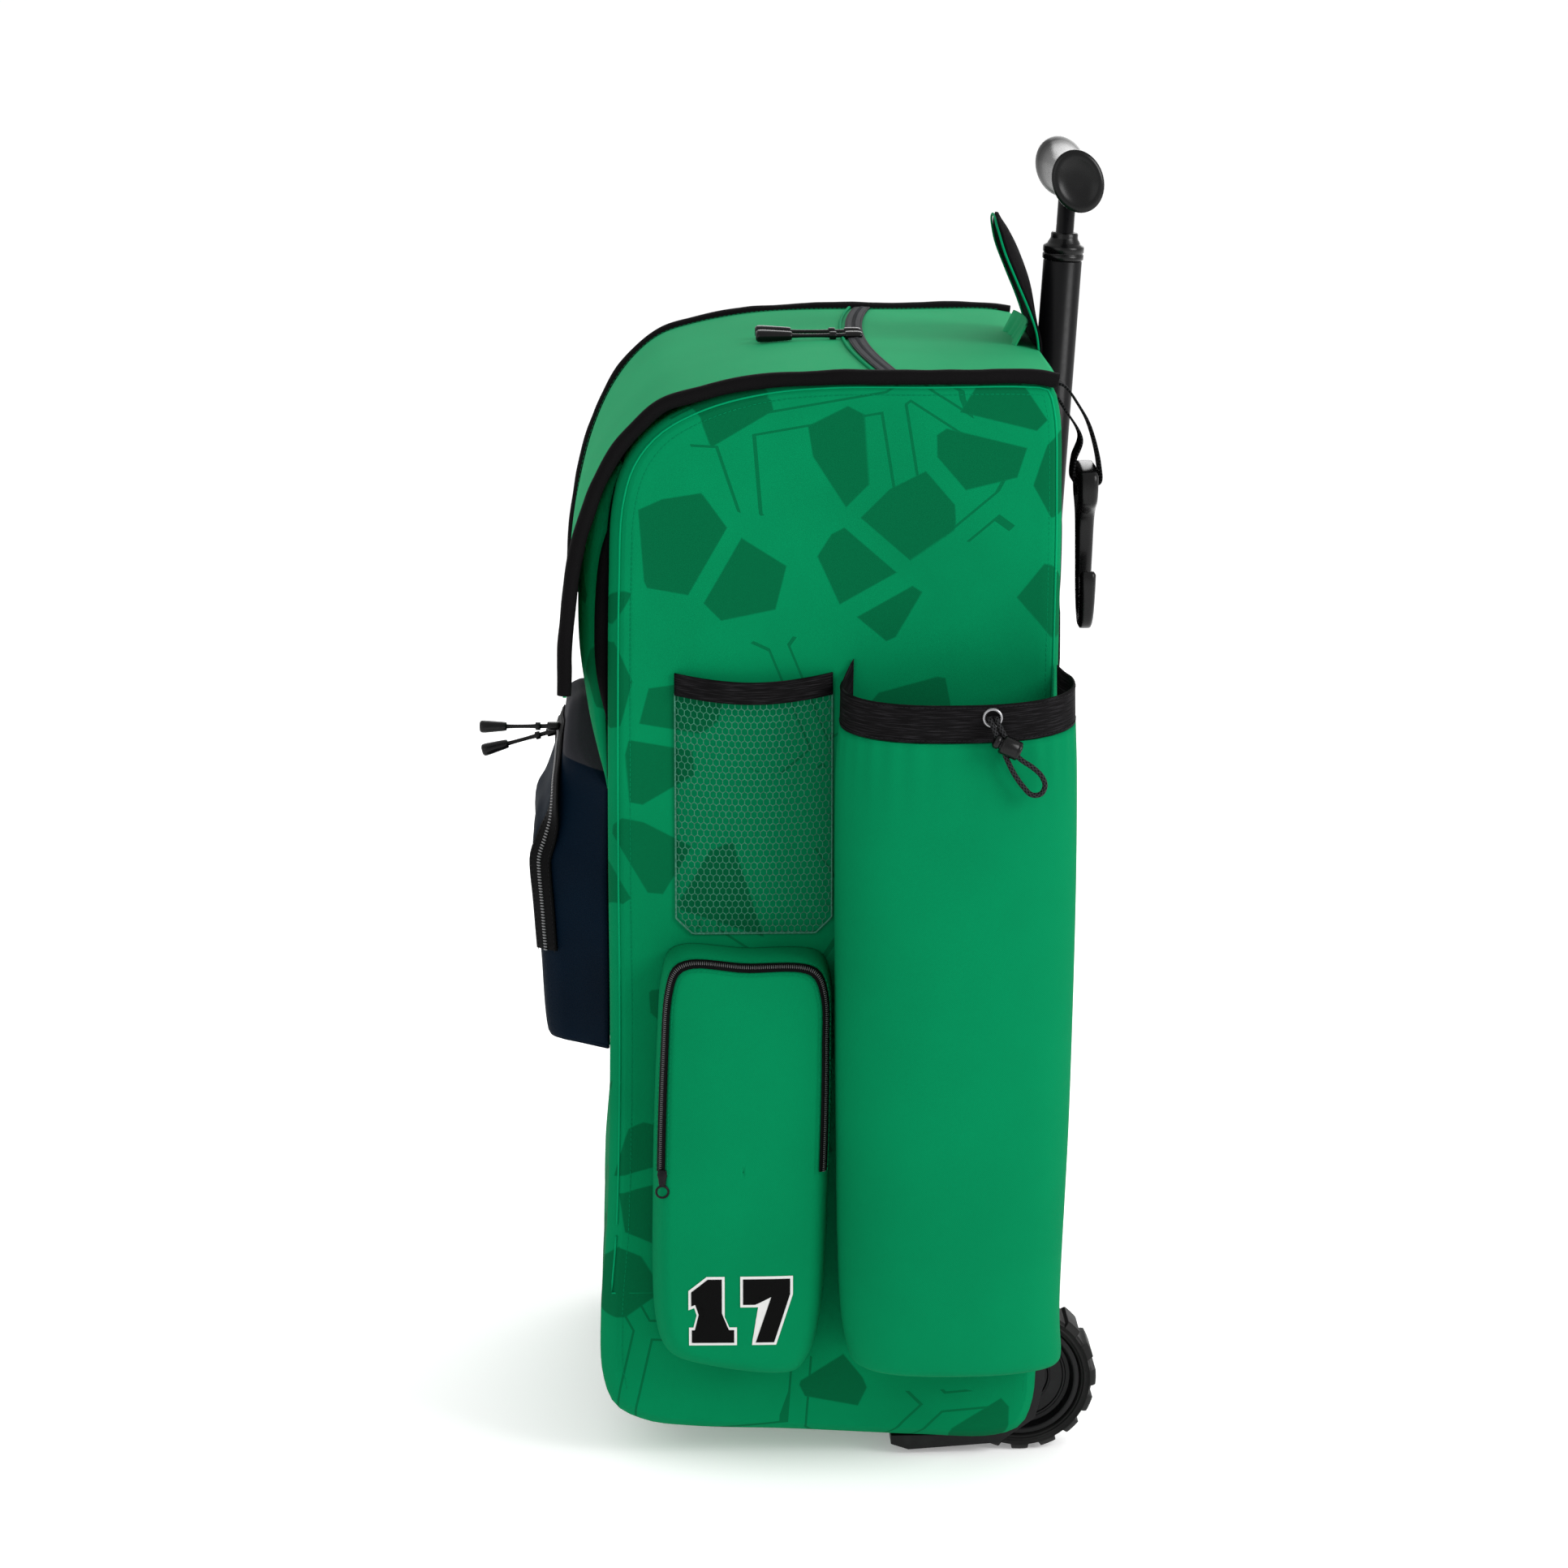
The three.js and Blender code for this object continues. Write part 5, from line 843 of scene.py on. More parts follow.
def surface_at(rows, first, second):
    """A point and the outward direction on a surface of rows, from its two shares."""
    rows = np.asarray(rows)
    i = np.clip(first * (len(rows) - 1), 0, len(rows) - 1.001)
    j = np.clip(second * (rows.shape[1] - 1), 0, rows.shape[1] - 1.001)
    k, m = int(i), int(j)
    s, t = i - k, j - m
    low = rows[k, m] * (1 - t) + rows[k, m + 1] * t
    high = rows[k + 1, m] * (1 - t) + rows[k + 1, m + 1] * t
    right = rows[k, m + 1] - rows[k, m]
    upward = rows[k + 1, m] - rows[k, m]
    out = np.cross(right, upward)
    return low * (1 - s) + high * s, out / max(np.linalg.norm(out), 1e-12)


ZIP_RUN = (
    (0.0, 0.87), (0.4, 0.87), (0.62, 0.86), (0.71, 0.82), (0.745, 0.74), (0.75, 0.65), (0.75, 0.45), (0.75, 0.27),
)
FRONT_ZIP_HALF = 0.0098
profile = smooth_line([(0, h, s) for h, s in FRONT_ROWS], 90)[:, 1]
run = smooth_line([(0, -a, h) for a, h in ZIP_RUN[:0:-1]] + [(0, a, h) for a, h in ZIP_RUN], 120)
zip_points, zip_out = [], []
for _, across, height in run:
    level = float(np.interp(height, np.maximum.accumulate(profile) + np.arange(90) * 1e-9, np.linspace(0, 1, 90)))
    point, out = surface_at(front_surface, level, (across + 1) / 2)
    zip_points.append(point + out * 0.0008)
    zip_out.append(out)
zip_out = np.array(zip_out)
for _ in range(3):
    zip_out[1:-1] = (zip_out[:-2] + zip_out[1:-1] * 2 + zip_out[2:]) / 4
zip_out /= np.linalg.norm(zip_out, axis=1)[:, None]
zip_points = smooth_line(zip_points[::3], 120)
along = np.gradient(zip_points, axis=0)
zip_side = np.cross(zip_out, along)
zip_side /= np.linalg.norm(zip_side, axis=1)[:, None]
zip_tape = cloth_finish("zip_tape", (0.0022, 0.0022, 0.0024), rough=0.5, pitch=0.0009, relief=0.4, fade=0.3, sheen=0.0)[0]
front_zip = ribbon("front_zip_tape", zip_points, zip_side, zip_out, FRONT_ZIP_HALF, TAPE, crown=0.0009)
dress(front_zip, zip_tape, "zip_tape", "bag", "front_zip")
tooth_bead = bead("tooth_bead", 0.0011, 0.0042, 0.0016)
tooth_finish = new_finish("tooth_plastic", (0.16, 0.16, 0.165), 0.28)[0]
low_tooth_finish = new_finish("low_tooth_plastic", (0.06, 0.06, 0.062), 0.3)[0]
teeth = repeat_along("front_zip_teeth", zip_points + zip_out * (TAPE + 0.0011), zip_out, tooth_bead, 0.0021, tooth_finish)
dress(teeth, tooth_finish, "zip_tape", "bag")
for sign, word in ((-1, "outer"), (1, "inner")):
    edge = zip_points + zip_side * (sign * (FRONT_ZIP_HALF - 0.0016)) + zip_out * (TAPE + 0.0003)
    stitch(f"front_zip_stitch_{word}", edge, zip_out, black_thread, "zip_tape")

# Zip pulls: two on the top zip and two on the front one. Each is a cast slider, a knotted cord
# and a moulded grip with a flared end.
PULL_ROWS = (
    (0.0, 0.36, 0.22), (0.03, 0.42, 0.3), (0.14, 0.4, 0.3), (0.17, 0.16, 0.16), (0.24, 0.16, 0.16),
    (0.25, 0.28, 0.28), (0.3, 0.28, 0.28), (0.31, 0.16, 0.16), (0.66, 0.16, 0.16), (0.67, 0.34, 0.3),
    (0.8, 0.42, 0.38), (0.96, 0.5, 0.44), (1.0, 0.34, 0.3),
)
PULL_SCALE = 0.01
PULL_SIZES = {"top": 0.074, "front": 0.057}
gloss_plastic, tree, inputs = new_finish("gloss_plastic", (0.002, 0.002, 0.0022), 0.2, {"Specular IOR Level": 0.22})
grain = add_node(tree, "ShaderNodeTexNoise", None, {"Vector": add_node(tree, "ShaderNodeTexCoord")["Object"], "Scale": 900.0})
connect(tree, 0.2 + grain["Fac"] * 0.14, inputs["Roughness"])
for word, length in PULL_SIZES.items():
    for number in (1, 2):
        name = f"{word}_pull_{number}"
        low, high = (np.array(corner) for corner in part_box(name))
        middle = (low + high) / 2
        tip_side = 1 if number == 1 else -1
        lean = {"top": (0.035, -0.035), "front": (0.0, 0.035)}[word][number - 1]
        tip_down = {"top": (0.0, 0.0), "front": (0.0, 0.26)}[word][number - 1]
        turn = Matrix.Rotation(math.radians(-90) + lean, 3, "Z") @ Matrix.Rotation(tip_down, 3, "Y")
        start = Vector(middle) - turn @ Vector((length / 2, 0, 0))
        rings = []
        for along, wide, thick in smooth_line(PULL_ROWS, 90):
            angles = np.linspace(0, 2 * math.pi, 14, endpoint=False)
            place = [Vector((along * length, 0.5 * PULL_SCALE * wide * 2 * math.cos(a), 0.5 * PULL_SCALE * thick * 2 * math.sin(a))) for a in angles]
            rings.append([start + turn @ p for p in place])
        pull = turn_out(grid_piece(f"{name}_moulded", rings, closed=True, ends=True))
        dress(pull, gloss_plastic, "black_plastic", "bag", name)

# Bat sleeve: an open tube of plain green cloth on each side, closed at its foot and sewn to the
# side panel along both edges. It is squarer in front than at the back.
SLEEVE_ROWS = (
    (0.0, 0.8, 0.93, 0.8), (0.02, 0.87, 0.95, 0.94), (0.09, 0.94, 0.93, 0.985), (0.4, 0.985, 0.985, 1.0),
    (0.75, 1.0, 1.01, 0.995), (0.93, 0.99, 1.0, 0.965), (1.0, 0.96, 0.985, 0.92),
)
SLEEVE_Y = 0.107
SLEEVE_HALF = 0.0805
SLEEVE_REACH = 0.068
SLEEVE_BASE = 0.084
SLEEVE_HEIGHT = 0.45
SLEEVE_FLAT = 0.35
SLEEVE_FOLD = 0.0013
SIDES = ((1, "right"), (-1, "left"))
SIDE_X = HALF_WIDTH + GAP
green_cloth = cloth_finish("green_cloth", GREEN, relief=0.3, fade=0.06)[0]


def rim_drop(around):
    """How far the sleeve's rim sags between its two seams."""
    return 0.009 * (max(0.0, math.sin(math.pi * around)) ** 1.4 - 0.35 * around)


def sleeve_point(around, row, shrink=0.0):
    """A point of the right sleeve, around from its front seam to its back one."""
    height, front, back, out = row
    tuck = math.asin(SLEEVE_FLAT / (1 - SLEEVE_FLAT))
    angle = -tuck + around * (math.pi + 2 * tuck)
    sine, cosine = math.sin(angle), math.cos(angle)
    reach = SLEEVE_REACH * out
    x = SLEEVE_FLAT * reach + ((1 - SLEEVE_FLAT) * reach - shrink) * math.copysign(abs(sine) ** 0.85, sine)
    y = (front if cosine > 0 else back) * (SLEEVE_HALF - shrink) * math.copysign(abs(cosine) ** 0.8, cosine)
    return (SIDE_X + max(x, 0), SLEEVE_Y - y, SLEEVE_BASE + SLEEVE_HEIGHT * height - height ** 4 * rim_drop(around))


def sided(rows, side):
    """Rows of the right side's points, or their mirror images for the left side."""
    return np.asarray(rows) * (side, 1, 1)


sleeve_table = smooth_line(SLEEVE_ROWS, 90)
around_shares = np.linspace(0, 1, 97)
for side, word in SIDES:
    rows = []
    foot = np.array([sleeve_point(a, sleeve_table[0]) for a in around_shares])
    hub = np.array((SIDE_X, SLEEVE_Y, SLEEVE_BASE))
    for share in np.linspace(0.03, 1, 12)[:-1]:
        rows.append(hub + (foot - hub) * share)
    for row in sleeve_table:
        line = []
        for a in around_shares:
            seed = Vector((a * 6.5, row[0] * 2.1, 20.0 * side))
            gather = 0.0005 * math.sin(a * 120) * max(0, (row[0] - 0.86) / 0.14)
            fold = SLEEVE_FOLD * noise.noise(seed) * math.sin(math.pi * a) ** 0.5 + gather * math.sin(math.pi * a)
            line.append(sleeve_point(a, row, -fold))
        rows.append(line)
    sleeve = grid_piece(f"sleeve_cloth_{word}", sided(rows, side), flip=side < 0)
    wall(sleeve, CLOTH)
    dress(sleeve, green_cloth, "green_cloth", "bag", f"bat_sleeve_{word}")

# Sleeve band: black elastic, folded over the sleeve's rim and sewn through. Its front corner
# stands up where the elastic is turned in at the seam.
ELASTIC = 0.0016
BAND_HEIGHT = 0.025
BAND_CORNER = 0.012


def elastic_finish(name, pitch=0.0017):
    """Ribbed elastic: fine cords along its length."""
    material, tree, inputs = new_finish(name, BLACK, 0.6, {"Specular IOR Level": 0.04})
    split = add_node(tree, "ShaderNodeSeparateXYZ", None, (add_node(tree, "ShaderNodeUVMap")["UV"],))
    ribs = (split["Y"] * (2 * math.pi / pitch)).sin()
    stretch = add_node(tree, "ShaderNodeCombineXYZ", None, (split["X"] * 60.0, split["Y"] * 1500.0, 0.0))
    fibre = add_node(tree, "ShaderNodeTexNoise", None, {"Vector": stretch[0], "Scale": 1.0, "Detail": 2.0})["Fac"]
    height = ribs * 0.5 + fibre
    bump = add_node(tree, "ShaderNodeBump", None, {"Strength": 0.5, "Distance": 0.0003, "Height": height})["Normal"]
    shade = mix_colour(tree, fibre.step(0.45, 0.8), (*BLACK, 1), (0.02, 0.019, 0.021, 1))
    connect(tree, shade, inputs["Base Color"])
    connect(tree, 0.5 + fibre * 0.25, inputs["Roughness"])
    connect(tree, bump, inputs["Normal"])
    return material


elastic = elastic_finish("ribbed_elastic")
for side, word in SIDES:
    rows = []
    for share in np.linspace(0, 1, 16):
        line = []
        for a in around_shares:
            x, y, z = sleeve_point(a, SLEEVE_ROWS[-1], 0.0006 * share)
            corner = BAND_CORNER * max(0, 1 - a / 0.075) ** 1.4 * share
            squared = 0.004 * max(0, 1 - (1 - a) / 0.06) ** 2 * share
            line.append((x, y, z + 2 * GAP + BAND_HEIGHT * share + corner + squared))
        rows.append(line)
    sleeve_band = grid_piece(f"sleeve_elastic_{word}", sided(rows, side), flip=side < 0)
    wall(sleeve_band, ELASTIC)
    dress(sleeve_band, elastic, "black_tape", "bag", f"sleeve_band_{word}")
    out = np.gradient(np.array(rows[1]), axis=0)
    out = np.stack([out[:, 1], -out[:, 0], np.zeros(len(out))], axis=1)
    out /= np.linalg.norm(out, axis=1)[:, None]
    for place, ridge in (("low", 1), ("high", 14)):
        thread = sided(np.array(rows[ridge]) + out * 0.0002, side)[4:-4]
        stitch(f"sleeve_{place}_stitch_{word}", thread, sided(out, side)[4:-4], black_thread, "black_tape")

# Grommet: a steel eyelet pressed through the elastic. The shock cord is fed through it, doubled
# through a spring lock, and both its ends are tied off behind the eyelet.
steel, tree, inputs = new_finish("worn_steel", (0.33, 0.33, 0.34), 0.32, {}, 1.0)
scuff = add_node(tree, "ShaderNodeTexNoise", None, {"Vector": add_node(tree, "ShaderNodeTexCoord")["Object"], "Scale": 500.0, "Detail": 3.0})
connect(tree, 0.24 + scuff["Fac"] * 0.22, inputs["Roughness"])
painted_metal, tree, inputs = new_finish("painted_metal", (0.0045, 0.0045, 0.005), 0.3, {"Specular IOR Level": 0.12})
brush = add_node(tree, "ShaderNodeTexNoise", None, {"Vector": add_node(tree, "ShaderNodeTexCoord")["Object"], "Scale": 260.0, "Detail": 3.0})
connect(tree, 0.22 + brush["Fac"] * 0.2, inputs["Roughness"])
GROMMET_ROWS = (
    (0.00475, 0.0001), (0.00475, 0.0011), (0.0051, 0.0015), (0.0057, 0.0016), (0.0062, 0.0014), (0.0067, 0.0007), (0.0068, 0.0001),
)
CORD_ROUTE = (
    (0.6, -2.2, 0.0), (4.2, -1.6, 1.2), (7.2, 0.2, 5.5), (8.0, 3.2, 13.0), (8.0, 6.4, 20.0), (8.0, 9.4, 27.0),
    (8.0, 14.0, 36.0), (8.0, 19.6, 44.0), (8.0, 25.4, 49.6), (8.0, 31.4, 49.0), (8.0, 34.0, 43.5), (8.0, 31.6, 37.0),
    (8.0, 25.4, 31.0), (8.0, 18.6, 26.4), (8.0, 12.6, 20.4), (8.0, 8.6, 12.6), (7.2, 4.8, 5.5), (4.2, 2.6, 1.2), (0.6, 2.2, 0.0),
)
CORD_WIDTH = 0.0035
EYE_Y, EYE_Z = 0.128, 0.544
LOCK_LENGTH = 0.019
LOCK_RADIUS = 0.0065
LOCK_TURN = math.radians(25.8)
LOCK_ROWS = (
    (0, -0.5), (0.5, -0.5), (0.68, -0.47), (0.76, -0.41), (0.76, -0.3), (0.6, -0.28), (0.6, -0.22), (0.93, -0.2),
    (1.0, -0.15), (1.0, 0.3), (0.97, 0.33), (0.97, 0.36), (1.0, 0.39), (0.98, 0.45), (0.7, 0.5), (0, 0.5),
)
cord_finish, tree, inputs = new_finish("braided_cord", (0.004, 0.004, 0.0045), 0.55, {"Specular IOR Level": 0.1})
split = add_node(tree, "ShaderNodeSeparateXYZ", None, (add_node(tree, "ShaderNodeUVMap")["UV"],))
first_strand = (split["X"] * (2 * math.pi / 0.0028) + split["Y"] * (2 * math.pi / 0.0032)).sin()
second_strand = (split["X"] * (2 * math.pi / 0.0028) - split["Y"] * (2 * math.pi / 0.0032)).sin()
braid = first_strand.math("MAXIMUM", first_strand, second_strand)
connect(tree, add_node(tree, "ShaderNodeBump", None, {"Strength": 0.8, "Distance": 0.0005, "Height": braid})["Normal"], inputs["Normal"])
connect(tree, mix_colour(tree, braid.step(-0.2, 0.9), (0.002, 0.002, 0.002, 1), (0.022, 0.022, 0.024, 1)), inputs["Base Color"])
for side, word in SIDES:
    ring_low, ring_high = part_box(f"grommet_{word}")
    ring_x = max(abs(ring_low[0]), abs(ring_high[0])) - 0.0016
    profile = [(r, h) for r, h in GROMMET_ROWS]
    grommet = turned(f"grommet_ring_{word}", profile + profile[:1], (side * ring_x, EYE_Y, EYE_Z), (side, 0, 0))
    dress(grommet, steel, "steel", "bag", f"grommet_{word}")
    face_x = ring_x + 0.0016
    route = [(side * (face_x + o / 1000), EYE_Y + b / 1000, EYE_Z - d / 1000) for o, b, d in CORD_ROUTE]
    line = smooth_line(route, 150)
    cord = tube_piece(f"shock_cord_{word}", line, CORD_WIDTH / 2, 14)
    centre = Vector((side * (face_x + 0.008), 0.1368, 0.5272))
    lock_axis = Vector((0, math.cos(LOCK_TURN), -math.sin(LOCK_TURN)))
    lock_profile = [(r * LOCK_RADIUS, h * LOCK_LENGTH) for r, h in LOCK_ROWS]
    cord_lock = turned(f"cord_lock_barrel_{word}", lock_profile, centre, lock_axis, 36)
    dress(cord_lock, gloss_plastic, "black_plastic", "bag", f"cord_lock_{word}")
    dress(cord, cord_finish, "cord", "bag", f"sleeve_cord_{word}")
    path = even(line, 40)
    length = float(np.linalg.norm(np.diff(path, axis=0), axis=1).sum())

# Net pocket: knitted mesh with tall six-sided holes, sewn to the side panel along three edges,
# with its two lower corners cut off.
NET_FRONT = -0.0791
NET_WIDTH = 0.105
NET_BASE = 0.383
NET_HEIGHT = 0.166
NET_BULGE = 0.009
NET_STRAND = 0.00031
NET_CORNER = 0.011
HOLE_WIDTH = 0.0042
HOLE_HEIGHT = 0.006


def net_point(across, up_share, out=0.0):
    """A point of the right net pocket, from its front edge back and from its base up."""
    belly = max(0.0, math.sin(math.pi * across))
    x = SIDE_X + 0.0004 + NET_BULGE * belly ** 0.7 * (1 - (1 - up_share) ** 3) + out
    z = NET_BASE + up_share * (NET_HEIGHT - 0.005 * up_share * belly)
    return (x, NET_FRONT + across * NET_WIDTH, z)


def strands(name, points, edges, radius, material):
    """Thin round strands along the edges of a lattice, as one plain mesh."""
    mesh = bpy.data.meshes.new(name)
    mesh.from_pydata(points, edges, [])
    piece = link_mesh(name, mesh)
    tree = bpy.data.node_groups.new(name, "GeometryNodeTree")
    tree.interface.new_socket("Geometry", in_out="INPUT", socket_type="NodeSocketGeometry")
    tree.interface.new_socket("Radius", in_out="INPUT", socket_type="NodeSocketFloat")
    tree.interface.new_socket("Geometry", in_out="OUTPUT", socket_type="NodeSocketGeometry")
    given = add_node(tree, "NodeGroupInput")
    curve = add_node(tree, "GeometryNodeMeshToCurve", None, (given["Geometry"],))[0]
    section = add_node(tree, "GeometryNodeCurvePrimitiveCircle", None, {"Resolution": 5, "Radius": given["Radius"]})[0]
    tube = add_node(tree, "GeometryNodeCurveToMesh", None, {"Curve": curve, "Profile Curve": section, "Fill Caps": True})[0]
    smooth = add_node(tree, "GeometryNodeSetShadeSmooth", None, {"Geometry": tube, "Shade Smooth": True})[0]
    real = add_node(tree, "GeometryNodeRealizeInstances", None, (smooth,))[0]
    done = add_node(tree, "GeometryNodeSetMaterial", None, {"Geometry": real, "Material": material})[0]
    add_node(tree, "NodeGroupOutput", None, (done,))
    made = piece.modifiers.new("strands", "NODES")
    made.node_group = tree
    keys = {socket.name: socket.identifier for socket in tree.interface.items_tree if socket.in_out == "INPUT"}
    made[keys["Radius"]] = radius
    apply_modifiers(piece)
    bpy.data.node_groups.remove(tree)
    return piece


net_finish, tree, inputs = new_finish("net_yarn", (0.04, 0.15, 0.1), 0.6, {"Specular IOR Level": 0.1})
place = add_node(tree, "ShaderNodeTexCoord")["Object"]
yarn = add_node(tree, "ShaderNodeTexNoise", None, {"Vector": place, "Scale": 700.0, "Detail": 2.0})["Fac"]
connect(tree, mix_colour(tree, yarn.step(0.3, 0.7), (0.026, 0.12, 0.075, 1), (0.05, 0.2, 0.13, 1)), inputs["Base Color"])
columns = int(NET_WIDTH / HOLE_WIDTH)
levels = int(NET_HEIGHT / (0.75 * HOLE_HEIGHT))
corners = {}
edges = set()
for row in range(levels):
    for column in range(columns - row % 2):
        middle = ((column + 0.5 + 0.5 * (row % 2)) / columns, (row + 0.65) / (levels + 0.35))
        hexagon = []
        for dx, dz in ((0, -2), (1, -1), (1, 1), (0, 2), (-1, 1), (-1, -1)):
            key = (2 * column + 1 + row % 2 + dx, 3 * row + 2 + dz)
            share = key[0] / (2 * columns), key[1] / (3 * levels + 1)
            cut = min(share[0], 1 - share[0]) * NET_WIDTH + share[1] * NET_HEIGHT
            corners.setdefault(key, (share, cut))
            hexagon.append(key)
        if all(corners[key][1] > NET_CORNER for key in hexagon):
            edges.update(tuple(sorted(pair)) for pair in zip(hexagon, hexagon[1:] + hexagon[:1]))
used = sorted({key for pair in edges for key in pair})
index = {key: i for i, key in enumerate(used)}
net_links = [(index[a], index[b]) for a, b in sorted(edges)]
NET_BAND = 0.013
for side, word in SIDES:
    points = sided([net_point(*corners[key][0]) for key in used], side).tolist()
    net = strands(f"net_mesh_{word}", points, net_links, NET_STRAND, net_finish)
    dress(net, net_finish, "green_net", "bag", f"net_pocket_{word}")
    hem = []
    for t in np.linspace(0, 1, 60):
        hem.append(net_point(t, max(0.0, (NET_CORNER - min(t, 1 - t) * NET_WIDTH) / NET_HEIGHT)))
    hem = [net_point(0, t) for t in np.linspace(1, NET_CORNER / NET_HEIGHT, 50)] + hem
    hem += [net_point(1, t) for t in np.linspace(NET_CORNER / NET_HEIGHT, 1, 50)]
    hem = even(hem, 220)
    hem_seam = tube_piece(f"net_hem_{word}", sided(hem, side), 0.0007, 6)
    dress(hem_seam, net_finish, "green_net", "bag")
    rows = []
    for share in np.linspace(-0.15, 1, 10):
        line = []
        for t in np.linspace(0, 1, 50):
            x, y, z = net_point(t, 1.0, 0.0005)
            line.append((x, y, z + NET_BAND * share + 2 * GAP))
        rows.append(line)
    net_band = grid_piece(f"net_elastic_{word}", sided(rows, side), flip=side < 0)
    wall(net_band, ELASTIC, 0.0)
    dress(net_band, elastic, "black_tape", "bag", f"net_band_{word}")

# Low pocket: a boxed pocket of plain green cloth with a rounded face. Its black zip runs round
# the face's edge, and the lower part is sewn shut.
LOW_OUTLINE = (
    (0.78, 0.0), (0.86, 0.03), (0.93, 0.12), (0.98, 0.45), (1.0, 0.8), (0.99, 0.93), (0.93, 0.98), (0.5, 0.99),
    (0.18, 1.0), (0.1, 0.985), (0.055, 0.93), (0.03, 0.8), (0.0, 0.45), (0.01, 0.12), (0.06, 0.06), (0.14, 0.035),
)
LOW_FRONT = -0.0961
LOW_WIDTH = 0.122
LOW_BASE = 0.076
LOW_HEIGHT = 0.3
LOW_DEPTH = 0.036
LOW_INSET = 0.014
LOW_CROWN = 0.0024
LOW_ZIP_AT = 0.72
LOW_ZIP_END = 0.223
low_outline = smooth_line([(0, LOW_FRONT + LOW_WIDTH * a, LOW_BASE + LOW_HEIGHT * h) for a, h in LOW_OUTLINE], 180, True)
low_middle = np.array((0, LOW_FRONT + LOW_WIDTH / 2, LOW_BASE + LOW_HEIGHT / 2))


def low_ring(swell):
    """The low pocket's outline at one share of the way round its edge onto its face."""
    angle = swell * math.pi / 2
    inset = LOW_INSET * (1 - math.cos(angle)) ** 1.5
    scale = np.array((1, 1 - 2 * inset / LOW_WIDTH, 1 - 2 * inset / LOW_HEIGHT))
    ring = low_middle + (low_outline - low_middle) * scale
    ring[:, 0] = SIDE_X + LOW_DEPTH * math.sin(angle)
    return ring


low_rows = [low_ring(swell) for swell in np.linspace(0, 1, 24)]
rim = low_rows[-1]
for share in np.linspace(1, 0.0, 26)[1:]:
    inner = low_middle + (rim - low_middle) * (1, share, share)
    inner[:, 0] = rim[:, 0] + LOW_CROWN * (1 - share ** 2)
    if share < 0.01:
        inner = low_middle + (rim - low_middle) * (1, 0.004, 0.004)
        inner[:, 0] = rim[:, 0] + LOW_CROWN
    low_rows.append(inner)
for row in low_rows[12:]:
    for point in row:
        point[0] += 0.0011 * noise.noise(Vector((point[1] * 14, point[2] * 9, 2.0)))
low_fine = (low_outline[:, 2] > LOW_ZIP_END)
zip_ring, above, below = (low_ring(LOW_ZIP_AT + step) for step in (0, 0.03, -0.03))
start = int(np.argmax(low_fine & ~np.roll(low_fine, 1)))
order = [(start + k) % len(zip_ring) for k in range(int(low_fine.sum()))]
low_side = (above - below)[order]
low_side /= np.linalg.norm(low_side, axis=1)[:, None]
low_line = zip_ring[order]
low_along = np.gradient(low_line, axis=0)
low_out = np.cross(low_side, low_along)
low_out /= np.linalg.norm(low_out, axis=1)[:, None]
if low_out[len(low_out) // 2][0] < 0:
    low_out = -low_out
LOW_ZIP_HALF = 0.0034
for side, word in SIDES:
    low_pocket = turn_out(grid_piece(f"low_pocket_cloth_{word}", sided(low_rows, side), closed=True))
    low_shape = low_pocket.data
    if sum(face.normal.x * face.area for face in low_shape.polygons) * side < 0:
        low_shape.flip_normals()
    flat_uv(low_pocket)
    wall(low_pocket, CLOTH)
    dress(low_pocket, green_cloth, "green_cloth", "bag", f"low_pocket_{word}")
    line, out, across = sided(low_line + low_out * 0.0006, side), sided(low_out, side), sided(low_side, side)
    low_zip = ribbon(f"low_zip_tape_{word}", line, across, out, LOW_ZIP_HALF, TAPE, crown=0.0004)
    dress(low_zip, zip_tape, "zip_tape", "bag", f"low_zip_{word}")
    low_teeth = repeat_along(f"low_zip_teeth_{word}", line + out * (TAPE + 0.0004), out, coil_bead, 0.0014, low_tooth_finish)
    dress(low_teeth, low_tooth_finish, "zip_tape", "bag")
    for sign, edge_word in ((-1, "outer"), (1, "inner")):
        seam = line + across * (sign * (LOW_ZIP_HALF + 0.0022)) - out * 0.0001
        stitch(f"low_zip_stitch_{edge_word}_{word}", seam, out, green_thread, "green_cloth")
    slider_low, slider_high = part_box(f"low_slider_{word}")
    slider_x = side * (min(abs(slider_low[0]), abs(slider_high[0])) + 0.0022)
    slider_y = (slider_low[1] + slider_high[1]) / 2
    body_rows = ((0, 0), (0.4, 0), (0.85, 0.06), (1.0, 0.3), (0.8, 0.55), (0.72, 0.8), (0.55, 1.0), (0, 1.0))
    rows = []
    for grow, lift in ((0.7, -0.5), (1.0, -0.32), (1.0, 0.25), (0.62, 0.5), (0.3, 0.56)):
        half = [(0.0034 * r * grow, slider_high[2] - 0.006 + (0.006 - 0.012 * h) * grow) for r, h in body_rows]
        outline = half + [(-y, z) for y, z in half[::-1][1:-1]]
        rows.append([(slider_x + side * 0.0042 * lift, slider_y + y, z) for y, z in outline])
    low_slider = soften(turn_out(grid_piece(f"low_slider_body_{word}", rows, closed=True, ends=True)), 0.0004)
    ring_z = slider_low[2] + 0.005
    loop = [(0, slider_y + 0.0041 * math.sin(t), ring_z - 0.0041 * math.cos(t)) for t in np.linspace(0, 2 * math.pi, 41)[:-1]]
    loop = np.array(loop) + (slider_x + side * 0.001, 0, 0)
    ring = tube_piece(f"low_slider_ring_{word}", np.vstack([loop, loop[:1]]), 0.0008, 8)
    dress(low_slider, painted_metal, "black_metal", "bag", f"low_slider_{word}")
    dress(ring, painted_metal, "black_metal", "bag")

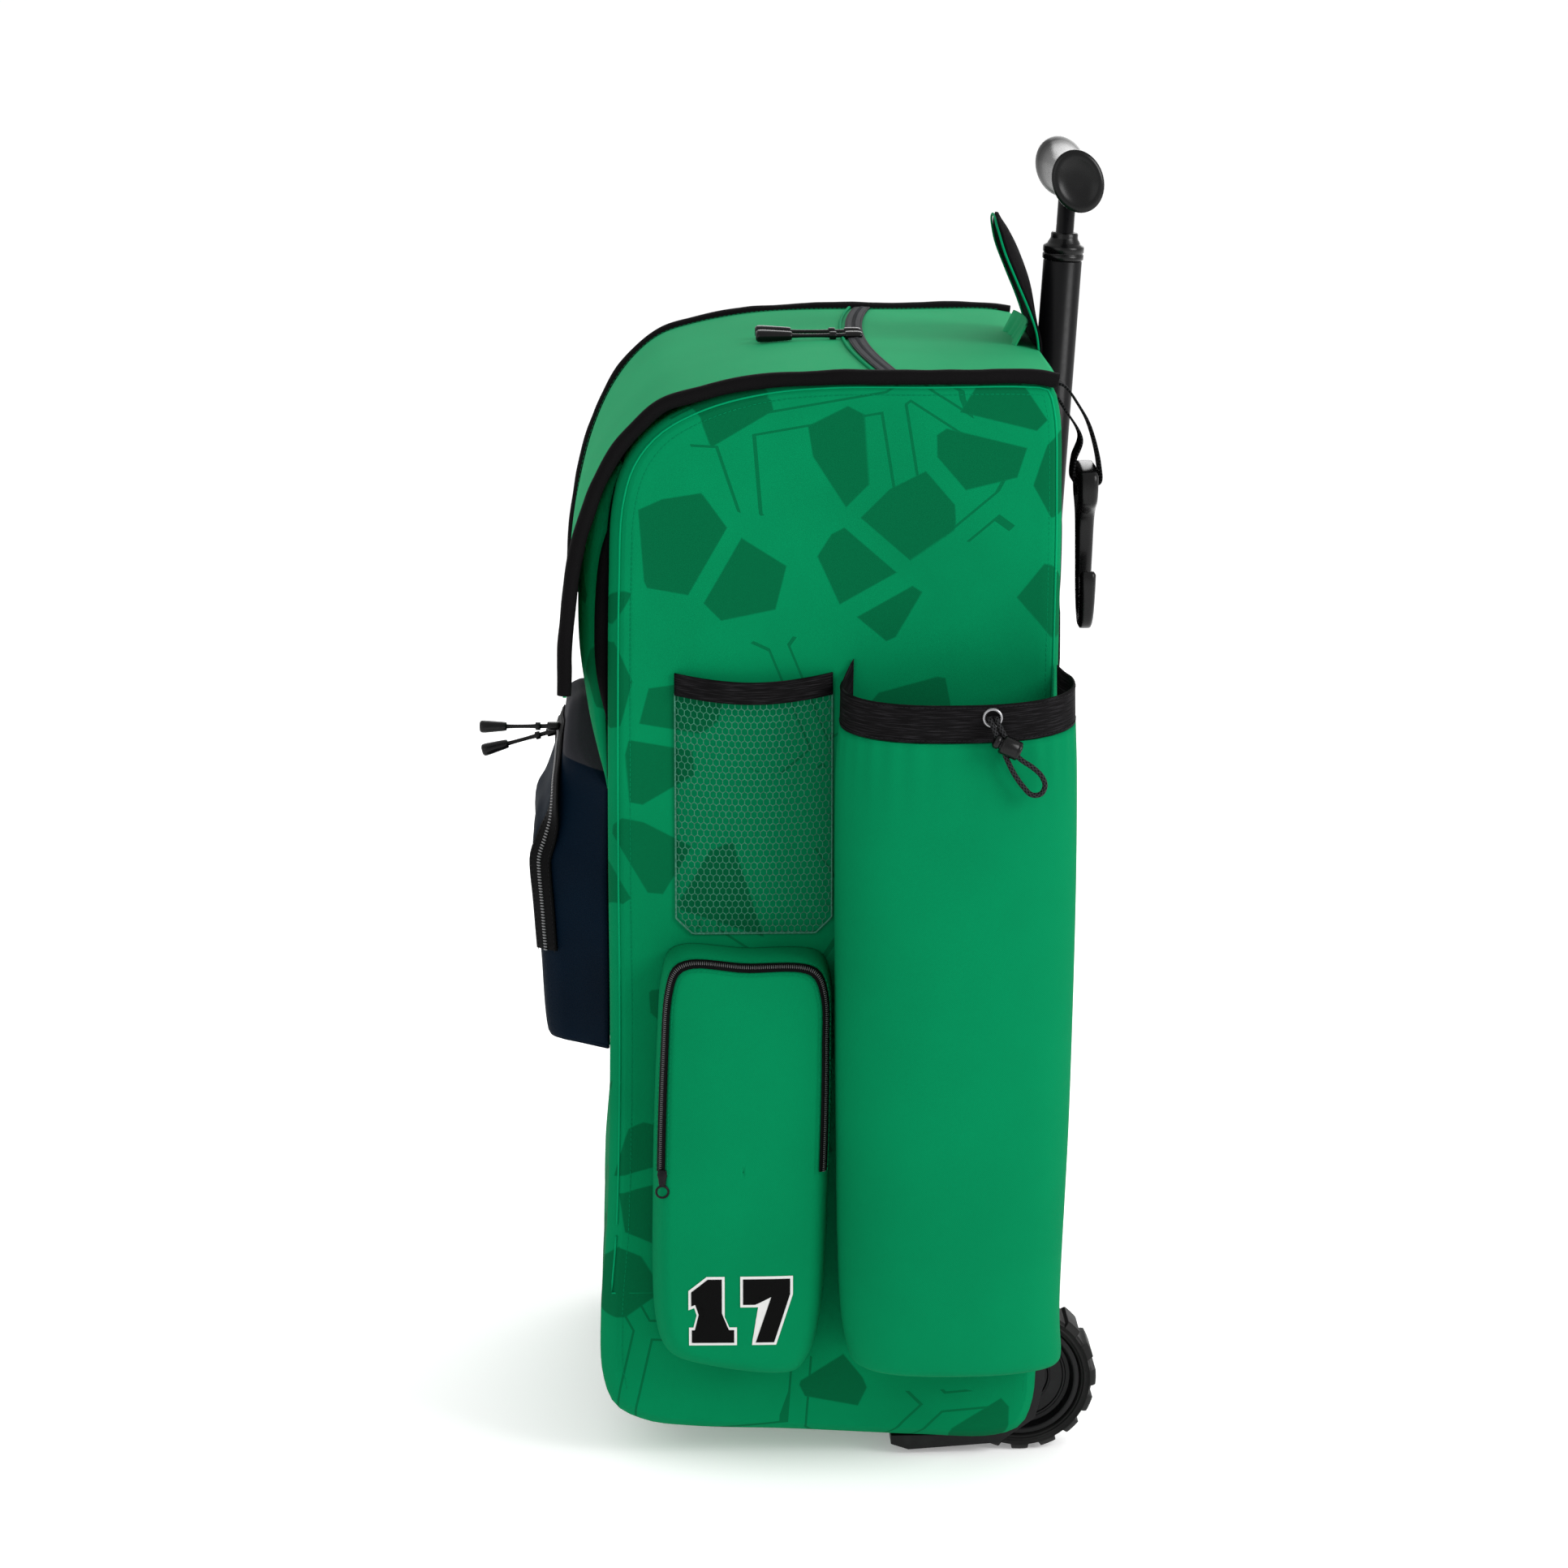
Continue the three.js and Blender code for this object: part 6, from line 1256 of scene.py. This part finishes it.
# Player's number: two plain block figures on each low pocket, heat-pressed in black over a
# slightly larger white backing.
FIGURE_ONE = (
    (0.04, 0.0), (0.94, 0.0), (0.94, 0.2), (0.68, 0.2), (0.68, 1.0), (0.38, 1.0), (0.03, 0.8), (0.03, 0.58), (0.3, 0.66),
    (0.3, 0.2), (0.04, 0.2),
)
FIGURE_SEVEN = (
    (0.0, 1.0), (1.0, 1.0), (1.0, 0.76), (0.66, 0.0), (0.27, 0.0), (0.6, 0.72), (0.26, 0.72), (0.26, 0.6), (0.0, 0.6),
)
FIGURE_WIDTH = 0.032
FIGURE_HEIGHT = 0.046
FIGURE_GAP = 0.0042
FIGURE_EDGE = 0.0019
NUMBER_Y = -0.0375
NUMBER_Z = 0.127
number_black = new_finish("pressed_black", (0.0015, 0.0015, 0.0015), 0.55, {"Specular IOR Level": 0.05})
number_white = new_finish("pressed_white", (0.6, 0.6, 0.59), 0.5, {"Specular IOR Level": 0.05})
for material, tree, inputs in (number_black, number_white):
    place = add_node(tree, "ShaderNodeTexCoord")["Object"]
    film = add_node(tree, "ShaderNodeTexNoise", None, {"Vector": place, "Scale": 800.0, "Detail": 2.0})["Fac"]
    bump = add_node(tree, "ShaderNodeBump", None, {"Strength": 0.15, "Distance": 0.0002, "Height": film})["Normal"]
    connect(tree, bump, inputs["Normal"])
    connect(tree, 0.42 + film * 0.2, inputs["Roughness"])


def grown_outline(points, grow):
    """A polygon's outline moved outwards all round."""
    points = [np.array(p, float) for p in points]
    turned_sum = sum(a[0] * b[1] - b[0] * a[1] for a, b in zip(points, points[1:] + points[:1]))
    sign = 1 if turned_sum > 0 else -1
    moved = []
    for before, here, after in zip(points[-1:] + points[:-1], points, points[1:] + points[:1]):
        first, second = (v / np.linalg.norm(v) for v in (here - before, after - here))
        n1, n2 = (sign * np.array((v[1], -v[0])) for v in (first, second))
        middle = n1 + n2
        middle /= np.linalg.norm(middle)
        moved.append(here + middle * grow / max(middle.dot(n1), 0.4))
    return moved


def pressed_plate(name, outline, side, rise, target):
    """A thin film cut to an outline, pressed onto a pocket's face."""
    shape = bmesh.new()
    points = [shape.verts.new((0.3 * side, y, z)) for y, z in outline]
    bmesh.ops.triangulate(shape, faces=[shape.faces.new(points)])
    bmesh.ops.subdivide_edges(shape, edges=shape.edges, cuts=5, use_grid_fill=True)
    ray = Vector((-side, 0, 0))
    for point in shape.verts:
        hit, normal, _, _ = target.ray_cast(point.co, ray)
        point.co = hit + Vector((side * rise, 0, 0))
    mesh = bpy.data.meshes.new(name)
    bmesh.ops.recalc_face_normals(shape, faces=shape.faces)
    shape.to_mesh(mesh)
    shape.free()
    plate = link_mesh(name, mesh)
    if mesh.polygons[0].normal.x * side < 0:
        mesh.flip_normals()
    flat_uv(plate)
    return wall(plate, 0.0003, 0.0)


for side, word in SIDES:
    pocket = bpy.data.objects[f"low_pocket_cloth_{word}"]
    face = BVHTree.FromPolygons([v.co[:] for v in pocket.data.vertices], [tuple(p.vertices) for p in pocket.data.polygons])
    for figure, (shares, order_side) in enumerate(((FIGURE_ONE, -1), (FIGURE_SEVEN, 1))):
        first_y = NUMBER_Y + side * (order_side * (FIGURE_WIDTH + FIGURE_GAP) / 2) - side * FIGURE_WIDTH / 2
        outline = [(first_y + side * a * FIGURE_WIDTH, NUMBER_Z - FIGURE_HEIGHT / 2 + h * FIGURE_HEIGHT) for a, h in shares]
        backing = pressed_plate(f"number_backing_{figure}_{word}", grown_outline(outline, FIGURE_EDGE), side, 0.0003, face)
        black = pressed_plate(f"number_{figure}_{word}", outline, side, 0.0006, face)
        dress(backing, number_white[0], "grey_tape", "bag")
        dress(black, number_black[0], "black_tape", "bag")

# Wheel: a rubber tyre with low, wide lugs on a moulded hub with a dished face, which turns on
# a steel axle between the housing's side plates.
TREAD_LUGS = 16
TREAD_DEPTH = 0.003
HUB_RADIUS = 0.041
HUB_ROWS = (
    (0.3, -0.9), (0.36, -0.4), (0.86, -0.4), (0.9, -0.86), (1.0, -0.86), (1.0, 0.86), (0.93, 0.9), (0.9, 0.86), (0.85, 0.58),
    (0.78, 0.55), (0.77, 0.6), (0.735, 0.6), (0.725, 0.55), (0.52, 0.55), (0.51, 0.6), (0.48, 0.6), (0.47, 0.55), (0.37, 0.56),
    (0.34, 0.88), (0.3, 0.9),
)
TYRE_SIDE = (
    (0.0413, 0.8), (0.0425, 0.9), (0.0436, 0.92), (0.0442, 0.97), (0.0452, 0.97), (0.0458, 0.94), (0.0472, 0.96), (0.0484, 1.0),
)
rubber, tree, inputs = new_finish("tyre_rubber", (0.004, 0.004, 0.0042), 0.5, {"Specular IOR Level": 0.15})
place = add_node(tree, "ShaderNodeTexCoord")["Object"]
grain = add_node(tree, "ShaderNodeTexNoise", None, {"Vector": place, "Scale": 420.0, "Detail": 4.0})["Fac"]
dust = add_node(tree, "ShaderNodeTexNoise", None, {"Vector": place, "Scale": 30.0, "Detail": 3.0})["Fac"]
connect(tree, mix_colour(tree, dust.step(0.45, 0.8), (0.003, 0.003, 0.003, 1), (0.009, 0.0088, 0.0085, 1)), inputs["Base Color"])
connect(tree, 0.38 + dust * 0.3, inputs["Roughness"])
bump = add_node(tree, "ShaderNodeBump", None, {"Strength": 0.3, "Distance": 0.0004, "Height": grain})["Normal"]
connect(tree, bump, inputs["Normal"])
moulded, tree, inputs = new_finish("moulded_plastic", (0.003, 0.003, 0.0034), 0.38, {"Specular IOR Level": 0.2})
place = add_node(tree, "ShaderNodeTexCoord")["Object"]
grain = add_node(tree, "ShaderNodeTexNoise", None, {"Vector": place, "Scale": 1500.0, "Detail": 2.0})["Fac"]
wear = add_node(tree, "ShaderNodeTexNoise", None, {"Vector": place, "Scale": 45.0, "Detail": 4.0})["Fac"]
connect(tree, mix_colour(tree, wear.step(0.55, 0.8), (0.0028, 0.0028, 0.0032, 1), (0.008, 0.008, 0.0088, 1)), inputs["Base Color"])
connect(tree, 0.28 + wear * 0.25, inputs["Roughness"])
bump = add_node(tree, "ShaderNodeBump", None, {"Strength": 0.2, "Distance": 0.0002, "Height": grain})["Normal"]
connect(tree, bump, inputs["Normal"])
for side, word in SIDES:
    centre = Vector((side * WHEEL_X, WHEEL_Y, WHEEL_Z))
    rings = []
    for k in range(TREAD_LUGS):
        for step in (-0.5, -0.4, -0.32, -0.27, -0.14, 0.0, 0.14, 0.27, 0.32, 0.4):
            angle = 2 * math.pi * (k + step) / TREAD_LUGS
            tread = WHEEL_RADIUS - (TREAD_DEPTH if abs(step) > 0.3 else 0)
            half = list(TYRE_SIDE) + [(tread - 0.0012, 0.88), (tread, 0.78), (tread, 0.4)]
            section = half + [(tread, 0.0)] + [(r, -x) for r, x in half[::-1]]
            run, rise = math.cos(angle), math.sin(angle)
            rings.append([centre + Vector((side * x * WHEEL_HALF, r * run, r * rise)) for r, x in section])
    rings.append(rings[0])
    tyre = turn_out(grid_piece(f"tyre_{word}", rings, closed=True), merge=0.000001)
    dress(soften(tyre, 0.0005, 2, 28), rubber, "black_rubber", f"wheel_{word}", f"wheel_tyre_{word}")
    hub_profile = [(0.00445, -0.9 * WHEEL_HALF)] + [(r * HUB_RADIUS, x * WHEEL_HALF) for r, x in HUB_ROWS]
    hub_profile += [(0.00445, 0.9 * WHEEL_HALF), (0.00445, -0.9 * WHEEL_HALF)]
    hub = turned(f"hub_{word}", hub_profile, centre, (side, 0, 0), 72)
    dress(soften(hub, 0.0004, 2, 28), moulded, "black_plastic", f"wheel_{word}", f"wheel_hub_{word}")
    axle_low, axle_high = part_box(f"axle_{word}")
    reach = (axle_high[0] - axle_low[0]) / 2
    head = (axle_high[2] - axle_low[2]) / 2
    axle_half = [(0.004, 0), (0.004, reach - 0.0024), (head, reach - 0.0024), (head, reach - 0.0012), (0.7 * head, reach), (0, reach)]
    axle_profile = [(r, -h) for r, h in axle_half[::-1][:-1]] + axle_half
    axle_middle = ((axle_low[0] + axle_high[0]) / 2, WHEEL_Y, WHEEL_Z)
    dress(turned(f"axle_pin_{word}", axle_profile, axle_middle, (1, 0, 0), 40), steel, "steel", "bag", f"axle_{word}")

# Wheel housings and base skid: moulded plastic, riveted under the compartment's rear corners
# and floor. The skid's socket holds the foot of the handle's tube.


def remade(node, name, width, angle=28, segments=2):
    """A moulded piece from a CAD solid: its loose facets joined, and its edges rounded."""
    shape = bmesh.new()
    shape.from_mesh(bpy.data.objects[node].data)
    bmesh.ops.remove_doubles(shape, verts=shape.verts, dist=0.00002)
    bmesh.ops.dissolve_limit(shape, angle_limit=math.radians(1.0), verts=shape.verts, edges=shape.edges)
    mesh = bpy.data.meshes.new(name)
    shape.to_mesh(mesh)
    shape.free()
    piece = link_mesh(name, mesh)
    flat_uv(piece)
    return soften(piece, width, segments, angle)


for side, word in SIDES:
    node = f"wheel_housing_{word}"
    dress(remade(node, f"housing_moulding_{word}", 0.0006), moulded, "black_plastic", "bag", node)
dress(remade("base_skid", "skid_moulding", 0.0014, 32), moulded, "black_plastic", "bag", "base_skid")

# Handle: a fixed tube of painted aluminium with a stepped plastic collar, and a rod with a
# moulded T grip that slides in it.
TUBE_WALL = 0.002
COLLAR_LENGTH = 0.019
ROD_RADIUS = 0.00625
ROD_SHOWN = 0.027
ROD_HIDDEN = 0.42
ROD_PLAY = 0.0004
collar_base = TUBE_LENGTH + GAP
rod_top = collar_base + COLLAR_LENGTH + ROD_SHOWN
inner_radius = TUBE_RADIUS - TUBE_WALL
tube_profile = [
    (inner_radius, 0), (TUBE_RADIUS, 0), (TUBE_RADIUS, TUBE_LENGTH - 0.0006), (TUBE_RADIUS - 0.0006, TUBE_LENGTH), (inner_radius, TUBE_LENGTH),
]
tube = turned("handle_tube_drawn", tube_profile + tube_profile[:1], TUBE_FOOT, HANDLE_AXIS, 56)
dress(tube, painted_metal, "black_metal", "bag", "handle_tube")
COLLAR_ROWS = ((1.0, 0.0), (1.06, 0.04), (1.06, 0.2), (1.02, 0.22), (1.02, 0.27), (1.06, 0.29), (1.06, 0.47), (1.02, 0.52),
               (0.86, 0.58), (0.83, 0.63), (0.72, 0.76), (0.7, 0.82), (0.7, 0.94), (0.66, 1.0))
bore = ROD_RADIUS + ROD_PLAY
collar_profile = [(bore, collar_base)] + [(r * TUBE_RADIUS, collar_base + a * COLLAR_LENGTH) for r, a in COLLAR_ROWS]
collar_profile += [(bore, collar_base + COLLAR_LENGTH), (bore, collar_base)]
collar = turned("collar_moulding", collar_profile, TUBE_FOOT, HANDLE_AXIS, 56)
dress(collar, gloss_plastic, "black_plastic", "bag", "handle_collar")
rod_foot = rod_top - ROD_SHOWN - ROD_HIDDEN
rod_profile = [
    (0, rod_foot), (inner_radius - ROD_PLAY, rod_foot), (inner_radius - ROD_PLAY, rod_foot + 0.03), (ROD_RADIUS, rod_foot + 0.0305),
    (ROD_RADIUS, rod_top), (0, rod_top),
]
dress(turned("handle_rod_drawn", rod_profile, TUBE_FOOT, HANDLE_AXIS, 48), painted_metal, "black_metal", "handle", "handle_rod")

GRIP_ROWS = (
    (0.0, 0.0), (0.2, 0.01), (0.4, 0.06), (0.56, 0.17), (0.7, 0.36), (0.8, 0.6), (0.88, 0.86), (0.93, 0.98), (0.965, 1.0), (0.99, 0.95),
)
GRIP_HALF = 0.062
GRIP_MIDDLE = 0.015
GRIP_END = 0.022
GRIP_FLATNESS = 0.8
GRIP_TURN = HANDLE_LEAN - math.radians(23)
grip_centre = TUBE_FOOT + HANDLE_AXIS * (rod_top + 0.9 * GRIP_MIDDLE)
grip_up = Vector((0, math.sin(GRIP_TURN), math.cos(GRIP_TURN)))
grip_across = Vector((0, math.cos(GRIP_TURN), -math.sin(GRIP_TURN)))
half_rows = [(a * GRIP_HALF, GRIP_MIDDLE + f * (GRIP_END - GRIP_MIDDLE)) for a, f in smooth_line(GRIP_ROWS, 44)]
end_rows = [(1.0 * GRIP_HALF, 0.86 * GRIP_END), (1.0 * GRIP_HALF, 0.74 * GRIP_END), (0.985 * GRIP_HALF, 0.68 * GRIP_END), (0.98 * GRIP_HALF, 0.2 * GRIP_END)]
half_rows += end_rows
grip_rings = []
for x, radius in [(-x, r) for x, r in half_rows[::-1]] + half_rows[1:]:
    turn = np.linspace(0, 2 * math.pi, 48, endpoint=False)
    grip_rings.append([
        grip_centre + Vector((x, 0, 0)) + grip_up * (radius * math.cos(t)) + grip_across * (GRIP_FLATNESS * radius * math.sin(t)) for t in turn
    ])
grip = turn_out(grid_piece("grip_moulding", grip_rings, closed=True, ends=True))
dress(grip, gloss_plastic, "black_plastic", "handle", "handle_grip")

# Handle cover: a leaf-shaped flap of stiffened black cloth that stands up in front of the tube,
# with a thin green line sewn inside its edge. A pleated green web joins its root to the flap.
COVER_ROWS = (
    (0.0, 0.9, 0.0, 0.0), (0.14, 0.96, 0.0, 0.0), (0.31, 1.0, 0.05, 0.3), (0.55, 0.94, 0.2, 0.9), (0.74, 0.8, 0.46, 1.0),
    (0.88, 0.58, 0.72, 0.7), (0.966, 0.3, 0.93, 0.3), (1.0, 0.1, 1.0, 0.0),
)
COVER_WIDTH = 0.108
COVER_HEIGHT = 0.101
COVER_CLOTH = 0.0018
COVER_LEAN = 0.027
COVER_CURL = 0.01
cover_base = bag_z(0.988)
cover_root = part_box("handle_cover")[1][1]


def cover_point(row, side, lift=0.0):
    height, wide, lean, curl = row
    y = cover_root - lift - lean * COVER_LEAN - curl * COVER_CURL * side * side
    return (side * wide * COVER_WIDTH / 2, y, cover_base + height * COVER_HEIGHT)


cover_table = smooth_line(COVER_ROWS, 48)
cover_rows = [[cover_point(row, s) for s in np.linspace(-1, 1, 33)] for row in cover_table]
cover = grid_piece("cover_cloth", cover_rows)
wall(cover, COVER_CLOTH, 1.0)
dress(cover, black_cloth, "black_cloth", "bag", "handle_cover")
edge_line = [cover_point(row, -1 + 0.007 / row[1], COVER_CLOTH + 0.0006) for row in cover_table[2:-3]]
edge_line += [cover_point(row, 1 - 0.007 / row[1], COVER_CLOTH + 0.0006) for row in cover_table[2:-3][::-1]]
dress(tube_piece("cover_edge_line", smooth_line(edge_line[::3], 160), 0.0008, 8), fold_green_and_highlight, "top_cloth", "bag")

WEB_FOLDS = 5
WEB_SLOPE = 0.008
WEB_PLEAT = 0.003
web_low, web_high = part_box("cover_gusset")
web_rows = []
for v in np.linspace(0, 1, 14):
    line = []
    for u in np.linspace(0, 1, 121):
        s = 2 * u - 1
        front = cover_point((0, 1, 0.1, 0.45), s, COVER_CLOTH + ELASTIC + GAP)[1]
        pleat = (0.5 - 0.5 * math.cos(2 * math.pi * WEB_FOLDS * u)) * (1 - v)
        line.append((s * web_high[0], front - (1 - v) * WEB_SLOPE - WEB_PLEAT * pleat, web_low[2] + v * (web_high[2] - web_low[2])))
    web_rows.append(line)
web = grid_piece("cover_web", web_rows)
wall(web, ELASTIC, 0.0)
# The web is dressed in the flap's cloth, so it carries the same painted sheen.
dress(web, top_cloth, "top_cloth", "bag", "cover_gusset")

# Back panel: a padded cloth panel, zipped over the compartment's mouth. Foam runs between its
# sewn channels, and the handle's tube lies in a groove down its middle.
BACK_PAD = 0.009
BACK_CHANNEL = 0.0615
BACK_PAD_ROWS = ((0.0, 0.0), (0.005, 0.2), (0.07, 0.55), (0.2, 0.95), (0.5, 1.0), (0.8, 0.95), (0.93, 0.55), (0.995, 0.2), (1.0, 0.0))
panel_low, panel_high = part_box("back_panel")
pad_table = np.array(BACK_PAD_ROWS)
panel_rows = []
stitch_levels = []
for z in np.linspace(panel_low[2], panel_high[2], 150):
    v = (z - panel_low[2]) / (panel_high[2] - panel_low[2])
    back = face_y(z, 1) + GAP
    near_seam = abs((z - panel_low[2]) / BACK_CHANNEL - round((z - panel_low[2]) / BACK_CHANNEL)) * BACK_CHANNEL
    quilt = 0.45 + 0.55 * min(1.0, near_seam / 0.014) ** 0.5
    outer = []
    for u in np.linspace(0, 1, 90):
        rise = float(np.interp(u, pad_table[:, 0], pad_table[:, 1]))
        lift = BACK_PAD * (0.55 + 0.45 * math.sin(math.pi * v)) * rise * quilt
        lift += 0.0012 * noise.noise(Vector((u * 9, z * 22, 30.0))) * rise
        outer.append(((2 * u - 1) * panel_high[0], back + max(lift, 0.0006), z))
    inner = [((2 * u - 1) * panel_high[0], back, z) for u in (1.0, 0.75, 0.5, 0.25, 0.0)]
    panel_rows.append(outer + inner)
    if near_seam < 0.0024 and 0.04 < v < 0.96 and not (stitch_levels and z - stitch_levels[-1][0] < 0.02):
        stitch_levels.append((z, outer))
back_panel = turn_out(grid_piece("back_panel_cloth", panel_rows, closed=True, ends=True))
cut_away(back_panel, *wells(2 * GAP), channel(2 * GAP))
flat_uv(back_panel)
back_panel.data.polygons.foreach_set("use_smooth", [True] * len(back_panel.data.polygons))
dress(back_panel, black_cloth, "black_cloth", "bag", "back_panel")
for number, (z, outer) in enumerate(stitch_levels):
    for half, line in (("left", outer[4:38]), ("right", outer[-38:-4])):
        facing = np.tile([0.0, 1.0, 0.0], (len(line), 1))
        stitch(f"back_stitch_{half}_{number}", np.array(line) + (0, 0.0003, 0), facing, black_thread, "black_cloth")

# Tube tunnel: a strip of the same cloth sewn over the place where the tube enters the panel.
TUNNEL_HALF = 0.026
TUNNEL_LOW, TUNNEL_HIGH = 0.36, 0.575
tunnel_rows = []
for z in np.linspace(TUNNEL_LOW, TUNNEL_HIGH, 60):
    v = (z - panel_low[2]) / (panel_high[2] - panel_low[2])
    pad_face = face_y(z, 1) + GAP + BACK_PAD * (0.55 + 0.45 * math.sin(math.pi * v)) + 0.0008
    tube_face = TUBE_FOOT.y + (z - TUBE_FOOT.z) * math.tan(HANDLE_LEAN) + TUBE_RADIUS / math.cos(HANDLE_LEAN)
    crest = max(tube_face + 0.0012, pad_face + 0.001)
    row = []
    for share in np.linspace(-1, 1, 25):
        arch = math.sqrt(max(0.0, 1 - (abs(share) * 1.12) ** 2)) if abs(share) < 0.89 else 0.0
        row.append((share * TUNNEL_HALF, pad_face + (crest - pad_face) * arch, z))
    tunnel_rows.append(row)
tunnel = grid_piece("tube_tunnel", tunnel_rows)
if tunnel.data.polygons[12].normal.y < 0:
    tunnel.data.flip_normals()
wall(tunnel, 0.0009, 1.0)
dress(tunnel, black_cloth, "black_cloth", "bag")
for side, word in ((-1, "left"), (1, "right")):
    tunnel_edge = np.array([row[12 + 11 * side] for row in tunnel_rows]) + (0, 0.0011, 0)
    facing = np.tile([0.0, 1.0, 0.0], (len(tunnel_edge), 1))
    stitch(f"tunnel_stitch_{word}", tunnel_edge, facing, black_thread, "black_cloth")

# Fence hook: a moulded hook for hanging the bag on a fence. It hangs from a loop of webbing
# that is sewn into the compartment's top back seam.
HOOK_ROWS = (
    (-0.72, 0.03), (-0.6, 0.0), (0.6, 0.0), (0.72, 0.03), (0.72, 0.2), (0.24, 0.33), (0.16, 0.6), (0.16, 0.82), (0.26, 0.9),
    (0.48, 0.94), (0.7, 0.9), (0.82, 0.8), (0.86, 0.66), (1.12, 0.64), (1.18, 0.8), (1.02, 0.97), (0.72, 1.05), (0.3, 1.05),
    (0.0, 0.97), (-0.16, 0.84), (-0.18, 0.6), (-0.28, 0.33), (-0.72, 0.2),
)
HOOK_X, HOOK_Y, HOOK_TOP = 0.1, 0.2025, 0.686
HOOK_HEIGHT, HOOK_WIDTH, HOOK_THICK, HOOK_BAR = 0.104, 0.056, 0.012, 0.009
WEBBING, WEBBING_WIDTH = 0.0016, 0.025
outline = smooth_line([(0, a * HOOK_WIDTH / 2, -h * HOOK_HEIGHT) for a, h in HOOK_ROWS], 150, True)
rings = []
for layer in np.linspace(-1, 1, 9):
    inset = 0.0026 * (1 - math.sqrt(max(0.0, 1 - abs(layer) ** 5)))
    normal = outward(outline, True)
    middle_side = np.sign(((outline[:, 1:] + normal[:, 1:] * 0.001 - outline[:, 1:].mean(axis=0)) ** 2).sum() - ((outline[:, 1:] - outline[:, 1:].mean(axis=0)) ** 2).sum())
    ring = outline - normal * inset * middle_side
    thick = HOOK_THICK * (1.18 - 0.38 * np.clip(-ring[:, 2] / HOOK_HEIGHT, 0, 1))
    rings.append(np.stack([ring[:, 1], layer * thick / 2, ring[:, 2]], axis=1))
hook = turn_out(grid_piece("hook_moulding", rings, closed=True, ends=True))
eye = WEBBING_WIDTH / 2 + 0.0015
hook_eye = prism("hook_eye", [(-0.02, -HOOK_BAR), (0.02, -HOOK_BAR), (0.02, -2 * HOOK_BAR), (-0.02, -2 * HOOK_BAR)], -eye, eye)
cut_away(hook, hook_eye)
hook.data.transform(Matrix.Translation((HOOK_X, HOOK_Y, HOOK_TOP)) @ Matrix.Rotation(math.radians(5), 4, "Y"))
flat_uv(hook)
dress(hook, gloss_plastic, "black_plastic", "bag", "fence_hook")

webbing_finish, tree, inputs = new_finish("webbing", (0.0035, 0.0035, 0.004), 0.7, {"Specular IOR Level": 0.05})
split = add_node(tree, "ShaderNodeSeparateXYZ", None, (add_node(tree, "ShaderNodeUVMap")["UV"],))
twill = (split["X"] * (2 * math.pi / 0.0016) + split["Y"] * (2 * math.pi / 0.0022)).sin()
bump = add_node(tree, "ShaderNodeBump", None, {"Strength": 0.6, "Distance": 0.0004, "Height": twill})["Normal"]
connect(tree, bump, inputs["Normal"])
connect(tree, mix_colour(tree, twill.step(-0.6, 1.0), (0.0025, 0.0025, 0.003, 1), (0.016, 0.016, 0.017, 1)), inputs["Base Color"])
reach = HOOK_THICK / 2 + WEBBING + 3 * GAP
high_z, low_z = bag_z(0.983), bag_z(0.972)
out_y = face_y(low_z, 1) + BACK_PAD
web_run = (
    (face_y(high_z, 1) + 4 * GAP, high_z), (out_y, high_z - 0.001), (HOOK_Y - 0.6 * reach, bag_z(0.96)),
    (HOOK_Y + 0.2 * reach, HOOK_TOP + 0.028), (HOOK_Y + reach, HOOK_TOP + 0.002), (HOOK_Y + reach, HOOK_TOP - HOOK_BAR - 0.001),
    (HOOK_Y, HOOK_TOP - HOOK_BAR - 2 * GAP - WEBBING), (HOOK_Y - reach, HOOK_TOP - HOOK_BAR - 0.001), (HOOK_Y - reach, HOOK_TOP + 0.005),
    (HOOK_Y - 0.5 * reach, HOOK_TOP + 0.02), (out_y + 0.002, low_z - 0.01), (out_y - 0.004, low_z - 0.001),
    (face_y(low_z, 1) + 4 * GAP, low_z),
)
web_line = smooth_line([(HOOK_X, y, z) for y, z in web_run], 150)
strap = ribbon("hook_strap", web_line, np.tile([1.0, 0.0, 0.0], (150, 1)), outward(web_line), WEBBING_WIDTH / 2, WEBBING)
strap.modifiers["wall"].offset = 0.0
dress(strap, webbing_finish, "webbing", "bag", "hook_webbing")

# Low grab strap: a length of doubled webbing across the lower back, tacked at both ends, for
# lifting the bag into a car.
grab_low, grab_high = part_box("grab_strap")
GRAB_RISE = 0.011
grab_shares = np.linspace(-1, 1, 80)
grab_half = (grab_high[2] - grab_low[2]) / 2
grab_root = grab_high[1] - WEBBING - GRAB_RISE
grab_line = [(s * (grab_high[0] - 0.0005), grab_root + GRAB_RISE * (1 - s ** 4), (grab_low[2] + grab_high[2]) / 2) for s in grab_shares]
grab_line = np.array(grab_line)
slope = np.gradient(grab_line, axis=0)
grab_out = np.stack([-slope[:, 1], slope[:, 0], np.zeros(80)], axis=1)
grab_out /= np.linalg.norm(grab_out, axis=1)[:, None]
grab = ribbon("grab_webbing", grab_line, np.tile([0.0, 0.0, 1.0], (80, 1)), grab_out, grab_half, 2 * WEBBING)
grab.modifiers["wall"].offset = 0.0
dress(grab, webbing_finish, "webbing", "bag", "grab_strap")
